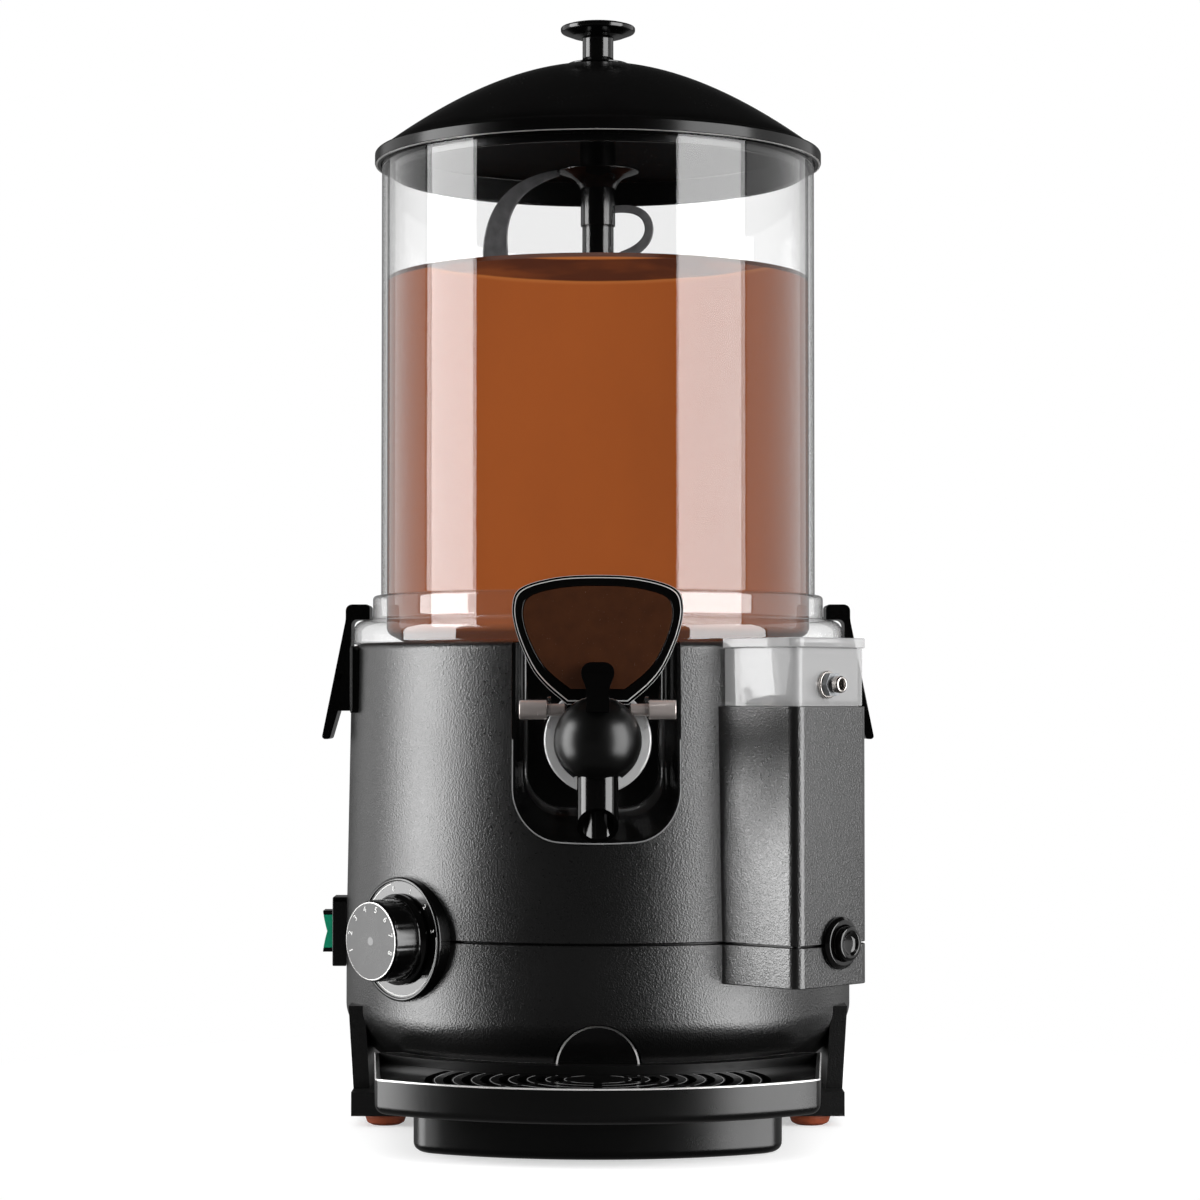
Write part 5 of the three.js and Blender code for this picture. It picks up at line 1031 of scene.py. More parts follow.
# A thin bright ring under the rim: a painted highlight.
lid_line = lathe("lid_line", [
    (LID - 1.3, RIM_LOW - 0.12), (LID - 0.3, RIM_LOW + 0.1), (LID - 0.5, RIM_LOW + 0.6),
    (LID - 1.4, RIM_LOW + 0.6),
], FINE_SIDES)
dress(lid_line, painted_highlight, "steel", "lid", "lid", angle=50)

# %% [markdown]
# The lid is lifted by a flat round knob on a stem, which stands on a thin base plate. All of it is round,
# so it could be stacked from cylinders, but one turned profile also gives the soft hollow under the head.

# %% Lid knob
KNOB_TOP = node_mm("lid_knob")[1].z
KNOB = -node_mm("lid_knob")[0].x
KNOB_BASE = 16.6
KNOB_STEM = 8.3

knob = lathe("lid_knob_turned", [
    (0, DOME_TOP - 3), (GUIDE_BORE - 0.3, DOME_TOP - 3), (GUIDE_BORE - 0.3, DOME_TOP + 0.3),
    (KNOB_BASE, DOME_TOP + 0.3), (KNOB_BASE, DOME_TOP + 1, 0.3), (KNOB_STEM + 1.4, DOME_TOP + 1.6, 1),
    (KNOB_STEM, DOME_TOP + 4, 2), (KNOB_STEM, KNOB_TOP - 7, 1.4),
    (KNOB * 0.7, KNOB_TOP - 6, 5), (KNOB, KNOB_TOP - 3.6, 1.6), (KNOB, KNOB_TOP - 1.1, 1),
    (KNOB * 0.82, KNOB_TOP, 5),
    (0, KNOB_TOP),
], 96)
dress(knob, gloss, "black_gloss", "lid", "lid_knob", angle=30)

# %% [markdown]
# ## Stirrer
#
# A tube stands in the middle on the drive shaft. A small funnel under the lid keeps drops off the guide.
# Two flat bars run down at the sides on scraper arms, and a ribbon climbs round the tube, so the thick
# drink is turned over and not only round. The tube and the funnel are round and come from the lathe.

# %% Stirrer tube and funnel
STIRRER_BOTTOM = node_mm("stirrer_tube")[0].z
SLEEVE_BOTTOM = 471.6
CONE_BOTTOM = node_mm("stirrer_cone")[0].z
CONE_TOP = 502
CONE = -node_mm("stirrer_cone")[0].x
TUBE_INNER = 8.4
SLEEVE = 9.25

stirrer_tube = lathe("stirrer_post", [
    (5.6, STIRRER_BOTTOM, 0.4), (TUBE_INNER, STIRRER_BOTTOM, 0.6), (TUBE_INNER, SLEEVE_BOTTOM - 0.6, 0.4),
    (TUBE_INNER - 0.5, SLEEVE_BOTTOM - 0.3), (TUBE_INNER - 0.5, SLEEVE_BOTTOM), (SLEEVE, SLEEVE_BOTTOM, 0.5),
    (SLEEVE, CONE_BOTTOM - 0.3, 0.3), (0, CONE_BOTTOM - 0.3), (0, STIRRER_BOTTOM + 60),
    (5.6, STIRRER_BOTTOM + 60),
], SMALL_SIDES)
dress(stirrer_tube, gloss, "black_gloss", "stirrer", "stirrer_tube", angle=30)

funnel = lathe("stirrer_funnel", [
    (0, CONE_BOTTOM), (SLEEVE + 0.2, CONE_BOTTOM, 0.2), (CONE * 0.55, CONE_BOTTOM + 5.4, 10),
    (CONE, CONE_TOP - 1.2, 0.5), (CONE, CONE_TOP, 0.5), (CONE - 1.6, CONE_TOP, 0.4),
    (CONE * 0.6, CONE_BOTTOM + 6.4, 6), (5.9, CONE_BOTTOM + 4, 1.4), (5.9, GUIDE_BOTTOM + 6, 0.6),
    (0, GUIDE_BOTTOM + 6),
], 96)
dress(funnel, gloss, "black_gloss", "stirrer", "stirrer_cone", angle=30)

# %% [markdown]
# The bars are strips: a rounded section carried along a path. A curve object with a bevel could do it, but
# a strip made here can also grow narrower on its way. The left one sweeps up to the funnel, and the right
# one ends just under the drink's level. The ribbon is the same with a spiral for its path, and above the
# drink its end curls back to the sleeve.

# %% Bars and ribbon
BAR_REACH = 55
BAR_WIDTH = 14
BAR_THICKNESS = 3.2
BAR_TOP = 484
ARM_REACH = node_mm("stirrer_blades")[1].x
ARM_LOW = node_mm("stirrer_blades")[0].z
ARM_HEIGHT = 12
RIBBON_REACH = 26
RIBBON_WIDTH = 9
RIBBON_THICKNESS = 2.4
RIBBON_TOP = 438
RIBBON_TURNS = 2.25
RIBBON_STEPS_A_TURN = 48
CURL = [
    ((8.8, 481), (27, 483), (27.5, 470), 12),
    ((27.5, 470), (27, 461), (14, 456), 10),
    ((14, 456), (2, 450), (-4, 436), 8),
]
HUB_BORE = 8.7
HUB_ROOM = 8.8
HUB = 12.1


def strip(name, path, widths, thickness):
    """A flat strip in the plane of its path of (x, z) points, from its first width to its last."""
    rings = []
    for i, here in enumerate(path):
        width = widths[0] + (widths[1] - widths[0]) * i / (len(path) - 1)
        ends = (-width / 2, width / 2, -thickness / 2, thickness / 2)
        section = fillet(box_outline(*ends, thickness * 0.3), steps=3)
        along = (path[min(i + 1, len(path) - 1)] - path[max(i - 1, 0)]).normalized()
        across = Vector((along.y, -along.x))
        rings.append([(here.x + across.x * u, v, here.y + across.y * u) for u, v in section])
    return loft(name, rings)


left_sweep = curve((-BAR_REACH, BAR_TOP - 26), (-BAR_REACH - 1, BAR_TOP + 9), (-CONE + 1, CONE_TOP - 1.4), 28)
left_path = [Vector((-BAR_REACH, ARM_LOW)), *left_sweep]
right_path = [Vector((BAR_REACH, height)) for height in (ARM_LOW, LIQUID_LEVEL - 10, LIQUID_LEVEL - 4)]
curl_path = [Vector(CURL[0][0])]
for start, pull, end, steps in CURL:
    curl_path += curve(start, pull, end, steps)[1:]
bars = [strip("stirrer_bar_left", left_path, (BAR_WIDTH, 3.4), BAR_THICKNESS),
        strip("stirrer_bar_right", right_path, (BAR_WIDTH, BAR_WIDTH), BAR_THICKNESS),
        strip("stirrer_curl", curl_path, (4, 6), RIBBON_THICKNESS)]
for bar in bars:
    dress(bar, stirrer_plastic, "grey_plastic", "stirrer", "stirrer_blades", angle=35)

arm = prism("stirrer_arms", box_outline(-ARM_REACH, ARM_REACH, -BAR_THICKNESS / 2, BAR_THICKNESS / 2, 1.2),
            ARM_LOW, ARM_LOW + ARM_HEIGHT)
carve(arm, rod("hub_room", HUB_ROOM, ARM_LOW - 2, ARM_LOW + 20))
soften(arm, 0.6, 2)
dress(arm, stirrer_plastic, "grey_plastic", "stirrer", "stirrer_blades")

hub_high = ARM_LOW + ARM_HEIGHT - 1
hub = lathe("stirrer_hub", [
    (HUB_BORE, ARM_LOW, 0.4), (HUB, ARM_LOW, 0.8), (HUB, hub_high, 0.8), (HUB_BORE, hub_high, 0.4),
], SMALL_SIDES)
dress(hub, stirrer_plastic, "grey_plastic", "stirrer", "stirrer_blades")

ribbon_low = ARM_LOW + ARM_HEIGHT / 2
ribbon_rings = []
ribbon_steps = round(RIBBON_TURNS * RIBBON_STEPS_A_TURN)
for k in range(ribbon_steps + 1):
    share = k / ribbon_steps
    angle = share * RIBBON_TURNS * 2 * math.pi
    height = ribbon_low + (RIBBON_TOP - ribbon_low) * share
    taper = min(1, (1 - share) * RIBBON_TURNS * 4)
    outer = TUBE_INNER + (RIBBON_REACH - TUBE_INNER) * taper + 0.6
    inner = max(outer - RIBBON_WIDTH, SLEEVE + 0.1)
    outer = max(outer, inner + 0.5)
    section = fillet(box_outline(inner, outer, 0, RIBBON_THICKNESS, 0.15), steps=2)
    ribbon_rings.append([(r * math.cos(angle), r * math.sin(angle), height + h) for r, h in section])
ribbon = loft("stirrer_ribbon", ribbon_rings)
dress(ribbon, stirrer_plastic, "grey_plastic", "stirrer", "stirrer_blades", angle=40)

# %% [markdown]
# ## Tap
#
# Pushing a cup against the paddle tips the lever on its pin, and two pegs in the ball lift the valve's
# piston. The valve itself is an upright black tube under the ball. Its spout is cut off at a slant, so one
# looks into it. A closed rod would look solid there, so the tube is turned with its bore, and a wedge cuts
# the slant.

# %% Valve and spout
TAP = 156
VALVE = 10.1
VALVE_TOP = node_mm("tap_body")[1].z
SPOUT_TIP = node_mm("tap_body")[0].z
SPOUT_CUT = 17.7
SPOUT_BORE = 7.9
SPOUT_CEILING = 179.6
BRANCH = 9.6
BRANCH_BORE = 6

valve_place = Matrix.Translation((0, -TAP, 0))
outlet_place = facing(0, 0, OUTLET_HEIGHT)
valve = lathe("valve_tube", [
    (SPOUT_BORE, SPOUT_TIP), (VALVE, SPOUT_TIP), (VALVE, VALVE_TOP, 0.8), (2.7, VALVE_TOP),
    (2.7, VALVE_TOP - 2.4), (7.8, VALVE_TOP - 2.4), (7.8, 182), (4.8, 182), (4.8, SPOUT_CEILING),
    (SPOUT_BORE, SPOUT_CEILING, 1.5),
], 96, valve_place)
wedge = side_plate("spout_slant", [
    (-TAP - VALVE - 8, SPOUT_TIP - 8), (-TAP + VALVE + 8, SPOUT_TIP - 8),
    (-TAP + VALVE + 8, SPOUT_TIP - SPOUT_CUT * 0.4), (-TAP + VALVE, SPOUT_TIP),
    (-TAP - VALVE, SPOUT_TIP + SPOUT_CUT), (-TAP - VALVE - 8, SPOUT_TIP + SPOUT_CUT * 1.4),
], -VALVE - 6, VALVE + 6)
carve(valve, wedge, rod("branch_room", BRANCH_BORE, CUP + 8, TAP, HOLE_SIDES, outlet_place))
soften(valve, 0.55, 3, 50)
dress(valve, gloss, "black_gloss", "machine", "tap_body", angle=30)

branch_low, branch_high = COLLAR_FRONT - 12, TAP - 8
branch = lathe("valve_branch", [
    (BRANCH_BORE, branch_low), (BRANCH, branch_low, 0.8), (BRANCH, branch_high), (BRANCH_BORE, branch_high),
], SMALL_SIDES, outlet_place)
dress(branch, gloss, "black_gloss", "machine", "tap_body")

# %% [markdown]
# The ball is a shell, open behind and below, that hides the valve. Half a sphere would leave no room for
# the tube. So a whole sphere loses its inside, its back and a slot for the valve tube, and the two ears
# reach back to the pin.

# %% Ball and ears
BALL = 21.5
BALL_WALL = 2.4
BALL_CUT = 151
SLOT_HALF = 11.5
EAR_INNER = 12.6
EAR_WALL = 3.6
PEG = 1.3
PEG_HEIGHT = 209.4
SHIELD_BACK = 154.6
SHIELD_FRONT = 159.2


def sphere(name, radius, sides=96):
    form = bmesh.new()
    bmesh.ops.create_uvsphere(form, u_segments=sides, v_segments=sides // 2, radius=radius)
    return piece(name, form, Matrix.Translation((0, -TAP, OUTLET_HEIGHT)) @ FRONTAL)


ball = sphere("lever_ball", BALL)
behind = prism("ball_behind", [(-40, -BALL_CUT), (40, -BALL_CUT), (40, -100), (-40, -100)], 150, 250)
tube_slot = prism("ball_slot", [
    (-SLOT_HALF, -TAP - SLOT_HALF, 8), (SLOT_HALF, -TAP - SLOT_HALF, 8),
    (SLOT_HALF, -120), (-SLOT_HALF, -120),
], 150, OUTLET_HEIGHT)
carve(ball, sphere("ball_hollow", BALL - BALL_WALL, 64), behind, tube_slot, pin_hole())
soften(ball, 0.4, 2, 55)
dress(ball, ball_black, "black_gloss", "tap_lever", "tap_lever", angle=30)

for side, label in ((1, "right"), (-1, "left")):
    ear = side_plate("lever_ear_" + label, [
        (-TAP - 5.2, 204.7), (-PIN_DISTANCE + 4.7, 208, 4.6), (-PIN_DISTANCE + 4.7, 218, 4.6),
        (-SHIELD_BACK + 4.6, 220.3), (-SHIELD_BACK + 0.3, 220.3), (-SHIELD_BACK + 0.3, 215),
        (-TAP - 5.2, 210.4),
    ], side * EAR_INNER, side * (EAR_INNER + EAR_WALL))
    carve(ear, pin_hole())
    soften(ear, 0.5, 2)
    dress(ear, gloss, "black_gloss", "tap_lever", "tap_lever")
    peg_place = Matrix.Translation((0, -TAP, PEG_HEIGHT)) @ Matrix.Rotation(side * math.pi / 2, 4, "Y")
    peg = lathe("lever_peg_" + label, [
        (0, 3.6), (PEG, 3.6, 0.3), (PEG, EAR_INNER + 0.8), (0, EAR_INNER + 0.8),
    ], 32, peg_place)
    dress(peg, gloss, "black_gloss", "tap_lever", "tap_lever")

# %% [markdown]
# The finger tab stands on the ball in front of the paddle. Its neck widens into a rounded head. It could be
# sculpted, but an outline with round corners that is stretched and softened keeps an even thickness.

# %% Finger tab
TAB_NEAR = SHIELD_FRONT + 0.6
TAB_FAR = -node_mm("tap_lever")[0].y
TAB_NECK = 5.5
TAB_HEAD = 8
TAB_TOP = 236

tab_outline = fillet([
    (-TAB_NECK, 212), (TAB_NECK, 212), (TAB_NECK, 223.5, 14), (TAB_HEAD, 229.5, 8), (TAB_HEAD, TAB_TOP, 5),
    (-TAB_HEAD, TAB_TOP, 5), (-TAB_HEAD, 229.5, 8), (-TAB_NECK, 223.5, 14),
], steps=8)
tab = prism("finger_tab", [tuple(p) for p in tab_outline], TAB_NEAR, TAB_FAR, FRONTAL)
soften(tab, 2.2, 5, 50)
dress(tab, gloss, "black_gloss", "tap_lever", "tap_lever", angle=40)
tab_root = side_plate("tab_root", [
    (-TAB_NEAR - 8, 212), (-SHIELD_BACK - 2, 212), (-SHIELD_BACK - 2, 219.6, 1), (-TAB_NEAR - 8, 216, 2),
], -TAB_NECK, TAB_NECK)
dress(tab_root, gloss, "black_gloss", "tap_lever", "tap_lever")

# %% [markdown]
# The paddle is a shield with bulging sides, wide above and narrow where it meets the ball. Its outline
# could be a long list of points, but a smooth curve through a few, given as shares of its half width and
# height, has no dents. A brown plate is let into it, and a thin bright line round its rim is a painted
# highlight.

# %% Paddle
SHIELD_LOW, SHIELD_HIGH = node_mm("lever_shield")[0].z, node_mm("lever_shield")[1].z
SHIELD_HALF = 41.6
SHIELD_SHARES = [
    (0.36, 0), (0.62, 0.15), (0.79, 0.3), (0.95, 0.55), (1, 0.76), (0.9, 0.9), (0.5, 0.98), (0, 1),
]
SHIELD_BORDER = 5.2


def spline(points, steps=8):
    """A smooth curve through the points."""
    ends = [points[0], *points, points[-1]]
    made = []
    for a, b, c, d in zip(ends, ends[1:], ends[2:], ends[3:]):
        for k in range(steps):
            t = k / steps
            made.append((b * 2 + (c - a) * t + (a * 2 - b * 5 + c * 4 - d) * t * t
                         + (b * 3 - a - c * 3 + d) * t * t * t) / 2)
    return [*made, points[-1]]


def shield_outline(inset):
    low = SHIELD_LOW + inset * 1.4
    height = SHIELD_HIGH - inset - low
    half = SHIELD_HALF - inset
    right = [Vector((x * half, low + z * height)) for x, z in SHIELD_SHARES]
    left = [Vector((-p.x, p.y)) for p in reversed(right[:-1])]
    return [tuple(p) for p in spline(right + left)]


def shield_plate(name, inset, low, high):
    """The shield's outline, drawn in by inset, as a plate between two distances in front of the axis."""
    return prism(name, shield_outline(inset), low, high, FRONTAL)


paddle = shield_plate("lever_paddle", 0.15, SHIELD_BACK, SHIELD_FRONT - 0.1)
pocket = shield_plate("paddle_pocket", SHIELD_BORDER - 0.2, SHIELD_FRONT - 1.5, SHIELD_FRONT + 6)
carve(paddle, pocket, sphere("ball_room", BALL + 0.3))
soften(paddle, 0.9, 3, 50)
dress(paddle, gloss, "black_gloss", "tap_lever", "lever_shield", angle=35)

insert = shield_plate("paddle_insert", SHIELD_BORDER + 0.1, SHIELD_FRONT - 1.4, SHIELD_FRONT - 0.25)
carve(insert, sphere("ball_room_insert", BALL + 0.3))
soften(insert, 0.4, 2, 50)
dress(insert, insert_plastic, "brown_insert", "tap_lever", "shield_insert", angle=35)

# The thin bright line round the paddle's rim: a painted highlight.
rim_out, rim_in = (shield_outline(inset) for inset in (0, 1.5))
rim_rings = [[(x, -SHIELD_FRONT + depth, z) for x, z in outline]
             for outline, depth in ((rim_out, 1.3), (rim_out, 0.35), (rim_in, 0), (rim_in, 0.6))]
paddle_rim = loft("paddle_rim", rim_rings, hollow=True)
carve(paddle_rim, sphere("ball_room_rim", BALL + 0.4))
dress(paddle_rim, painted_highlight, "steel", "tap_lever", "lever_shield", angle=60)

# %% [markdown]
# The pin runs through the lugs and the ears, and the lever turns on it. Its two thick ends are brushed
# steel. Caps on a rod would be three pieces, so it is turned as one. What sits inside the valve stays as
# the CAD model has it.

# %% Pin
PIN = 3
PIN_END = 4.8
PIN_REACH = node_mm("tap_pin")[1].x

pin_profile = [
    (0, -PIN_REACH), (PIN_END, -PIN_REACH, 0.7), (PIN_END, -LUG_OUTER - 0.3, 0.5), (PIN, -LUG_OUTER - 0.3),
    (PIN, LUG_OUTER + 0.3), (PIN_END, LUG_OUTER + 0.3, 0.5), (PIN_END, PIN_REACH, 0.7), (0, PIN_REACH),
]
pin = lathe("tap_pin_turned", pin_profile, SMALL_SIDES, PIN_PLACE)
dress(pin, steel_pin, "steel", "machine", "tap_pin")

keep("tap_piston", grey_plastic, 0.2)
keep("piston_seal", silicone)
keep("spout_seal", silicone)
keep("tap_spring", steel)

# %% [markdown]
# ## Latches
#
# A latch on each side holds the vessel down. Its lever is a bent strip that hooks over the flange above and
# stands away from the drum below, so that a finger gets behind it. A flat plate could be bent, but drawing
# its side view keeps the hook exact. It turns between the ears of a bracket. Next to each bracket, towards
# the front, a slim upright rail with a groove stands on the drum.

# %% Latches
PIVOT = 137.3
PIVOT_HEIGHT = 230
LATCH_HALF = 12
LATCH_TOP = node_mm("latch_lever_right")[1].z
LATCH_TIP = node_mm("latch_lever_right")[0].z
LATCH_OUT = node_mm("latch_lever_right")[1].x
HOOK = 121.2
EAR_OUT = LATCH_HALF + 3.3
RAIL_AZIMUTH = 73
RAIL_HEIGHT = 228.5


def side_form(name, corners, half, side):
    """A profile in (x, z) that is deep along Y, on the right (1) or mirrored to the left (-1)."""
    points = fillet(corners)
    return loft(name, [[(side * x, y, z) for x, z in points] for y in (-half, half)])


def drum_room(name, grown):
    """All that lies inside the housing's drum, grown a little, to cut a piece to its surface."""
    reach, reach_top = DRUM + grown, DRUM_TOP + grown
    return lathe(name, [(0, 40), (reach, 40), (reach, SEAM), (reach_top, DECK + grown), (0, DECK + grown)])


def pivot_hole(side):
    place = Matrix.Translation((side * PIVOT, 0, PIVOT_HEIGHT)) @ FRONTAL
    return rod("pivot_hole", 2.3, -20, 20, HOLE_SIDES, place)


for side, label in ((1, "right"), (-1, "left")):
    lever = side_form("latch_strip_" + label, [
        (LATCH_OUT - 4.4, LATCH_TIP, 1.6), (LATCH_OUT, LATCH_TIP, 1.6), (134, 260.3, 16),
        (134, LATCH_TOP, 3.4), (HOOK, LATCH_TOP, 2), (HOOK, 260.4, 0.6), (FLANGE + 0.4, 260.4, 3),
        (FLANGE + 0.6, DECK, 2),
        (PIVOT - 3.6, PIVOT_HEIGHT + 3.6, 1), (PIVOT - 3.6, PIVOT_HEIGHT - 3.6, 2),
    ], LATCH_HALF, side)
    carve(lever, pivot_hole(side))
    soften(lever, 0.7, 3, 30)
    dress(lever, gloss, "black_gloss", "latch_" + label, "latch_lever_" + label, angle=25)

    bracket = side_form("latch_holder_" + label, [
        (DRUM - 6, 212), (LATCH_OUT - 3.5, 212, 1), (137, 244, 1), (DRUM - 6, 244),
    ], EAR_OUT, side)
    gap = side_form("bracket_gap", [
        (DRUM + 0.2, 205), (DRUM + 20, 205), (DRUM + 20, 250), (DRUM + 0.2, 250),
    ], LATCH_HALF + 0.3, side)
    room = side_form("bracket_room", [
        (110, 233.6), (DRUM + 20, 233.6), (DRUM + 20, 250), (110, 250),
    ], LATCH_HALF + 0.3, side)
    carve(bracket, gap, room, drum_room("bracket_drum", 0.15))
    soften(bracket, 0.7, 3, 40)
    dress(bracket, gloss, "black_shell", "machine", "latch_bracket_" + label, angle=30)
    keep("latch_pin_" + label, steel, 0.3)

    rail_place = facing(side * RAIL_AZIMUTH, 0, RAIL_HEIGHT)
    rail_outline = box_outline(-2.6, 2.6, -17.5, 17.5, 2.4)
    rail = prism("latch_rail_" + label, rail_outline, DRUM - 8, DRUM + 1.3, rail_place)
    channel = prism("rail_channel", box_outline(-0.7, 0.7, -15, 18.5, 0.6), DRUM - 0.9, DRUM + 4, rail_place)
    carve(rail, drum_room("rail_drum", 0.1), channel)
    soften(rail, 0.6, 3, 40)
    dress(rail, gloss, "black_shell", "machine", "latch_bracket_" + label, angle=35)

# %% [markdown]
# ## Thermostat
#
# The thermostat sets how hot the drink is kept. A black ring stands on the drum, and a dark plate with a
# white arc lies in it. The marks could be a picture on the plate, but thin raised bands and numbers stay
# sharp from any distance.

# %% Ring and plate
DIAL_AZIMUTH = -47
DIAL_HEIGHT = 97
RING = 31.5
RING_FRONT = DRUM + 4
PLATE_FRONT = RING_FRONT - 1.2
KNOB_BACK = PLATE_FRONT + 0.3
KNOB_BACK_RADIUS = 23
KNOB_FRONT = KNOB_BACK + 19
KNOB_RADIUS = 20.75

dial_place = facing(DIAL_AZIMUTH, 0, DIAL_HEIGHT)
ring = lathe("dial_ring", [
    (9, DRUM - 6), (RING, DRUM - 6), (RING, RING_FRONT, 1.4), (RING - 1.8, RING_FRONT, 0.5),
    (RING - 2.2, PLATE_FRONT, 0.3), (9, PLATE_FRONT),
], 128, dial_place)
carve(ring, drum_room("ring_drum", 0.15))
dress(ring, gloss, "black_gloss", "machine", "dial_bezel", angle=30)


def arc_band(name, inner, outer, from_degrees, to_degrees, low, high, place, steps=64):
    outline = arc(outer, from_degrees, to_degrees, steps) + arc(inner, to_degrees, from_degrees, steps)
    return prism(name, [tuple(p) for p in outline], low, high, place)


white_arc = arc_band("dial_arc", 28.1, 28.75, -165, 95, PLATE_FRONT, PLATE_FRONT + 0.12, dial_place)
dress(white_arc, mark_white, "clear_plastic", "machine", "dial_bezel")
# A thin grey ring round the plate: a painted highlight.
highlight_ring = lathe("dial_highlight_ring", [
    (29.05, PLATE_FRONT), (29.35, PLATE_FRONT), (29.35, PLATE_FRONT + 0.3), (29.05, PLATE_FRONT + 0.3),
], 128, dial_place)
dress(highlight_ring, painted_grey_highlight, "steel", "machine", "dial_bezel")


def lettering(name, words, size, radius, lift, thickness, place):
    """Numbers set round a circle, each standing upright towards the middle, as one raised mesh."""
    form = bmesh.new()
    for text, degrees in words:
        font = bpy.data.curves.new("number", "FONT")
        font.body = text
        font.size = size
        font.align_x, font.align_y = "CENTER", "CENTER"
        font.extrude = thickness / 2
        font.resolution_u = 3
        holder = bpy.data.objects.new("number", font)
        bpy.context.scene.collection.objects.link(holder)
        graph = bpy.context.evaluated_depsgraph_get()
        mesh = bpy.data.meshes.new_from_object(holder.evaluated_get(graph))
        angle = math.radians(degrees)
        middle = Vector((radius * math.sin(angle), radius * math.cos(angle), lift + thickness / 2))
        mesh.transform(Matrix.Translation(middle) @ Matrix.Rotation(-angle, 4, "Z"))
        form.from_mesh(mesh)
        bpy.data.objects.remove(holder)
        bpy.data.meshes.remove(mesh)
        bpy.data.curves.remove(font)
    bmesh.ops.remove_doubles(form, verts=form.verts, dist=TINY)
    return piece(name, form, place)


plate_words = [(str(n), a) for n, a in ((0, -12), (1, 18), (2, 48), (3, 78))]
plate_marks = lettering("dial_plate_numbers", plate_words, 3.6, 25.6, PLATE_FRONT, 0.12, dial_place)
dress(plate_marks, mark_white, "clear_plastic", "machine", "dial_bezel")

# %% [markdown]
# The thermostat's knob has fine grips round its side. Its flat face has plain numbers round its edge, a
# dimple in the middle and a bright rim, which is a painted highlight. Cutting every grip would leave ragged
# edges, so the radius of each ring falls a little between the grips.

# %% Knob
GRIP_COUNT = 24


def fluted(levels, grips):
    """Rings at levels of (radius, height, depth), whose radius falls by depth between the grips."""
    sides = grips * 10
    rings = []
    for radius, height, depth in levels:
        if radius < TINY:
            rings.append([(0, 0, height)])
            continue
        angles = [2 * math.pi * k / sides for k in range(sides)]
        reach = [radius - depth * (0.5 - 0.5 * math.cos(a * grips)) ** 3 for a in angles]
        rings.append([(r * math.cos(a), r * math.sin(a), height) for r, a in zip(reach, angles)])
    return rings


knob_levels = [
    (5.6, KNOB_BACK, 0), (KNOB_BACK_RADIUS - 0.6, KNOB_BACK, 0), (KNOB_BACK_RADIUS, KNOB_BACK + 0.6, 0),
    (KNOB_BACK_RADIUS, KNOB_BACK + 2, 0), (KNOB_RADIUS + 0.7, KNOB_BACK + 3.2, 0.1),
    (KNOB_RADIUS, KNOB_BACK + 4.6, 0.12), (KNOB_RADIUS - 0.3, KNOB_FRONT - 2.4, 0.12),
    (KNOB_RADIUS - 0.5, KNOB_FRONT - 1.1, 0.1), (KNOB_RADIUS - 0.9, KNOB_FRONT - 0.35, 0),
    (KNOB_RADIUS - 1.5, KNOB_FRONT, 0),
]
knob_body = loft("dial_grip", fluted(knob_levels, GRIP_COUNT), dial_place)
dress(knob_body, gloss, "black_gloss", "dial", "dial_knob", angle=35)
face_edge = KNOB_RADIUS - 1.6
face = lathe("dial_face", [
    (0, KNOB_FRONT - 0.25), (1.2, KNOB_FRONT - 0.2, 0.6), (2.2, KNOB_FRONT + 0.02, 0.6),
    (face_edge, KNOB_FRONT + 0.02), (face_edge, KNOB_FRONT - 0.6), (0, KNOB_FRONT - 0.6),
], 128, dial_place)
dress(face, satin, "black_gloss", "dial", "dial_knob", angle=40)
# The bright rim of the face: a painted highlight.
rim_inner, rim_outer = KNOB_RADIUS - 1.75, KNOB_RADIUS - 1.2
face_rim = lathe("dial_rim", [
    (rim_inner, KNOB_FRONT - 0.2), (rim_outer, KNOB_FRONT - 0.4), (rim_outer, KNOB_FRONT - 0.08, 0.05),
    (rim_inner, KNOB_FRONT + 0.06, 0.05),
], 128, dial_place)
dress(face_rim, painted_highlight, "steel", "dial", "dial_knob")
knob_words = [(str(n), -140 + 31 * n) for n in range(1, 9)]
knob_marks = lettering("dial_numbers", knob_words, 4.4, KNOB_RADIUS - 4.6, KNOB_FRONT, 0.1, dial_place)
dress(knob_marks, mark_white, "clear_plastic", "dial", "dial_knob")

# %% [markdown]
# ## Switch
#
# The mains switch is a framed rocker on the left side. Its rocker is green plastic with dark ends, and it
# dips in the middle. Two tilted boxes would meet in a crease, so the dip is drawn as a curve, and one loop
# makes the green middle and both ends.

# %% Switch
SWITCH_AZIMUTH = -90
SWITCH_HEIGHT = 95
FRAME_TALL = 36.5
FRAME_WIDE = 24
FRAME_FRONT = DRUM + 7
ROCKER_TALL = 23
ROCKER_WIDE = 14
ROCKER_FRONT = DRUM + 12.4
switch_place = facing(SWITCH_AZIMUTH, 0, SWITCH_HEIGHT)

def middle_box(wide, tall, radius):
    return box_outline(-wide / 2, wide / 2, -tall / 2, tall / 2, radius)


frame_outline = middle_box(FRAME_WIDE, FRAME_TALL, 2.4)
frame_piece = prism("switch_surround", frame_outline, DRUM - 6, FRAME_FRONT, switch_place)
well_outline = middle_box(ROCKER_WIDE + 1, ROCKER_TALL + 1, 0.8)
well = prism("switch_well", well_outline, DRUM - 9, FRAME_FRONT + 6, switch_place)
carve(frame_piece, drum_room("frame_drum", 0.15), well)
soften(frame_piece, 0.8, 3, 40)
dress(frame_piece, gloss, "black_gloss", "machine", "switch_frame")

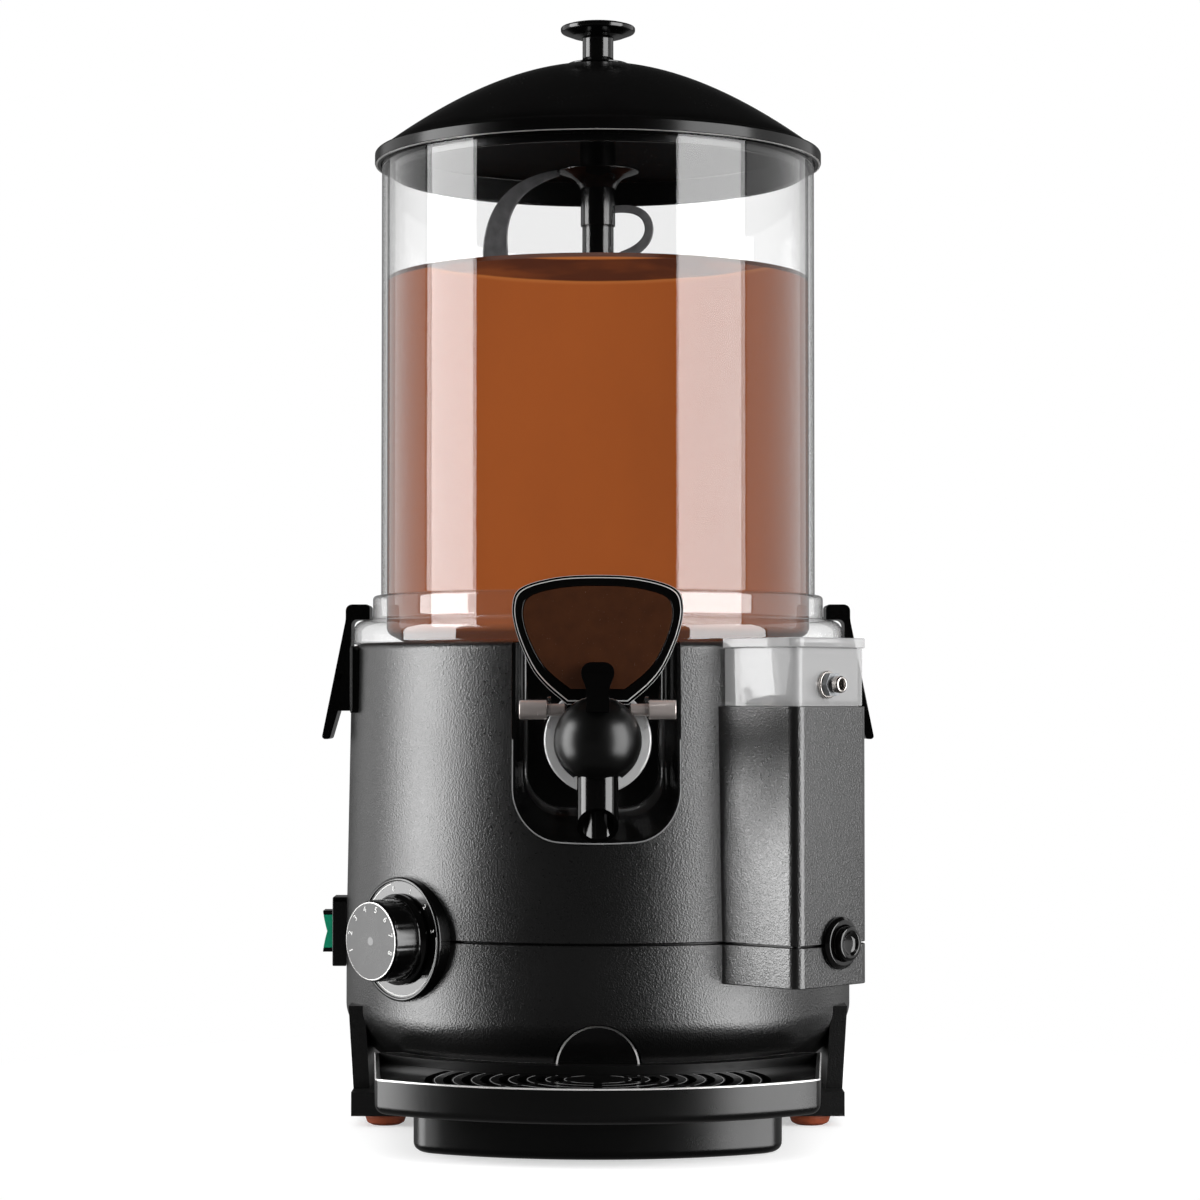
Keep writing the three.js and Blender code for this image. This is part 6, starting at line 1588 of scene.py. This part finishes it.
rocker_turn = turned(SWITCH_AZIMUTH)
half_tall = ROCKER_TALL / 2 - 0.6
half_wide = ROCKER_WIDE / 2 - 0.1
back = -(DRUM + 3)
END = 2.1
DIP = 2.2
for name, low, high, paint in (
    ("rocker_green", -half_tall + END, half_tall - END, green_plastic),
    ("rocker_end_top", half_tall - END, half_tall, gloss),
    ("rocker_end_low", -half_tall, -half_tall + END, gloss),
):
    heights = [low + (high - low) * k / 12 for k in range(13)]
    fronts = [(-ROCKER_FRONT + DIP * (1 - abs(z) / half_tall) ** 1.4, SWITCH_HEIGHT + z) for z in heights]
    outline = [(back, SWITCH_HEIGHT + high), *reversed(fronts), (back, SWITCH_HEIGHT + low)]
    part = loft(name, [[(x, y, z) for y, z in outline] for x in (-half_wide, half_wide)], rocker_turn)
    soften(part, 0.35, 2, 50)
    dress(part, paint, "green_rocker", "rocker", "switch_rocker")

# %% [markdown]
# ## Water box
#
# A rounded box stands out of the housing on its right side and holds the water container. Drawn in place it
# would need slanted numbers, so its two halves are drawn in plan, facing the front, and then turned to
# their bearing. The clear container rises above them. The drum keeps the left softbox off them, so one more
# lamp on the left lights only the box and its container.

# %% Box shells
BOX_AZIMUTH = 47
BOX_LEFT, BOX_RIGHT = -44.5, 12.2
BOX_REACH = 174.5
BOX_CORNER = 6
BOX_LOW, BOX_HIGH = 76.6, 214.6
water_side = turned(BOX_AZIMUTH)


def box_plan(inset, back=100):
    corner = max(BOX_CORNER - inset, 1)
    return [(BOX_LEFT + inset, -back), (BOX_LEFT + inset, -BOX_REACH + inset, corner),
            (BOX_RIGHT - inset, -BOX_REACH + inset, corner), (BOX_RIGHT - inset, -back)]


def box_cut(name, inset, low, high):
    """The room inside the box: its plan drawn in by inset, and open towards the drum."""
    return prism(name, box_plan(inset, 90), low, high, water_side)


box_upper = prism("water_box_upper", box_plan(0), SEAM + SEAM_GAP / 2, BOX_HIGH, water_side)
carve(box_upper, box_cut("box_inside", WALL, 60, 240), drum_room("box_drum", -0.8))
soften(box_upper, 0.6, 2, 50)
dress(box_upper, shell, "black_shell", "machine", "housing_upper", angle=35)

DRAIN_SIDE = -12.5
DRAIN_HEIGHT = 97.8
DRAIN = node_mm("drain_collar")[1].z - DRAIN_HEIGHT
drain_place = facing(BOX_AZIMUTH, DRAIN_SIDE, DRAIN_HEIGHT)

box_lower = prism("water_box_lower", box_plan(0), BOX_LOW, SEAM - SEAM_GAP / 2, water_side)
carve(box_lower, box_cut("box_inside", WALL, BOX_LOW + WALL, 120), drum_room("box_drum", -0.8))
soften(box_lower, 0.6, 2, 50)
dress(box_lower, shell, "black_shell", "machine", "housing_lower", angle=35)

box_lip = prism("water_box_lip", box_plan(WALL + 0.5), LIP_LOW, LIP_HIGH, water_side)
carve(box_lip, box_cut("lip_inside", WALL + 2.3, 60, 240), drum_room("lip_drum", -1.6))
dress(box_lip, satin, "black_shell", "machine", "housing_lower")

for target in (box_upper, box_lower, box_lip):
    carve(target, rod("drain_hole", 10.4, 160, 190, SMALL_SIDES, drain_place))
    smooth(target, 35)

# %% [markdown]
# The container is clear, and two facts about it show in the picture: its upper part is as wide as the box,
# and it has a wall all round, so that one sees the back wall through the front one. A solid block would
# show neither, so it is hollowed, and the skirt of its lid reaches into it.

# %% Container and its lid
WINDOW_INSET = 1.2
WINDOW_WALL = 2.2
WINDOW_LOW, WINDOW_HIGH = BOX_HIGH + 0.3, 243.4
CONTAINER_INSET = WALL + 0.6
CONTAINER_LOW = node_mm("water_window")[0].z
CLEAR_OF_DRUM = DRUM + 0.6

fitting_place = facing(BOX_AZIMUTH, -20.4, 225.4)
window = prism("window_outside", box_plan(WINDOW_INSET), WINDOW_LOW, WINDOW_HIGH, water_side)
carve(window, rod("window_drum", CLEAR_OF_DRUM, 100, 260, FINE_SIDES))
window_hollow = box_cut("window_inside", WINDOW_INSET + WINDOW_WALL, WINDOW_LOW + WINDOW_WALL, 260)
inner_drum = CLEAR_OF_DRUM + WINDOW_WALL
carve(window_hollow, rod("hollow_drum", inner_drum, 100, 270, FINE_SIDES))
carve(window, window_hollow, rod("fitting_hole", 3.5, 160, 190, HOLE_SIDES, fitting_place))
soften(window, 0.7, 3, 50)
dress(window, window_clear, "clear_plastic", "machine", "water_window", angle=40)

sump = prism("container_sump", box_plan(CONTAINER_INSET), CONTAINER_LOW, WINDOW_LOW + 0.4, water_side)
carve(sump, rod("sump_drum", CLEAR_OF_DRUM, 90, 260, FINE_SIDES))
dress(sump, window_clear, "clear_plastic", "machine", "water_window", angle=40)

lid_top = node_mm("window_lid")[1].z
cap = prism("window_cap", box_plan(WINDOW_INSET - 1.4), WINDOW_HIGH + 0.3, lid_top, water_side)
carve(cap, rod("cap_drum", CLEAR_OF_DRUM, 100, 270, FINE_SIDES))
soften(cap, 1.2, 4, 50)
dress(cap, window_clear, "clear_plastic", "water_lid", "window_lid", angle=40)

skirt_plan = box_plan(WINDOW_INSET + WINDOW_WALL + 0.3)
skirt = prism("cap_skirt", skirt_plan, WINDOW_HIGH - 3, WINDOW_HIGH + 0.4, water_side)
skirt_room = CLEAR_OF_DRUM + WINDOW_WALL + 0.3
skirt_hollow = box_cut("skirt_inside", WINDOW_INSET + WINDOW_WALL * 2 + 0.3, 230, 260)
carve(skirt, skirt_hollow, rod("skirt_drum", skirt_room, 100, 270, FINE_SIDES))
dress(skirt, window_clear, "clear_plastic", "water_lid", "window_lid", angle=40)

# %% [markdown]
# The overflow fitting is a bright nut with a small tube end. The drain's cap is dished, so a finger can
# pull it. The round pieces are turned round their own axes, and the nut is a six-sided prism with a bore,
# because a lathe makes no corners.

# %% Fitting and drain
FITTING_FACE = BOX_REACH - WINDOW_INSET + 0.3
NUT = 6.4
boss = lathe("fitting_boss", [
    (2.2, FITTING_FACE - 5), (3.4, FITTING_FACE - 5), (3.4, FITTING_FACE), (6.9, FITTING_FACE, 0.4),
    (6.9, FITTING_FACE + 1.6, 0.7), (2.2, FITTING_FACE + 1.6),
], SMALL_SIDES, fitting_place)
dress(boss, steel, "steel", "machine", "overflow_fitting")
corners = [math.radians(a) for a in range(0, 360, 60)]
hexagon = [(NUT * math.cos(a), NUT * math.sin(a), 0.5) for a in corners]
nut = prism("fitting_nut", hexagon, FITTING_FACE + 1.7, FITTING_FACE + 4.9, fitting_place)
carve(nut, rod("nut_bore", 3.6, 160, 200, HOLE_SIDES, fitting_place))
soften(nut, 0.5, 2, 40)
dress(nut, motor_metal, "steel", "machine", "overflow_fitting")
tip = lathe("fitting_tip", [
    (2.2, FITTING_FACE + 1), (3.6, FITTING_FACE + 1), (3.6, FITTING_FACE + 6), (4.2, FITTING_FACE + 6.6, 0.4),
    (4.2, FITTING_FACE + 10, 1), (2.9, FITTING_FACE + 10, 0.6), (2.2, FITTING_FACE + 8.6),
], SMALL_SIDES, fitting_place)
dress(tip, steel, "steel", "machine", "overflow_fitting")

collar = lathe("drain_ring", [
    (8.9, BOX_REACH - 4), (10.2, BOX_REACH - 4), (10.2, BOX_REACH + 0.3), (DRAIN, BOX_REACH + 0.3, 0.6),
    (DRAIN, BOX_REACH + 2, 0.9), (DRAIN - 1.7, BOX_REACH + 3.7, 0.9), (8.9, BOX_REACH + 3.7, 0.5),
], 96, drain_place)
dress(collar, gloss, "black_shell", "machine", "drain_collar")

PLUG = 8.6
PLUG_FRONT = BOX_REACH + 8
plug = lathe("drain_cap", [
    (0, BOX_REACH - 4), (PLUG, BOX_REACH - 4), (PLUG, PLUG_FRONT, 1.4), (PLUG - 2.4, PLUG_FRONT - 0.1, 0.8),
    (PLUG / 2, PLUG_FRONT - 1.7, 3), (0, PLUG_FRONT - 2),
], 96, drain_place)
dress(plug, gloss, "black_gloss", "drain", "drain_plug", angle=40)

spot("water_card", -96, -66, -0.05, 0.6, 3.5, box_upper, box_lower, window, cap)

# %% [markdown]
# ## Drip tray
#
# The tray catches the drops in front of the machine. Its front is an arc, its back follows the drum, and
# under the rim hangs a smaller basin that stands on the table. Each outline could be drawn alone, but the
# walls need the same form again and again, so one function draws them all in plan, each with its own inset.

# %% Tray outlines
TRAY_TOP = 38
TRAY_SHELF = 21
TRAY_FRONT = 230
TRAY_CORNER = (105.7, 190)
TRAY_BACK = (114, 74)
TRAY_BACK_ARC = DRUM - 9.5
TRAY_WALL = 2.4
TRAY_ROUND = 4.8
LEDGE = 31
sagitta = TRAY_FRONT - TRAY_CORNER[1]
FRONT_ARC = (TRAY_CORNER[0] ** 2 + sagitta ** 2) / (2 * sagitta)
FRONT_CENTRE = TRAY_FRONT - FRONT_ARC


def arced_plan(corner_x, front_inset, back_arc, back_x, back_y, corner_round, inset):
    radius = FRONT_ARC - inset
    half = math.asin((corner_x - inset) / radius)
    keep_half = math.degrees(half - corner_round / radius)
    shift = Vector((0, front_inset - FRONT_CENTRE))
    front = [(*(p + shift), 0.001) for p in arc(radius, keep_half, -keep_half, 48)]
    corner = (radius * math.sin(half), -radius * math.cos(half) + shift.y, corner_round)
    rear = back_arc + inset
    rear_x = min(back_x - inset, math.sqrt(rear ** 2 - (back_y + inset) ** 2))
    rear_half = math.degrees(math.asin(rear_x / rear))
    back = [tuple(p) for p in arc(rear, -rear_half, rear_half, 48)]
    horn = [(back_x - inset, -(back_y + inset))] if back_x - inset > rear_x + 0.1 else []
    mirrored = [(-corner[0], *corner[1:]), *((-x, y) for x, y in horn)]
    outline = [*back, *horn, corner, *((x, y) for x, y, _ in front), *mirrored]
    return [tuple(p) for p in fillet(outline)]


def rim_plan(inset):
    return arced_plan(TRAY_CORNER[0], 0, TRAY_BACK_ARC, *TRAY_BACK, 7, inset)


def well_plan(inset):
    return arced_plan(TRAY_CORNER[0], 0, DRUM + 1.2 - TRAY_WALL, *TRAY_BACK, 7, inset)


def basin_plan(inset):
    return arced_plan(89, 34, DRUM + 4.1, 89, 0, 14, inset)

# %% [markdown]
# The tray's lower edges are quarter rounds. A bevel gets uneven where an outline bends, so rings of the
# outline with smaller and smaller insets are joined from the bottom up, and the hollow is cut out
# afterwards. A thin bright line all round the rim is a painted highlight.

# %% Tray
def rounded_below(name, plan, low, high, edge, top_edge):
    """A body whose bottom edge is a quarter round and whose top edge is rounded a little."""
    levels = []
    for k in range(9):
        angle = math.pi / 2 * k / 8
        levels.append((edge * (1 - math.sin(angle)), low + edge * (1 - math.cos(angle))))
    levels += [(0, high - top_edge), (top_edge * 0.3, high - top_edge * 0.3), (top_edge, high)]
    return loft(name, [[(x, y, z) for x, y in plan(inset)] for inset, z in levels])


basin_well = (basin_plan(TRAY_WALL), TRAY_WALL, TRAY_TOP)
rim = rounded_below("tray_rim", rim_plan, TRAY_SHELF, TRAY_TOP, TRAY_ROUND, 0.6)
carve(
    rim,
    prism("tray_well", well_plan(TRAY_WALL + 3), TRAY_SHELF + TRAY_WALL, TRAY_TOP + 4),
    prism("tray_ledge", well_plan(TRAY_WALL), LEDGE, TRAY_TOP + 5),
    prism("tray_basin_hole", basin_well[0], TRAY_SHELF - 3, TRAY_TOP),
)
dress(rim, satin, "black_gloss", "tray", "drip_tray", angle=35)
basin = rounded_below("tray_basin", basin_plan, 0, TRAY_SHELF + 0.3, TRAY_ROUND, 0)
carve(basin, prism("tray_basin_well", *basin_well))
dress(basin, satin, "black_gloss", "tray", "drip_tray", angle=35)

# The thin bright line round the rim: a painted highlight.
edge_levels = [
    (0, TRAY_TOP - 0.7), (0, TRAY_TOP - 0.4), (0.25, TRAY_TOP), (0.7, TRAY_TOP), (0.7, TRAY_TOP - 0.6),
]
edge_rings = [[(x, y, z) for x, y in rim_plan(inset - 0.02)] for inset, z in edge_levels]
tray_edge = loft("tray_edge", edge_rings, hollow=True)
dress(tray_edge, painted_highlight, "steel", "tray", "drip_tray", angle=50)

# %% [markdown]
# The arched tongue at the back of the tray stands in the housing's notch. The bright line on its edge is a
# painted highlight.
# An arch could be drawn from points, but a disc turned round the notch's own middle fits it everywhere, and
# a block keeps only what stands above the rim.

# %% Tongue
TONGUE = 20.8
TONGUE_FRONT = TRAY_BACK_ARC + 2.6
TONGUE_BACK = TRAY_BACK_ARC - 0.4
notch_place = facing(0, 0, NOTCH_HEIGHT)


def clip_above(name, low):
    """A block that keeps what stands above a height."""
    return prism(name, [(-30, low), (30, low), (30, 90), (-30, 90)], 100, 150, FRONTAL)


tongue = lathe("tray_tongue", [
    (0, TONGUE_BACK), (TONGUE, TONGUE_BACK), (TONGUE, TONGUE_FRONT, 0.6), (0, TONGUE_FRONT),
], 128, notch_place)
carve(tongue, clip_above("tongue_clip", 33.4), operation="INTERSECT")
dress(tongue, gloss, "black_gloss", "tray", "drip_tray")
# The bright line on the tongue's edge: a painted highlight.
tongue_edge = lathe("tongue_edge", [
    (TONGUE - 0.9, TONGUE_FRONT - 0.4), (TONGUE, TONGUE_FRONT - 0.7), (TONGUE, TONGUE_FRONT - 0.1),
    (TONGUE - 0.9, TONGUE_FRONT + 0.1),
], 128, notch_place)
carve(tongue_edge, clip_above("edge_clip", TRAY_TOP), operation="INTERSECT")
dress(tongue_edge, painted_highlight, "steel", "tray", "drip_tray")

# %% [markdown]
# The grille lets the drops fall into the tray. It has slots in rings round the place of the cup, crossed by
# bars. Each slot could be cut alone, but all of them in one cutter need a single cut. A fine grey line along
# the inner side of each ring, broken by the same bars, is a painted highlight of the slots' edges.

# %% Grille
GRILLE_LOW, GRILLE_HIGH = LEDGE + 0.3, LEDGE + 2.9
RING_COUNT = 8
RING_FIRST = 17
RING_PITCH = 9
RING_SIDES = 160
SLOT = 4
BAR_WIDE = 4.2
LINE_WIDE = 0.35
grille_place = Matrix.Translation((0, -TAP, 0))


def grille_rings(name, first, wide, low, high):
    """Rings round the cup's place, broken where the bars cross them and ended by the grille's border."""
    form = bmesh.new()
    for k in range(RING_COUNT):
        inner = first + RING_PITCH * k
        rings = []
        for radius, z in ((inner, low), (inner + wide, low), (inner + wide, high), (inner, high)):
            angles = [2 * math.pi * i / RING_SIDES for i in range(RING_SIDES)]
            rings.append([form.verts.new((radius * math.cos(a), radius * math.sin(a), z)) for a in angles])
        skin(form, rings, closed=True)
    made = piece(name, form, grille_place)
    for k in range(3):
        bar_outline = box_outline(-BAR_WIDE / 2, BAR_WIDE / 2, -200, 200, 0.1)
        carve(made, prism("grille_bar", bar_outline, low - 1, high + 1, grille_place @ turned(60 * k)))
    field = prism("grille_field", well_plan(TRAY_WALL + 6.6), low - 2, high + 2)
    return carve(made, field, operation="INTERSECT")


slots = grille_rings("grille_slots", RING_FIRST, SLOT, GRILLE_LOW - 3, GRILLE_HIGH + 3)
grille = prism("grille_plate", well_plan(TRAY_WALL + 0.6), GRILLE_LOW, GRILLE_HIGH)
carve(grille, slots)
soften(grille, 0.55, 3, 50)
dress(grille, gloss, "black_gloss", "grille", "drip_grille", angle=35)
# Fine grey lines along the slots' edges: painted highlights.
line_low, line_high = GRILLE_HIGH - 0.5, GRILLE_HIGH + 0.04
ring_lines = grille_rings("grille_lines", RING_FIRST - 1, LINE_WIDE, line_low, line_high)
dress(ring_lines, painted_grey_highlight, "steel", "grille", "drip_grille", angle=50)

# %% [markdown]
# ## Legs, feet and rear
#
# A bent leg on each side carries the housing on two rubber feet. The CAD model's legs are right in form, so
# they stay and only get softer edges. The feet bulge a little where they are pressed on the table, so they
# are turned anew.

# %% Legs and feet
for label in ("right", "left"):
    keep("leg_" + label, shell, 0.9)

FOOT = 10.5
FOOT_TALL = 7.1
for row in ("front", "rear"):
    for label in ("right", "left"):
        name = "foot_%s_%s" % (row, label)
        foot_low, foot_high = node_mm(name)
        middle = (foot_low + foot_high) / 2
        foot = lathe(name + "_pad", [
            (0, 0), (FOOT - 3.4, 0, 1), (FOOT - 1, 1.2, 1.6), (FOOT, 4, 1.4), (FOOT, FOOT_TALL),
            (0, FOOT_TALL),
        ], SMALL_SIDES, Matrix.Translation((middle.x, middle.y, 0)))
        dress(foot, foot_rubber, "brown_rubber", "machine", name, angle=40)

# %% [markdown]
# At the back a vent panel with level slots sits in the drum, and below it the gland for the mains lead. A
# flat panel would stand off the round drum, so the panel is a part of a ring, and so is every slot that is
# cut into it.

# %% Vent panel and gland
vent = vent_sector("vent_plate", DRUM - 2.2, DRUM + 0.15, VENT_LOW, VENT_HIGH, VENT_HALF)
VENT_SLOTS = 7
SLOT_HALF_RISE = 1.6
SLOT_STEP = (VENT_HIGH - VENT_LOW) / (VENT_SLOTS + 1)
for k in range(VENT_SLOTS):
    middle = VENT_LOW + SLOT_STEP * (k + 1)
    low, high = middle - SLOT_HALF_RISE, middle + SLOT_HALF_RISE
    carve(vent, vent_sector("vent_slot", DRUM - 6, DRUM + 6, low, high, 18))
soften(vent, 0.5, 2, 50)
dress(vent, satin, "black_shell", "machine", "rear_vent_panel")

GLAND = 11
gland_front = DRUM + 0.3
gland_end = node_mm("cable_gland")[1].y
gland = lathe("gland_turned", [
    (4, DRUM - 8), (7.5, DRUM - 8), (7.5, gland_front), (GLAND, gland_front, 0.6),
    (GLAND, gland_end - 6, 0.8), (8.6, gland_end - 5.4, 0.5), (7.4, gland_end, 1), (4, gland_end, 0.5),
], SMALL_SIDES, facing(180, 0, node_mm("cable_gland")[0].z + GLAND))
dress(gland, grey_plastic, "grey_plastic", "machine", "cable_gland")

# %% [markdown]
# What sits inside the housing stays as the CAD model has it. New forms could hardly be seen there, so these
# pieces only get their own materials and softer edges.

# %% Inner pieces
for node, paint in (
    ("base_plate", steel), ("base_screw_1", steel), ("base_screw_2", steel), ("base_screw_3", steel),
    ("tank_floor", steel), ("tank_seal", silicone), ("heater_drum", steel), ("heating_element", steel),
    ("gearbox", grey_plastic), ("motor", motor_metal), ("motor_bracket", steel), ("drive_shaft", steel),
    ("shaft_seal", silicone), ("thermostat_body", steel),
):
    keep(node, paint, 0.2)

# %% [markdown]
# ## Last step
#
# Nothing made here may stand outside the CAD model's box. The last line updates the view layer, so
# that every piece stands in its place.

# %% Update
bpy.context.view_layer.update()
